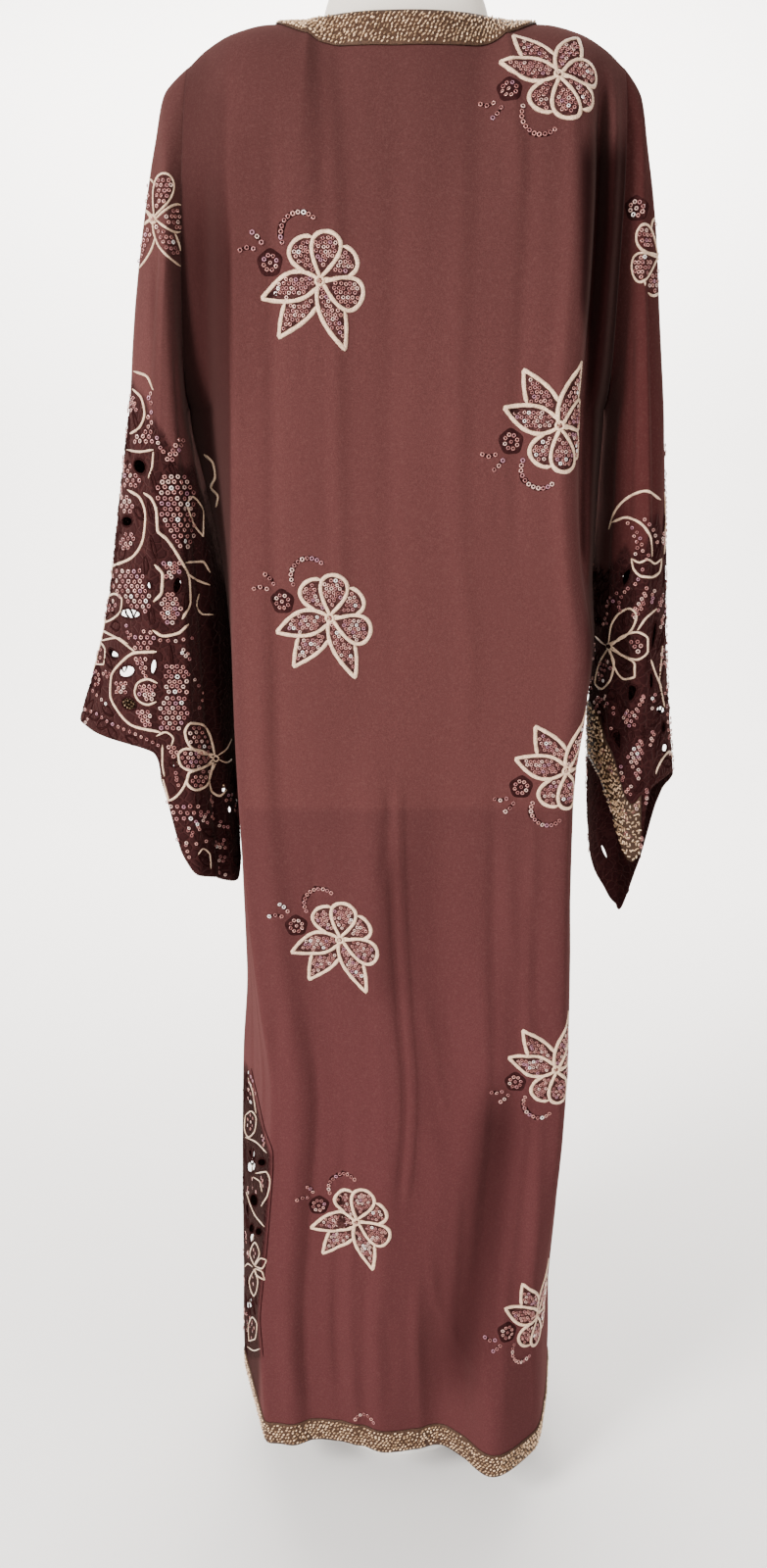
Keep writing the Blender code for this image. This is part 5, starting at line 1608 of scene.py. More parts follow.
# the near face
L.beads([(161, 447), (163, 455), (167, 461)], pitch=5.8)
L.area([(168, 473), (170, 462), (180, 445), (188, 449), (185, 463), (175, 473)], pitch=5.4, margin=0.4)
L.area([(159, 495), (171, 481), (191, 481), (201, 498), (198, 520), (200, 549), (188, 562), (172, 550), (165, 530)], pitch=6.3, margin=0.8)
L.scroll([(147, 503), (155, 509), (160, 523), (161, 541), (170, 550), (184, 571), (193, 592), (194, 613), (186, 632)], w=0.0038)
L.loop([(190, 514), (196, 507), (207, 524), (207, 547), (197, 534)], w=0.0025)
L.scroll([(189, 574), (206, 573), (214, 584)], w=0.0030)
L.scroll([(190, 585), (201, 592), (214, 597)], w=0.0030)
L.window(181, 597, 4.4, 8.5, 8, through_all=False)
L.scroll([(158, 576), (166, 587), (165, 604), (157, 614)], w=0.0038)
L.area([(165, 572), (183, 570), (185, 590), (170, 592)], pitch=5.2, margin=0.2)
L.area([(163, 608), (178, 602), (187, 622), (176, 639), (164, 634)], pitch=5.4, margin=0.2)
L.scroll([(156, 643), (167, 649), (182, 646), (192, 637)], w=0.0037)
L.beads([(164, 653), (176, 654), (195, 651)], pitch=5.6)
L.scroll([(203, 606), (200, 617), (208, 627), (217, 627)], w=0.0024)
L.area([(168, 676), (190, 675), (192, 706), (167, 707)], pitch=5.8, margin=0.2)
L.area([(162, 713), (188, 707), (194, 728), (188, 742), (163, 746)], pitch=5.8, margin=0.2)
L.beads([(192, 688), (201, 697), (206, 710), (203, 722)], pitch=6.0)
L.scroll([(160, 751), (169, 747), (177, 754), (175, 761)], w=0.0027)
L.area([(170, 762), (179, 758), (184, 769), (174, 774)], pitch=5.2, margin=0.4)
L.scroll([(166, 760), (166, 779), (168, 792)], w=0.0027)
L.loop([(219, 770), (214, 750), (205, 739), (195, 738), (189, 747), (193, 760), (206, 769)], w=0.0035, beads=5.4)
L.loop([(218, 774), (205, 766), (190, 764), (182, 770), (184, 780), (195, 786), (208, 783)], w=0.0035, beads=5.0)
L.loop([(218, 778), (205, 784), (193, 789), (191, 798), (200, 806), (210, 802)], w=0.0035, beads=5.4)
L.scroll([(220, 779), (213, 794), (215, 806), (224, 812), (231, 806)], w=0.0032)
L.scroll([(222, 771), (231, 764), (236, 754)], w=0.0021)
L.scroll([(223, 775), (231, 778), (238, 773)], w=0.0021)
L.scroll([(217, 774), (220, 771), (223, 774), (220, 777), (217, 774)], w=0.0025)
L.window(178, 779, 5.5, 3.6, 10)
L.window(228, 804, 2.3, 5.0, 6)
L.window(234, 826, 1.9, 3.8, 0)
L.scroll([(166, 819), (177, 815), (187, 804), (192, 793)], w=0.0033)
L.area([(171, 821), (204, 817), (206, 829), (190, 842), (172, 834)], pitch=6.8, margin=0.6)
L.beads([(200, 838), (203, 846)], pitch=6.0)
L.beads([(172, 853), (184, 857), (196, 861), (210, 858)], pitch=7.0)
L.scroll([(202, 872), (207, 866), (214, 872), (215, 886)], w=0.0020)
# round the underside and on the front side, where the photograph doesn't show it
for f, s, kind in ((0.42, 0.66, 0), (0.47, 0.80, 1), (0.58, 0.62, 2), (0.66, 0.74, 3), (0.80, 0.70, 3), (0.90, 0.60, 2),
                   (0.72, 0.90, 3), (0.86, 0.86, 1), (0.60, 0.88, 0), (0.94, 0.80, 0), (0.52, 0.92, 2)):
    a = L.uv(f, s)
    if not well_hidden(L, a):
        continue
    if kind == 3:
        L.wheel(a, 0.037, 0.037, [(20, 66), (110, 156), (200, 246), (290, 336)], ring=(0, 360))
    elif kind == 0:
        L.bloom(a, [(80, 0.030, 0.022), (150, 0.032, 0.022), (222, 0.030, 0.022), (296, 0.032, 0.022), (10, 0.030, 0.022)], beads=(0, 2, 3))
    elif kind == 1:
        L.crescent(a, 0.030, 30, 200, fat=0.30)
        L.sprig(a, 0.030, 0.016, 250, 0.0, 0.006)
        L.hole(a, *oval(0.0070, 0.0100, 30, 0.006, 0.000))
    else:
        L.sprig(a, 0.040, 0.018, 70, 0.0, -0.010)
        L.sprig(a, 0.030, 0.015, 150, 0.0, -0.012, outline=True)
        L.hole(a, *oval(0.0080, 0.0060, 10, 0.016, -0.014))

# ------------------------------------------------------------------ right sleeve
R = Worked(arm_r)
R.scroll([(622, 540), (629, 520), (644, 506), (659, 501), (674, 510)], w=0.0034)
R.scroll([(625, 533), (639, 528), (654, 534), (664, 550), (665, 568)], w=0.0033)
R.beads([(641, 534), (649, 541), (654, 551), (656, 562)])
R.beads([(648, 547), (651, 556), (649, 565)])
R.beads([(658, 530), (666, 541), (670, 553)])
R.scroll([(645, 570), (647, 580), (655, 588), (664, 589), (673, 583), (675, 570)], w=0.0033)
R.scroll([(645, 570), (653, 574), (661, 571), (668, 575), (675, 570)], w=0.0028)
R.dots(R.px(658, 577), [-0.004, 0.004, 0.009], [0.000, 0.002, 0.001])
R.dots(R.px(650, 594), [-0.002, 0.003], [0.0, 0.0])
R.filled(R.px(654, 616), *oval(0.0170, 0.0100, 6), pitch=0.0047)
R.row(R.px(640, 612), *arc(0.010, 80, 220), pitch=0.0048)
R.loop([(622, 657), (624, 640), (632, 626), (643, 621), (650, 628), (646, 641), (634, 652)], w=0.0030)
R.loop([(624, 659), (636, 649), (650, 645), (661, 652), (661, 664), (650, 673), (636, 669)], w=0.0030)
R.area([(643, 651), (656, 650), (657, 664), (646, 667)], pitch=5.4, margin=0.4)
R.loop([(623, 662), (636, 669), (648, 678), (648, 690), (638, 693), (628, 682)], w=0.0030)
R.loop([(621, 662), (627, 676), (624, 692), (614, 703), (608, 697), (612, 678)], w=0.0030)
R.scroll([(620, 659), (614, 655), (608, 649)], w=0.0028)
R.scroll([(619, 660), (622, 656), (625, 660), (622, 663), (619, 660)], w=0.0023)
R.scroll([(651, 643), (660, 630), (670, 621)], w=0.0029)
R.scroll([(664, 673), (669, 688), (675, 702)], w=0.0029)
R.hole(R.px(667, 648), *oval(0.0050, 0.0110, -20))
R.hole(R.px(664, 694), *oval(0.0045, 0.0100, 20))
R.filled(R.px(656, 712), *oval(0.0090, 0.0070, 0), pitch=0.0046)
R.sprig(R.px(646, 733), 0.034, 0.022, 30, -0.016, -0.008)
R.dots(R.px(626, 725), [0.0, 0.001], [0.003, -0.002])
R.dots(R.px(624, 746), [0.0, 0.001], [0.003, -0.002])
R.sprig(R.px(651, 770), 0.034, 0.026, -35, -0.014, 0.010)
R.sprig(R.px(650, 788), 0.020, 0.012, -70, -0.002, 0.006)
R.hole(R.px(630, 752), *oval(0.0070, 0.0100, -40, pinch=0.3))
R.hole(R.px(677, 742), *oval(0.0040, 0.0060, 10))
R.window(674, 724, 4.2, 4.2, 0)
R.window(678, 763, 2.8, 4.6, 8)
R.line(R.px(675, 690), *turned([0.004, -0.006, 0.004], [0.030, 0.0, -0.034], 0), w=0.0029)
R.row(R.px(681, 660), [0.0, 0.001], [0.030, -0.030], pitch=0.0090)
R.crescent(R.px(676, 540), 0.030, -70, 60, fat=0.25, rx=0.7)
R.row(R.px(681, 750), [0.0, 0.001], [0.030, -0.020], pitch=0.0080)
R.crescent(R.px(681, 782), 0.014, 20, 170, fat=0.0, beads=False, w=0.0034)
for f, s, kind in ((0.08, 0.66, 3), (0.04, 0.84, 0), (0.96, 0.60, 2), (0.88, 0.72, 3), (0.78, 0.62, 1), (0.70, 0.76, 3),
                   (0.60, 0.64, 0), (0.80, 0.86, 0), (0.62, 0.84, 2), (0.50, 0.72, 1), (0.92, 0.86, 2), (0.56, 0.92, 1), (0.74, 0.95, 2)):
    a = R.uv(f, s)
    if not well_hidden(R, a, 0.030):
        continue
    if kind == 3:
        R.wheel(a, 0.036, 0.036, [(20, 66), (110, 156), (200, 246), (290, 336)], ring=(0, 360))
    elif kind == 0:
        R.bloom(a, [(80, 0.030, 0.022), (150, 0.032, 0.022), (222, 0.030, 0.022), (296, 0.032, 0.022), (10, 0.030, 0.022)], beads=(0, 2, 3))
    elif kind == 1:
        R.crescent(a, 0.028, 30, 200, fat=0.30)
        R.sprig(a, 0.028, 0.016, 250, 0.0, 0.006)
        R.hole(a, *oval(0.0070, 0.0100, 30, 0.006, 0.000))
    else:
        R.sprig(a, 0.036, 0.018, 70, 0.0, -0.010)
        R.sprig(a, 0.028, 0.015, 150, 0.0, -0.012, outline=True)
        R.hole(a, *oval(0.0080, 0.0060, 10, 0.016, -0.014))

# ------------------------------------------------------------------ cut-out strip down the left side
B = Worked(back)
F = Worked(fronts)
F.k["cream"].step = 0.0018


def side_place(W, front, z, out):
    """A place on the side strip: height, and distance along the cloth from the side seam."""
    v = (z - hem_z(front, -1.0)) / (UNDERARM_Z - hem_z(front, -1.0)) * UPPER_FROM
    i, j = W.c.index(-1.0, float(v))
    i2, j2, _ = W.c.walk((i, j), np.array([out * W.c.sx]), np.array([0.0]))
    return float(i2[0]), float(j2[0])


for W, front in ((F, True),):
    def at(z, out):
        i, j = side_place(W, front, z, out)
        return i, j, 1.0
    W.sprig(at(0.462, 0.022), 0.030, 0.014, 90, 0.0, -0.014)
    W.rose(at(0.430, 0.026))
    W.row(at(0.405, 0.050), [0.0, 0.003], [0.020, -0.024], pitch=0.0050)
    W.bloom(at(0.384, 0.030), [(60, 0.020, 0.014), (130, 0.020, 0.014), (200, 0.018, 0.014), (285, 0.022, 0.014)], w=0.0034)
    W.hole(at(0.346, 0.026), *oval(0.0062, 0.0100, 10, pinch=0.2))
    W.line(at(0.362, 0.046), *turned([-0.018, 0.0, 0.020], [0.006, 0.0, -0.008], 0), w=0.0036)
    W.line(at(0.330, 0.050), *petal(0.026, 0.013), w=0.0034)
    W.hole(at(0.312, 0.022), *oval(0.0060, 0.0100, -14, pinch=0.2))
    W.crescent(at(0.305, 0.040), 0.020, 190, 330, fat=0.0, w=0.0036)
    W.sprig(at(0.300, 0.056), 0.026, 0.014, -70, 0.0, 0.010)
    W.hole(at(0.276, 0.050), *oval(0.0045, 0.0075, 20))
    W.bloom(at(0.246, 0.036), [(86, 0.032, 0.014), (132, 0.022, 0.013), (198, 0.020, 0.013), (262, 0.030, 0.013), (322, 0.022, 0.013), (30, 0.020, 0.013)],
            w=0.0034, beads=(0, 3))
    W.hole(at(0.272, 0.018), *oval(0.0050, 0.0080, 30))
    W.hole(at(0.212, 0.022), *oval(0.0060, 0.0110, -16, pinch=0.2))
    W.hole(at(0.206, 0.052), *oval(0.0045, 0.0080, 16))
    W.sprig(at(0.190, 0.036), 0.030, 0.014, -90, 0.0, 0.012)
    W.crescent(at(0.160, 0.032), 0.018, 200, 380, fat=0.3, w=0.0034)
    W.rose(at(0.146, 0.050))
    if front:
        # the same work goes on across the side of the front
        for z, out, kind in ((0.440, 0.090, 0), (0.350, 0.094, 3), (0.250, 0.094, 0), (0.165, 0.092, 2)):
            a = at(z, out)
            if kind == 3:
                W.wheel(a, 0.034, 0.034, [(20, 66), (110, 156), (200, 246), (290, 336)], ring=(0, 360))
            elif kind == 0:
                W.bloom(a, [(80, 0.030, 0.020), (150, 0.030, 0.020), (222, 0.030, 0.020), (296, 0.030, 0.020), (10, 0.030, 0.020)], beads=(0, 2, 3))
            else:
                W.sprig(a, 0.036, 0.018, 70, 0.0, -0.010)
                W.sprig(a, 0.028, 0.015, 150, 0.0, -0.012, outline=True)

# the part of the strip that shows beside the back
B.area([(251.9, 1089.6), (259.1, 1093.6), (263.9, 1118.5), (256.7, 1129.8), (251.9, 1120.1)], pitch=5.0, margin=0.6)
B.loop([(251.1, 1137.8), (256.7, 1133.8), (262.3, 1141.8), (260.7, 1153.8), (254.3, 1160.3), (250.2, 1150.6)], w=0.0022, beads=4.2)
B.scroll([(251.1, 1160.3), (261.5, 1165.1), (272.7, 1176.3)], w=0.0022)
B.scroll([(261.5, 1197.2), (271.9, 1195.6), (275.9, 1205.2), (273.5, 1218.8), (267.1, 1230.9)], w=0.0022)
B.scroll([(251.9, 1216.4), (259.9, 1238.1), (270.3, 1251.7)], w=0.0022)
B.area([(256.7, 1198.8), (260.7, 1202), (263.1, 1218), (256.7, 1216.4)], pitch=5.0, margin=0.4)
B.loop([(259.9, 1291.1), (255.9, 1279), (260.7, 1267.8), (265.5, 1279)], w=0.0021, beads=4.2)
B.loop([(260.7, 1291.9), (267.1, 1283.9), (271.9, 1285.5), (267.1, 1294.3)], w=0.0021)
B.loop([(260.7, 1294.3), (267.9, 1297.5), (270.3, 1305.5), (263.1, 1301.5)], w=0.0021)
B.loop([(259.9, 1295.1), (255.1, 1307.9), (259.9, 1322.4), (263.9, 1307.9)], w=0.0021, beads=4.2)
B.scroll([(258.3, 1292.7), (253.5, 1289.5), (250.2, 1292.7)], w=0.0021)
B.area([(251.1, 1338.4), (258.3, 1336), (259.9, 1356.1), (252.7, 1358.5)], pitch=5.0, margin=0.4)
B.scroll([(257, 1090), (264, 1120), (270, 1148), (279, 1180), (275, 1245), (273, 1270), (269, 1310), (266, 1345), (269, 1384)], w=0.0016, mat="dark")
B.scroll([(254, 1100), (259, 1116), (262, 1136)], w=0.0018)
B.scroll([(259, 1201), (266, 1206), (268, 1216)], w=0.0018)
B.loop([(254, 1352), (258, 1344), (263, 1352), (261, 1366), (255, 1368)], w=0.0019, beads=4.0)
B.scroll([(253, 1374), (260, 1378), (266, 1376)], w=0.0018)
B.window(259.9, 1224.5, 4.0, 6.5, -8, through_all=False)
B.window(267.9, 1185.9, 4.2, 4.2, 20, through_all=False)
B.window(264.7, 1256.6, 3.4, 4.2, 0, through_all=False)
B.window(257.5, 1253.4, 2.6, 5.0, 0, through_all=False)
# the edge of a flower of the side shows between the sleeve and the back
B.scroll([(209, 464), (218, 473), (220, 486), (216, 497), (223, 507), (221, 517)], w=0.0046)

L.fill(worked_l * (1.0 - (ul > 191.0) * (vl > 420.0) * (vl < 790.0)), 5200, 5)
R.fill(worked_r, 4600, 6, holes=0.42)
B.fill(worked_b, 1700, 7, holes=0.50)
F.fill(worked_f, 3000, 8)
for px_, py_, rx_, ry_ in ((257, 1190, 4.2, 6.4), (257.5, 1263, 2.8, 5.0), (255.5, 1330, 2.8, 5.8)):
    B.window(px_, py_, rx_, ry_, 10)
    F.window(px_, py_, rx_ + 1.0, ry_ + 1.0, 10, rim=False)
for W in (L, R, B, F):
    W.cut()

# ------------------------------------------------------------------ scattered flowers
# as they show on the sleeves, the first ones above
SLEEVE_LOBES = [
    ("petal", 88, 0.0430, 0.0250, 0.00), ("petal", 24, 0.0400, 0.0270, 0.00), ("leaf", -28, 0.0560, 0.0210, 0.05),
    ("petal", 132, 0.0380, 0.0250, 0.00), ("leaf", -92, 0.0500, 0.0200, -0.08), ("petal", 190, 0.0340, 0.0240, 0.00),
]
RIGHT_LOBES = [
    ("petal", 140, 0.0380, 0.0250, 0.00), ("petal", 200, 0.0400, 0.0280, 0.00), ("petal", 90, 0.0360, 0.0240, 0.00),
    ("petal", 250, 0.0360, 0.0250, 0.00), ("leaf", 40, 0.0500, 0.0210, 0.05), ("leaf", -40, 0.0520, 0.0200, -0.06),
]
LEFT_COLUMN = ((-0.074, 1.281), (-0.069, 0.996), (-0.063, 0.679), (-0.049, 0.355))
RIGHT_COLUMN = ((0.122, 1.436), (0.134, 1.164), (0.153, 0.852), (0.156, 0.536), (0.147, 0.238))


def by_xz(cloth, x, z, front):
    """The place on a panel at a width and height, on its outer face."""
    d = np.hypot(cloth.P[..., 0] - x, cloth.P[..., 2] - z)
    j, i = np.unravel_index(np.argmin(d), d.shape)
    return float(i), float(j)


def px_of(x, z, y):
    u, v = project(np.array([x, y + SET_BACK, z]))
    return float(u), float(v)


for x, z in LEFT_COLUMN:
    flower(B.k, back, back.pixel(*px_of(x, z, -0.13)), field=B.field())
for n, (x, z) in enumerate(RIGHT_COLUMN):
    flower(B.k, back, back.pixel(*px_of(x, z, -0.13)), flip=-1, turn=(0, 2, -2, 0, 10)[n], size=0.92 if n == 4 else 1.0, field=B.field())
# only the tip of one shows above the hem band
a = back.pixel(373, 1452)
qx, qy = arc(0.0120, 160, 30)
sequins(B.k["sequin"], back, a, *resample(qx, qy, 0.0049))
for c, v in ((-0.36, 0.885), (-0.38, 0.640), (-0.40, 0.420), (-0.34, 0.215)):
    flower(F.k, fronts, fronts.index(c, v), field=F.field(), pitch=0.0046)
for c, v in ((0.50, 0.790), (0.48, 0.545), (0.50, 0.325), (0.46, 0.130)):
    flower(F.k, fronts, fronts.index(c, v), flip=-1, field=F.field(), pitch=0.0046)
L.later(lambda: flower(L.k, Seen(arm_l, 0.72), (157, 224), turn=-22, lobes=SLEEVE_LOBES, extras=False, cream_w=0.0022, pitch=0.0052))
R.later(lambda: flower(R.k, Seen(arm_r, 0.60), (672, 262), turn=0, lobes=RIGHT_LOBES, extras=False, cream_w=0.0025, pitch=0.0050))
R.later(lambda: rosette(R.k, Seen(arm_r, 0.9), (650, 213), 0.0, 0.0))
for W in (L, R, B, F):
    W.sew()


# ------------------------------------------------------------------ materials
class Look:
    """A node material built up step by step."""

    def __init__(self, name, rough, metal=0.0, sheen=0.0, spec=0.5, tint=(1, 1, 1), sheen_rough=0.4, coat=0.0):
        self.m = bpy.data.materials.new(name)
        self.m.use_nodes = True
        self.t = self.m.node_tree
        self.b = self.t.nodes["Principled BSDF"]
        self.set("Roughness", rough)
        self.set("Metallic", metal)
        self.set("Specular IOR Level", spec)
        if sheen:
            self.set("Sheen Weight", sheen)
            self.set("Sheen Roughness", sheen_rough)
            self.set("Sheen Tint", (*tint, 1.0))
        if coat:
            self.set("Coat Weight", coat)
            self.set("Coat Roughness", 0.15)
        self.co = self.t.nodes.new("ShaderNodeTexCoord").outputs["Object"]

    def set(self, socket, value):
        self.b.inputs[socket].default_value = value

    def link(self, a, b):
        self.t.links.new(a, b)

    def noise(self, scale, detail=2.0, rough=0.5, stretch=None):
        n = self.t.nodes.new("ShaderNodeTexNoise")
        n.inputs["Scale"].default_value = scale
        n.inputs["Detail"].default_value = detail
        n.inputs["Roughness"].default_value = rough
        if stretch:
            mp = self.t.nodes.new("ShaderNodeMapping")
            mp.inputs["Scale"].default_value = stretch
            self.link(self.co, mp.inputs["Vector"])
            self.link(mp.outputs["Vector"], n.inputs["Vector"])
        else:
            self.link(self.co, n.inputs["Vector"])
        return n.outputs["Fac"]

    def wave(self, scale, axis="X", distort=0.0, kind="BANDS"):
        n = self.t.nodes.new("ShaderNodeTexWave")
        n.wave_type = kind
        n.bands_direction = axis
        n.inputs["Scale"].default_value = scale
        n.inputs["Distortion"].default_value = distort
        self.link(self.co, n.inputs["Vector"])
        return n.outputs["Fac"]

    def span(self, fac, a, b, lo=0.0, hi=1.0, smooth_it=True):
        n = self.t.nodes.new("ShaderNodeMapRange")
        n.interpolation_type = "SMOOTHSTEP" if smooth_it else "LINEAR"
        n.inputs["From Min"].default_value = a
        n.inputs["From Max"].default_value = b
        n.inputs["To Min"].default_value = lo
        n.inputs["To Max"].default_value = hi
        self.link(fac, n.inputs["Value"])
        return n.outputs["Result"]

    def math(self, op, a, b):
        n = self.t.nodes.new("ShaderNodeMath")
        n.operation = op
        for k, v in enumerate((a, b)):
            if isinstance(v, (int, float)):
                n.inputs[k].default_value = v
            else:
                self.link(v, n.inputs[k])
        return n.outputs[0]

    def mix(self, fac, a, b, how="MIX"):
        n = self.t.nodes.new("ShaderNodeMix")
        n.data_type = "RGBA"
        n.blend_type = how
        if isinstance(fac, (int, float)):
            n.inputs[0].default_value = fac
        else:
            self.link(fac, n.inputs[0])
        for k, v in ((6, a), (7, b)):
            if isinstance(v, tuple):
                n.inputs[k].default_value = (*v, 1.0)
            else:
                self.link(v, n.inputs[k])
        return n.outputs[2]

    def axes(self):
        n = self.t.nodes.new("ShaderNodeSeparateXYZ")
        self.link(self.co, n.inputs[0])
        return n.outputs[0], n.outputs[1], n.outputs[2]

    def attribute(self, name):
        n = self.t.nodes.new("ShaderNodeAttribute")
        n.attribute_name = name
        return n.outputs["Fac"]

    def island(self):
        return self.t.nodes.new("ShaderNodeNewGeometry").outputs["Random Per Island"]

    def colour(self, out):
        self.link(out, self.b.inputs["Base Color"])
        return self

    def roughness(self, out):
        self.link(out, self.b.inputs["Roughness"])
        return self

    def bump(self, height, strength, distance):
        n = self.t.nodes.new("ShaderNodeBump")
        n.inputs["Strength"].default_value = strength
        n.inputs["Distance"].default_value = distance
        self.link(height, n.inputs["Height"])
        if self.b.inputs["Normal"].is_linked:
            self.link(self.b.inputs["Normal"].links[0].from_socket, n.inputs["Normal"])
        self.link(n.outputs["Normal"], self.b.inputs["Normal"])
        return self


def crepe(name, base, wine_and_light, over_form=True, lace=False):
    """Brown-maroon crepe: a fine pebbled grain, slow changes of tone, a soft sheen."""
    k = Look(name, 0.60, sheen=0.05, spec=0.0, tint=(1.0, 0.62, 0.56), sheen_rough=0.45)
    x, y, z = k.axes()
    slow = k.span(k.noise(3.2, 3.0, 0.55, (1.0, 1.0, 0.45)), 0.32, 0.70)
    grain = k.noise(1150.0, 2.0, 0.6)
    speck = k.noise(420.0, 2.0, 0.5)
    c = k.mix(slow, base, tuple(v * 1.16 for v in base))
    # towards the hem a redder wine tone, partly a painted lightening of the lower cloth
    low = k.span(z, 1.02, 0.40)
    c = k.mix(k.math("MULTIPLY", low, 0.80), c, wine_and_light)
    # darker and browner towards the top
    c = k.mix(k.math("MULTIPLY", k.span(z, 1.10, 1.42), 0.85), c, tuple(v * f for v, f in zip(base, (0.84, 0.90, 0.88))))
    if over_form:
        # the pale form behind the thin cloth lightens it
        near = k.math("MULTIPLY", k.span(z, FORM_LOW_Z - 0.004, FORM_LOW_Z + 0.006),
                      k.math("MULTIPLY", k.span(x, -0.160, -0.146), k.span(x, 0.160, 0.142)))
        edge = k.math("MULTIPLY", near, k.math("ADD", 0.45, k.math("MULTIPLY", k.span(z, 1.45, 0.80), 0.55)))
        c = k.mix(k.math("MULTIPLY", edge, 0.42), c, tuple(min(v * s, 1.0) for v, s in zip(base, (1.45, 1.40, 1.36))))
    c = k.mix(k.span(grain, 0.30, 0.72, 0.0, 0.34), c, (0.0140, 0.0046, 0.0046))
    c = k.mix(k.span(speck, 0.45, 0.75, 0.0, 0.05), c, (0.21, 0.11, 0.095))
    # painted shade: the shade attribute darkens the colour where shade falls
    c = k.mix(k.math("MULTIPLY", k.attribute("shade"), 0.90), c, (0.0058, 0.0012, 0.0013))
    if lace:
        e = k.attribute("worked")
        c = k.mix(k.math("MULTIPLY", e, 0.80), c, (0.0130, 0.0040, 0.0044))
        ridge = k.wave(330.0, "Z", 3.0)
        c = k.mix(k.math("MULTIPLY", k.math("MULTIPLY", e, k.span(ridge, 0.2, 0.8)), 0.30), c, (0.0075, 0.0026, 0.0030))
        k.roughness(k.math("SUBTRACT", k.span(slow, 0.0, 1.0, 0.56, 0.62), k.math("MULTIPLY", e, 0.14)))
        cell = k.t.nodes.new("ShaderNodeTexVoronoi")
        cell.feature = "DISTANCE_TO_EDGE"
        cell.inputs["Scale"].default_value = 118.0
        k.link(k.co, cell.inputs["Vector"])
        rib = k.span(cell.outputs["Distance"], 0.02, 0.16)
        c = k.mix(k.math("MULTIPLY", k.math("SUBTRACT", 1.0, rib), k.math("MULTIPLY", e, 0.50)), c, (0.036, 0.012, 0.0115))
        # painted shade again, over the worked parts too
        c = k.mix(k.math("MULTIPLY", k.math("MULTIPLY", k.attribute("shade"), e), 0.72), c, (0.0030, 0.0008, 0.0009))
        k.bump(k.math("MULTIPLY", rib, e), 0.9, 0.0012)
    else:
        k.roughness(k.span(slow, 0.0, 1.0, 0.53, 0.61))
    k.colour(c)
    k.bump(grain, 0.42, 0.00040)
    k.bump(k.noise(60.0, 3.0, 0.55), 0.16, 0.0012)
    return k.m


def thread(name, a, b, rough=0.42, sheen=0.25, scale=900.0, spread=0.5, spec=0.55):
    """Satin stitch: fine glossy thread, its tone changing from stitch to stitch."""
    k = Look(name, rough, sheen=sheen, spec=spec, tint=(1.0, 0.95, 0.85), sheen_rough=0.35)
    f = k.span(k.noise(scale, 2.0, 0.6, (1.0, 1.0, 1.0)), 0.3, 0.7)
    g = k.span(k.noise(55.0, 2.0, 0.5), 0.3, 0.7)
    c = k.mix(f, a, b)
    c = k.mix(k.math("MULTIPLY", g, spread), c, tuple(v * 0.70 for v in a))
    k.colour(c)
    k.bump(k.noise(1600.0, 2.0, 0.6), 0.35, 0.00035)
    return k.m


def sequin_look(name):
    k = Look(name, 0.24, metal=0.45, spec=0.60, coat=0.2)
    i = k.island()
    ramp = k.t.nodes.new("ShaderNodeValToRGB")
    ramp.color_ramp.interpolation = "CONSTANT"
    # the near-white last stop is a painted highlight: a few sequins are coloured near white as glints
    stops = ((0.0, (0.40, 0.165, 0.145)), (0.22, (0.25, 0.090, 0.085)), (0.44, (0.52, 0.255, 0.220)), (0.62, (0.33, 0.130, 0.130)),
             (0.76, (0.66, 0.430, 0.370)), (0.90, (0.34, 0.150, 0.200)), (0.965, (1.0, 0.92, 0.88)))
    cr = ramp.color_ramp
    while len(cr.elements) < len(stops):
        cr.elements.new(0.5)
    for el, (at, col) in zip(cr.elements, stops):
        el.position = at
        el.color = (*col, 1.0)
    k.link(i, ramp.inputs["Fac"])
    k.colour(k.mix(k.span(k.noise(700.0), 0.35, 0.7, 0.0, 0.15), ramp.outputs["Color"], (0.35, 0.14, 0.13)))
    k.roughness(k.span(i, 0.0, 1.0, 0.16, 0.30))
    return k.m


def grain_look(name):
    """The light gold floats of the woven braid."""
    k = Look(name, 0.34, metal=0.25, sheen=0.2, spec=0.6, tint=(1.0, 0.9, 0.7))
    i = k.island()
    c = k.mix(k.span(i, 0.0, 0.35), (0.20, 0.112, 0.056), (0.48, 0.300, 0.165))
    c = k.mix(k.span(i, 0.35, 1.0), c, (0.94, 0.66, 0.42))
    c = k.mix(k.span(k.noise(1500.0), 0.35, 0.75, 0.0, 0.35), c, (0.20, 0.11, 0.05))
    k.colour(c)
    k.roughness(k.span(i, 0.0, 1.0, 0.30, 0.48))
    return k.m


def braid_ground(name, dark=1.0):
    k = Look(name, 0.66, sheen=0.0, spec=0.15, tint=(1.0, 0.85, 0.7))
    n = k.noise(700.0, 3.0, 0.6)
    c = k.mix(k.span(n, 0.3, 0.7), tuple(v * dark for v in (0.022, 0.0098, 0.0060)), tuple(v * dark for v in (0.066, 0.0335, 0.0190)))
    k.colour(c)
    k.bump(n, 0.5, 0.0006)
    return k.m


def jersey(name):
    k = Look(name, 0.72, sheen=0.25, spec=0.25, tint=(1.0, 0.97, 0.92))
    n = k.noise(900.0, 2.0, 0.6)
    s = k.noise(6.0, 3.0, 0.5)
    c = k.mix(k.span(s, 0.3, 0.7), (0.70, 0.64, 0.56), (0.78, 0.72, 0.64))
    c = k.mix(k.span(n, 0.4, 0.8, 0.0, 0.18), c, (0.52, 0.46, 0.40))
    k.colour(c)
    k.bump(k.wave(1500.0, "Z"), 0.12, 0.0002)
    k.bump(n, 0.18, 0.0002)
    return k.m


def steel(name):
    k = Look(name, 0.30, metal=1.0, spec=0.5)
    n = k.noise(260.0, 3.0, 0.6, (1.0, 1.0, 0.03))
    k.colour(k.mix(k.span(n, 0.3, 0.7), (0.46, 0.46, 0.47), (0.62, 0.62, 0.63)))
    k.roughness(k.span(n, 0.3, 0.7, 0.24, 0.38))
    k.bump(n, 0.08, 0.0001)
    return k.m


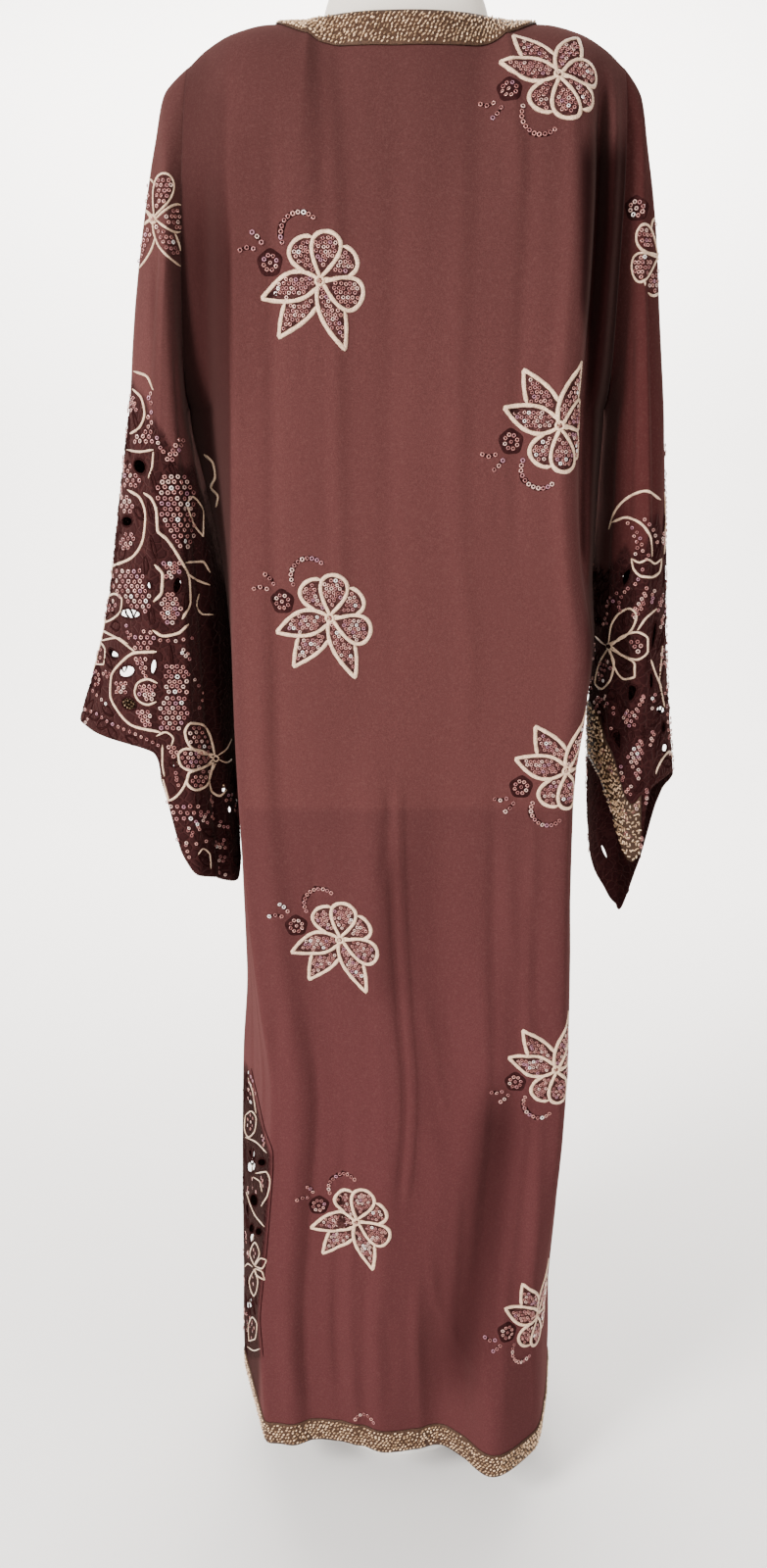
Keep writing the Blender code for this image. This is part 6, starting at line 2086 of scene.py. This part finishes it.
def paint(name):
    k = Look(name, 0.42, spec=0.5)
    s = k.noise(30.0, 3.0, 0.6)
    k.colour(k.mix(k.span(s, 0.3, 0.7), (0.66, 0.65, 0.63), (0.72, 0.71, 0.69)))
    k.roughness(k.span(s, 0.3, 0.7, 0.38, 0.50))
    k.bump(k.noise(900.0, 2.0, 0.5), 0.10, 0.0002)
    return k.m


FORM_LOW_Z = FORM_LOW = 0.812
BASE = (0.0590, 0.0212, 0.0206)
WINE_AND_PAINTED_LIGHT = (0.0665, 0.0204, 0.0218)
M_BACK = crepe("crepe_of_back", BASE, WINE_AND_PAINTED_LIGHT, lace=True)
M_FRONT = crepe("crepe_of_front", BASE, WINE_AND_PAINTED_LIGHT, lace=True)
# lit and shaded copies of one crepe: the left sleeve's is painted lighter, the right sleeve's painted darker
M_SLEEVE_L_PAINTED_LIT = crepe("crepe_of_left_sleeve_painted_lit", (0.068, 0.0252, 0.0242), WINE_AND_PAINTED_LIGHT, over_form=False, lace=True)
M_SLEEVE_R_PAINTED_SHADED = crepe("crepe_of_right_sleeve_painted_shaded", (0.046, 0.0134, 0.0132), WINE_AND_PAINTED_LIGHT, over_form=False, lace=True)
M_CREAM = thread("cream_satin_stitch", (0.40, 0.250, 0.160), (0.80, 0.565, 0.395), 0.45, spread=0.30, spec=0.30)
M_DARK = thread("dark_satin_stitch", (0.0135, 0.0042, 0.0043), (0.027, 0.0090, 0.0088), 0.46, sheen=0.0, spread=0.4, spec=0.0)
M_GROUND = thread("flower_ground", (0.022, 0.0075, 0.0075), (0.062, 0.026, 0.024), 0.55, sheen=0.0, scale=500.0, spec=0.0)
M_HALO = thread("dark_ground", (0.0160, 0.0050, 0.0054), (0.029, 0.0098, 0.0098), 0.55, sheen=0.0, scale=600.0, spec=0.0)
M_SEQUIN = sequin_look("ring_sequins")
M_GRAIN = grain_look("braid_floats")
M_BRAID = braid_ground("braid_weave")
M_BRAID_DARK = braid_ground("braid_weave_cuffs", 0.7)
M_WHIP = thread("braid_edge", (0.055, 0.030, 0.018), (0.120, 0.072, 0.042), 0.5, spread=0.5, spec=0.2)
M_JERSEY = jersey("form_jersey")


# ------------------------------------------------------------------ woven braid
def strip_cloth(P, N, lift, sx, sy, closed):
    """The top face of a laid strip, as a cloth that things can be sewn on."""
    c = Cloth(P + N * (lift - CLOTH_T / 2), lambda Q: N, closed=closed, sx=sx, sy=sy, us=np.arange(P.shape[1], dtype=float),
              vs=np.arange(P.shape[0], dtype=float))
    return c


def tape(name, P, N, low, high, mat, closed):
    """A flat woven tape between two heights over the cloth, with its edges rounded."""
    nv, nu = P.shape[:2]
    rows = [P[0] + N[0] * low]
    for k in range(nv):
        edge = 0.45 if k in (0, nv - 1) else 0.0
        rows.append(P[k] + N[k] * (high - (high - low) * edge))
    rows.append(P[-1] + N[-1] * low)
    for k in range(nv - 2, 0, -1):
        rows.append(P[k] + N[k] * low)
    R = np.stack(rows)
    m = len(R)
    ids = np.arange(m * nu).reshape(m, nu)
    nxt = np.roll(ids, -1, 0)
    if closed:
        a, b = ids, np.roll(ids, -1, 1)
        c, d = np.roll(nxt, -1, 1), nxt
    else:
        a, b, c, d = ids[:, :-1], ids[:, 1:], nxt[:, 1:], nxt[:, :-1]
    quads = np.stack([a, b, c, d], -1).reshape(-1, 4)
    V = R.reshape(-1, 3)
    caps = []
    if not closed:
        top = nv + 1                      # ring: 0 low, 1..nv top, nv+1 low, then back
        ring = list(range(m))
        for col, flip in ((0, False), (nu - 1, True)):
            pts = [ids[k, col] for k in ring]
            # pairs of top and bottom points across the tape
            for k in range(nv - 1):
                t0, t1 = pts[1 + k], pts[2 + k]
                b0 = pts[0] if k == 0 else pts[m - k]
                b1 = pts[nv + 1] if k == nv - 2 else pts[m - 1 - k]
                caps.append([t0, b0, b1, t1] if flip else [t0, t1, b1, b0])
        quads = np.concatenate([quads, np.array(caps)])
    # outward faces: the volume's sign says which way they turn
    tri = np.concatenate([quads[:, [0, 1, 2]], quads[:, [0, 2, 3]]])
    vol = np.einsum("ij,ij->i", V[tri[:, 0]], np.cross(V[tri[:, 1]], V[tri[:, 2]])).sum()
    if vol < 0:
        quads = quads[:, ::-1]
    return make(name, V, [], quads, mat)


def floats(batch, cloth, width, rows, pitch, skip=0.10, slant=46.0, size=(0.0034, 0.0015, 0.0009), f_range=None, twill=False):
    """Rows of short slanting floats, like grains of rice, each row leaning the other way."""
    top = cloth.rows
    total = cloth.Lv[-1].mean()
    for r in range(rows):
        at = (r + 0.5) / rows * (total - 0.0036) + 0.0018
        col = cloth.Lv.mean(axis=1)
        j = float(np.interp(at, col, cloth.rows))
        line = cloth.row_length(j)
        length = line[cloth.nu] if cloth.closed else line[cloth.nu - 1]
        n = int(round(length / pitch))
        run = (np.arange(n) + 0.5 * (r % 2) + 0.25) / n * length
        run = run + rng.normal(0, 0.10 * pitch, n)
        i = np.interp(run + (line[cloth.off] if cloth.closed else 0.0), line, cloth.cols) - cloth.off
        keep = rng.random(n) > skip * 0.5
        if not cloth.closed:
            keep &= (run > 0.0015) & (run < length - 0.0015)
        i = i[keep]
        jj = np.clip(j + rng.normal(0, 0.02, len(i)) * cloth.nv, 0, cloth.nv - 1)
        P, N = cloth.at(i, jj)
        P2, _ = cloth.at(i + 0.2, jj)
        T = unit(P2 - P)
        if not np.isfinite(T).all():
            T = np.nan_to_num(T)
        S = np.cross(N, T)
        if twill:
            lean = np.full(len(i), slant)
        else:
            lean = np.full(len(i), slant if r % 2 else -slant)
        lean = np.radians(lean + rng.normal(0, 11.0, len(i)))
        X = unit(T * np.cos(lean)[:, None] + S * np.sin(lean)[:, None])
        Y = np.cross(N, X)
        n = len(i)
        lng = size[0] * (1 + rng.normal(0, 0.08, n))
        wid = size[1] * (1 + rng.normal(0, 0.10, n))
        hgt = size[2] * (1 + rng.normal(0, 0.12, n))
        base = P + N * (CLOTH_T / 2 + 0.0001)[..., None] if np.ndim(CLOTH_T) else P + N * (CLOTH_T / 2 + 0.0001)
        parts = [base - X * (lng / 2)[:, None]]
        for e in (-0.28, 0.28):
            mid = base + X * (lng * e)[:, None]
            parts += [mid + Y * (wid / 2)[:, None], mid + N * hgt[:, None], mid - Y * (wid / 2)[:, None], mid - N * (0.0003)]
        parts.append(base + X * (lng / 2)[:, None])
        V = np.stack(parts, 1).reshape(-1, 3)
        tri, quad = [], []
        for c in range(4):
            c1 = (c + 1) % 4
            tri.append([0, 1 + c1, 1 + c])
            tri.append([9, 5 + c, 5 + c1])
            quad.append([1 + c, 1 + c1, 5 + c1, 5 + c])
        tri, quad = np.array(tri), np.array(quad)
        off = (np.arange(n) * 10)[:, None, None]
        batch.add(V, (tri[None] + off).reshape(-1, 3), (quad[None] + off).reshape(-1, 4))


made = []


def piece(ob, slot_name, *nodes):
    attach(ob, "root")
    if nodes:
        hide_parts(*nodes)
    made.append(ob)
    return ob


def braid(name, node, slot_name, P, N, low, high, sx, sy, closed, rows, pitch, ground=None, twill=False, slant=46.0, edges=True,
          size=(0.0034, 0.0015, 0.0009), sew_cloth=None):
    base = piece(tape(name, P, N, low, high, ground or M_BRAID, closed), slot_name, node)
    top = strip_cloth(P, N, high, sx, sy, closed)
    g = Batch()
    floats(g, top, None, rows, pitch, twill=twill, slant=slant, size=size)
    grains = piece(g.build(name + "_floats", M_GRAIN), slot_name)
    out = [base, grains]
    if edges:
        e = Batch()
        for row in (0.0, 1.0):
            line = np.array([cell for cell in (top.P[0] if row == 0 else top.P[-1])])
            whip(e, line, (N[0] if row == 0 else N[-1]), closed)
        out.append(piece(e.build(name + "_whipped_edge", M_WHIP), slot_name))
    return out


def whip(batch, line, nrm, closed, step=0.0022, w=0.0016, h=0.0009):
    """Small wrapped stitches along an edge line."""
    Q = np.concatenate([line, line[:1]]) if closed else line
    M = np.concatenate([nrm, nrm[:1]]) if closed else nrm
    run = np.concatenate([[0], np.cumsum(np.linalg.norm(np.diff(Q, axis=0), axis=-1))])
    n = int(run[-1] / step)
    at = (np.arange(n) + 0.5) / n * run[-1]
    P = np.stack([np.interp(at, run, Q[:, k]) for k in range(3)], -1)
    N = unit(np.stack([np.interp(at, run, M[:, k]) for k in range(3)], -1))
    ahead = np.stack([np.interp(np.minimum(at + 0.0005, run[-1]), run, Q[:, k]) for k in range(3)], -1)
    back_ = np.stack([np.interp(np.maximum(at - 0.0005, 0), run, Q[:, k]) for k in range(3)], -1)
    T = unit(ahead - back_)
    S = np.cross(N, T)
    X = unit(S + T * 0.35)
    Y = np.cross(N, X)
    base = P + N * (CLOTH_T / 2 - 0.0003)
    lng, wid = w * (1 + rng.normal(0, 0.08, n)), step * 0.92 * (1 + rng.normal(0, 0.06, n))
    parts = [base - X * (lng / 2)[:, None] - N * 0.0003]
    for e in (-0.22, 0.22):
        mid = base + X * (lng * e)[:, None]
        parts += [mid + Y * (wid / 2)[:, None], mid + N * h, mid - Y * (wid / 2)[:, None], mid - N * 0.0005]
    parts.append(base + X * (lng / 2)[:, None] - N * 0.0003)
    V = np.stack(parts, 1).reshape(-1, 3)
    tri, quad = [], []
    for c in range(4):
        c1 = (c + 1) % 4
        tri.append([0, 1 + c1, 1 + c])
        tri.append([9, 5 + c, 5 + c1])
        quad.append([1 + c, 1 + c1, 5 + c1, 5 + c])
    off = (np.arange(n) * 10)[:, None, None]
    batch.add(V, (np.array(tri)[None] + off).reshape(-1, 3), (np.array(quad)[None] + off).reshape(-1, 4))


# ------------------------------------------------------------------ the cloth
# the shade attribute carries the painted shade into each cloth's colour
skins = {
    "back": shell("back_cloth", back, M_BACK, CLOTH_T, B.H, {"worked": worked_b, "shade": shade_b}),
    "front": shell("front_cloth", fronts, M_FRONT, CLOTH_T, F.H, {"worked": worked_f, "shade": 0.0 * worked_f}),
    "left": shell("left_sleeve_cloth", arm_l, M_SLEEVE_L_PAINTED_LIT, CLOTH_T, L.H, {"worked": worked_l, "shade": shade_l}),
    "right": shell("right_sleeve_cloth", arm_r, M_SLEEVE_R_PAINTED_SHADED, CLOTH_T, R.H, {"worked": worked_r, "shade": shade_r}),
}
slots = {"back": "crepe_back", "front": "crepe_front", "left": "crepe_sleeve_left", "right": "crepe_sleeve_right"}
nodes = {"back": "back_panel", "front": "front_panel", "left": "sleeve_left", "right": "sleeve_right"}
work = {"back": B, "front": F, "left": L, "right": R}
looks = {"cream": M_CREAM, "dark": M_DARK, "sequin": M_SEQUIN, "ground": M_GROUND, "darkground": M_HALO}
titles = {"cream": "satin_stitch", "dark": "dark_stitch", "sequin": "sequins", "ground": "flower_ground", "darkground": "dark_ground"}
on_cloth = {}
for key, ob in skins.items():
    piece(ob, slots[key], nodes[key])
    on_cloth[key] = []
    for part, batch in work[key].k.items():
        if batch.n:
            on_cloth[key].append(piece(batch.build(key + "_" + titles[part], looks[part]), slots[key]))

# ------------------------------------------------------------------ bands
lo, hi = 0.00065, 0.00185
around = np.linspace(0, 1, 241)[:-1]
deep = np.linspace(0.0004, 0.0390, 40)
P0, N0 = neck_strip(around, deep)
# a little wider at the middle of the back, where its lower edge hangs in one curve
across = NECK_BRAID_W + 0.0062 * np.clip(-np.sin(2 * math.pi * around), 0, 1) ** 1.3
P, N = np.zeros((9, 240, 3)), np.zeros((9, 240, 3))
for j in range(240):
    at = 0.0004 + (across[j] - 0.0004) * np.linspace(0, 1, 9)
    for k in range(3):
        P[:, j, k] = np.interp(at, deep, P0[:, j, k])
        N[:, j, k] = np.interp(at, deep, N0[:, j, k])
N = unit(N)
neck = braid("neck_braid", "neck_band", "braid_2", P, N, lo + 0.0006, hi + 0.0006, 1, 1, True, 10, 0.0037, twill=True, slant=58.0, size=(0.0032, 0.0014, 0.0011), edges=False)
for front, cloth, node, slot_name, label in ((False, back, "hem_band_back", "braid_0", "back_hem_braid"), (True, fronts, "hem_band_front", "braid_1", "front_hem_braid")):
    c = np.concatenate([np.linspace(-1, -0.6, 50)[:-1], np.linspace(-0.6, 0.6, 130), np.linspace(0.6, 1, 50)[1:]])[None, :]
    v = (np.linspace(0, 1, 8) * HEM_BRAID_W / (UNDERARM_Z - 0.06) * UPPER_FROM)[:, None]
    P, N = panel(front, c, v), panel_normal(front, c, v)
    braid(label, node, slot_name, P, N, lo, hi, -1 if front else 1, 1, False, 7, 0.0040, twill=True, slant=38.0, size=(0.0030, 0.0017, 0.0012), edges=False)


def cuff_rows(side, f, n):
    s1 = cuff_share(side, f, cuff_width(side))
    return s1[None, :] + (1 - s1)[None, :] * np.linspace(0, 1, n)[:, None]


f = np.linspace(0, 1, 193)[:-1]
s = cuff_rows(-1, f, 8)
P = creased(-1, f[None, :] + 0 * s, s)
N = sleeve_normal(-1, f[None, :] + 0 * s, s)
cuff_l = braid("left_cuff_braid", "cuff_braid_left", "braid_3", P[::-1], -N[::-1], lo, hi, 1, 1, True, 8, 0.0042, ground=M_BRAID_DARK)
f = np.linspace(0.25, 0.50, 80)
s = cuff_rows(1, f, 12)
P = creased(1, f[None, :] + 0 * s, s)
N = sleeve_normal(1, f[None, :] + 0 * s, s)
cuff_r = braid("right_cuff_braid", "cuff_braid_right", "braid_4", P, N, lo, hi, -1, -1, False, 12, 0.0046, ground=M_BRAID_DARK, twill=False, slant=40.0, size=(0.0038, 0.0014, 0.0012), edges=False)

# ------------------------------------------------------------------ the dress form
zs = np.concatenate([np.linspace(FORM[0][0], 1.43, 44)[:-1], np.linspace(1.43, FORM[-1][0], 48)])
cols = [through(column(FORM, 0), column(FORM, k), zs) for k in range(1, 5)]
a = np.linspace(0, 2 * math.pi, 81)[:-1]
ca, sa = np.cos(a), np.sin(a)
hx, yb, yf, sq = (q[:, None] for q in cols)
X = hx * np.sign(ca) * np.abs(ca) ** (2 / sq)
half = np.where(sa > 0, yf - FORM_CENTRE_Y, FORM_CENTRE_Y - yb)
Y = FORM_CENTRE_Y + half * np.sign(sa) * np.abs(sa) ** (2 / sq) + SET_BACK
G = np.stack([X, Y, zs[:, None] + 0 * X], -1)
rings, rnd = G.shape[:2]
# rounded rims: two shrinking rings and a centre at each end
cap = []
for end, sign in ((0, -1), (rings - 1, 1)):
    mid = G[end].mean(0)
    cap.append((mid + (G[end] - mid) * 0.985, 0.75), )
V = [G.reshape(-1, 3)]
ids = np.arange(rings * rnd).reshape(rings, rnd)
q = np.stack([ids[:-1], np.roll(ids[:-1], -1, 1), np.roll(ids[1:], -1, 1), ids[1:]], -1).reshape(-1, 4)
n = rings * rnd
tris, quads = [], [q]
for end, up in ((0, False), (rings - 1, True)):
    mid = G[end].mean(0)
    prev = ids[end]
    for k in (0.80, 0.50, 0.22):
        V.append(mid + (G[end] - mid) * k)
        cur = np.arange(n, n + rnd)
        n += rnd
        ring = np.stack([prev, np.roll(prev, -1), np.roll(cur, -1), cur], -1)
        quads.append(ring if up else ring[:, ::-1])
        prev = cur
    V.append(mid[None])
    t = np.stack([prev, np.roll(prev, -1), np.full(rnd, n)], -1)
    tris.append(t if up else t[:, ::-1])
    n += 1
torso = piece(make("torso_form", np.concatenate(V), np.concatenate(tris), np.concatenate(quads), M_JERSEY), "form_cover", "form_torso")
for node, mat in (("form_pole", steel("pole_brushed_steel")), ("form_base", paint("base_painted_plate"))):
    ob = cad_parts[node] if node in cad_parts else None
    ob = bpy.data.objects.get(node) or ob
    ob.data.materials.clear()
    ob.data.materials.append(mat)


# ------------------------------------------------------------------ floor, backdrop and light
def plain(name, colour, rough, scale):
    k = Look(name, rough, spec=0.2)
    k.colour(k.mix(k.span(k.noise(scale, 2.0, 0.5), 0.3, 0.7), colour, tuple(v * 0.985 for v in colour)))
    k.bump(k.noise(400.0, 2.0, 0.5), 0.02, 0.0002)
    return k.m


def sweep(name, mat):
    """A floor that turns up into a far wall in one curve."""
    prof = [(-4.0, 0.0)] + [(y, 0.0) for y in np.linspace(-2.0, 2.2, 8)]
    for t in np.linspace(0, math.pi / 2, 12)[1:]:
        prof.append((2.2 + 1.2 * math.sin(t), 1.2 * (1 - math.cos(t))))
    prof += [(3.4, z) for z in np.linspace(1.4, 5.0, 5)]
    xs = np.linspace(-5.0, 5.0, 11)
    V = np.array([[x, y, z - 0.0005] for y, z in prof for x in xs])
    ids = np.arange(len(V)).reshape(len(prof), len(xs))
    q = np.stack([ids[:-1, :-1], ids[:-1, 1:], ids[1:, 1:], ids[1:, :-1]], -1).reshape(-1, 4)
    ob = make(name, V, [], q, mat)
    return ob


sweep("studio_sweep", plain("pale_sweep", (0.80, 0.785, 0.77), 0.85, 1.5))

world = bpy.data.worlds.new("studio")
bpy.context.scene.world = world
world.use_nodes = True
bg = world.node_tree.nodes["Background"]
bg.inputs["Color"].default_value = (1.0, 0.985, 0.97, 1.0)
bg.inputs["Strength"].default_value = 0.72


def lamp(name, at, aim, size, power, colour=(1.0, 0.97, 0.94)):
    d = bpy.data.lights.new(name, "AREA")
    d.shape = "RECTANGLE"
    d.size, d.size_y = size
    d.energy = power
    d.color = colour
    o = bpy.data.objects.new(name, d)
    at, aim = np.array(at, float), np.array(aim, float)
    o.location = at
    z = unit(at - aim)
    x = unit(np.cross([0, 0, 1.0], z))
    y = np.cross(z, x)
    o.rotation_euler = mathutils.Matrix(np.stack([x, y, z], 1).tolist()).to_euler()
    o.visible_camera = False
    bpy.context.scene.collection.objects.link(o)


lamp("key_light", (-2.3, -1.9, 2.3), (0.0, 0.0, 0.95), (0.9, 0.9), 190.0)
lamp("low_light", (-1.8, -2.0, 0.7), (0.0, 0.0, 0.35), (0.8, 0.8), 40.0)
lamp("front_light", (0.3, -3.2, 2.2), (0.0, 0.0, 0.80), (1.6, 1.6), 60.0)
lamp("fill_light", (2.3, -1.9, 1.8), (0.0, 0.0, 0.80), (1.8, 1.8), 24.0)
lamp("far_wall_light", (0.0, 1.3, 2.9), (0.0, 3.4, 2.0), (4.0, 1.0), 420.0)
lamp("floor_light", (0.0, 2.0, 3.0), (0.0, 1.6, 0.0), (4.0, 1.6), 190.0)
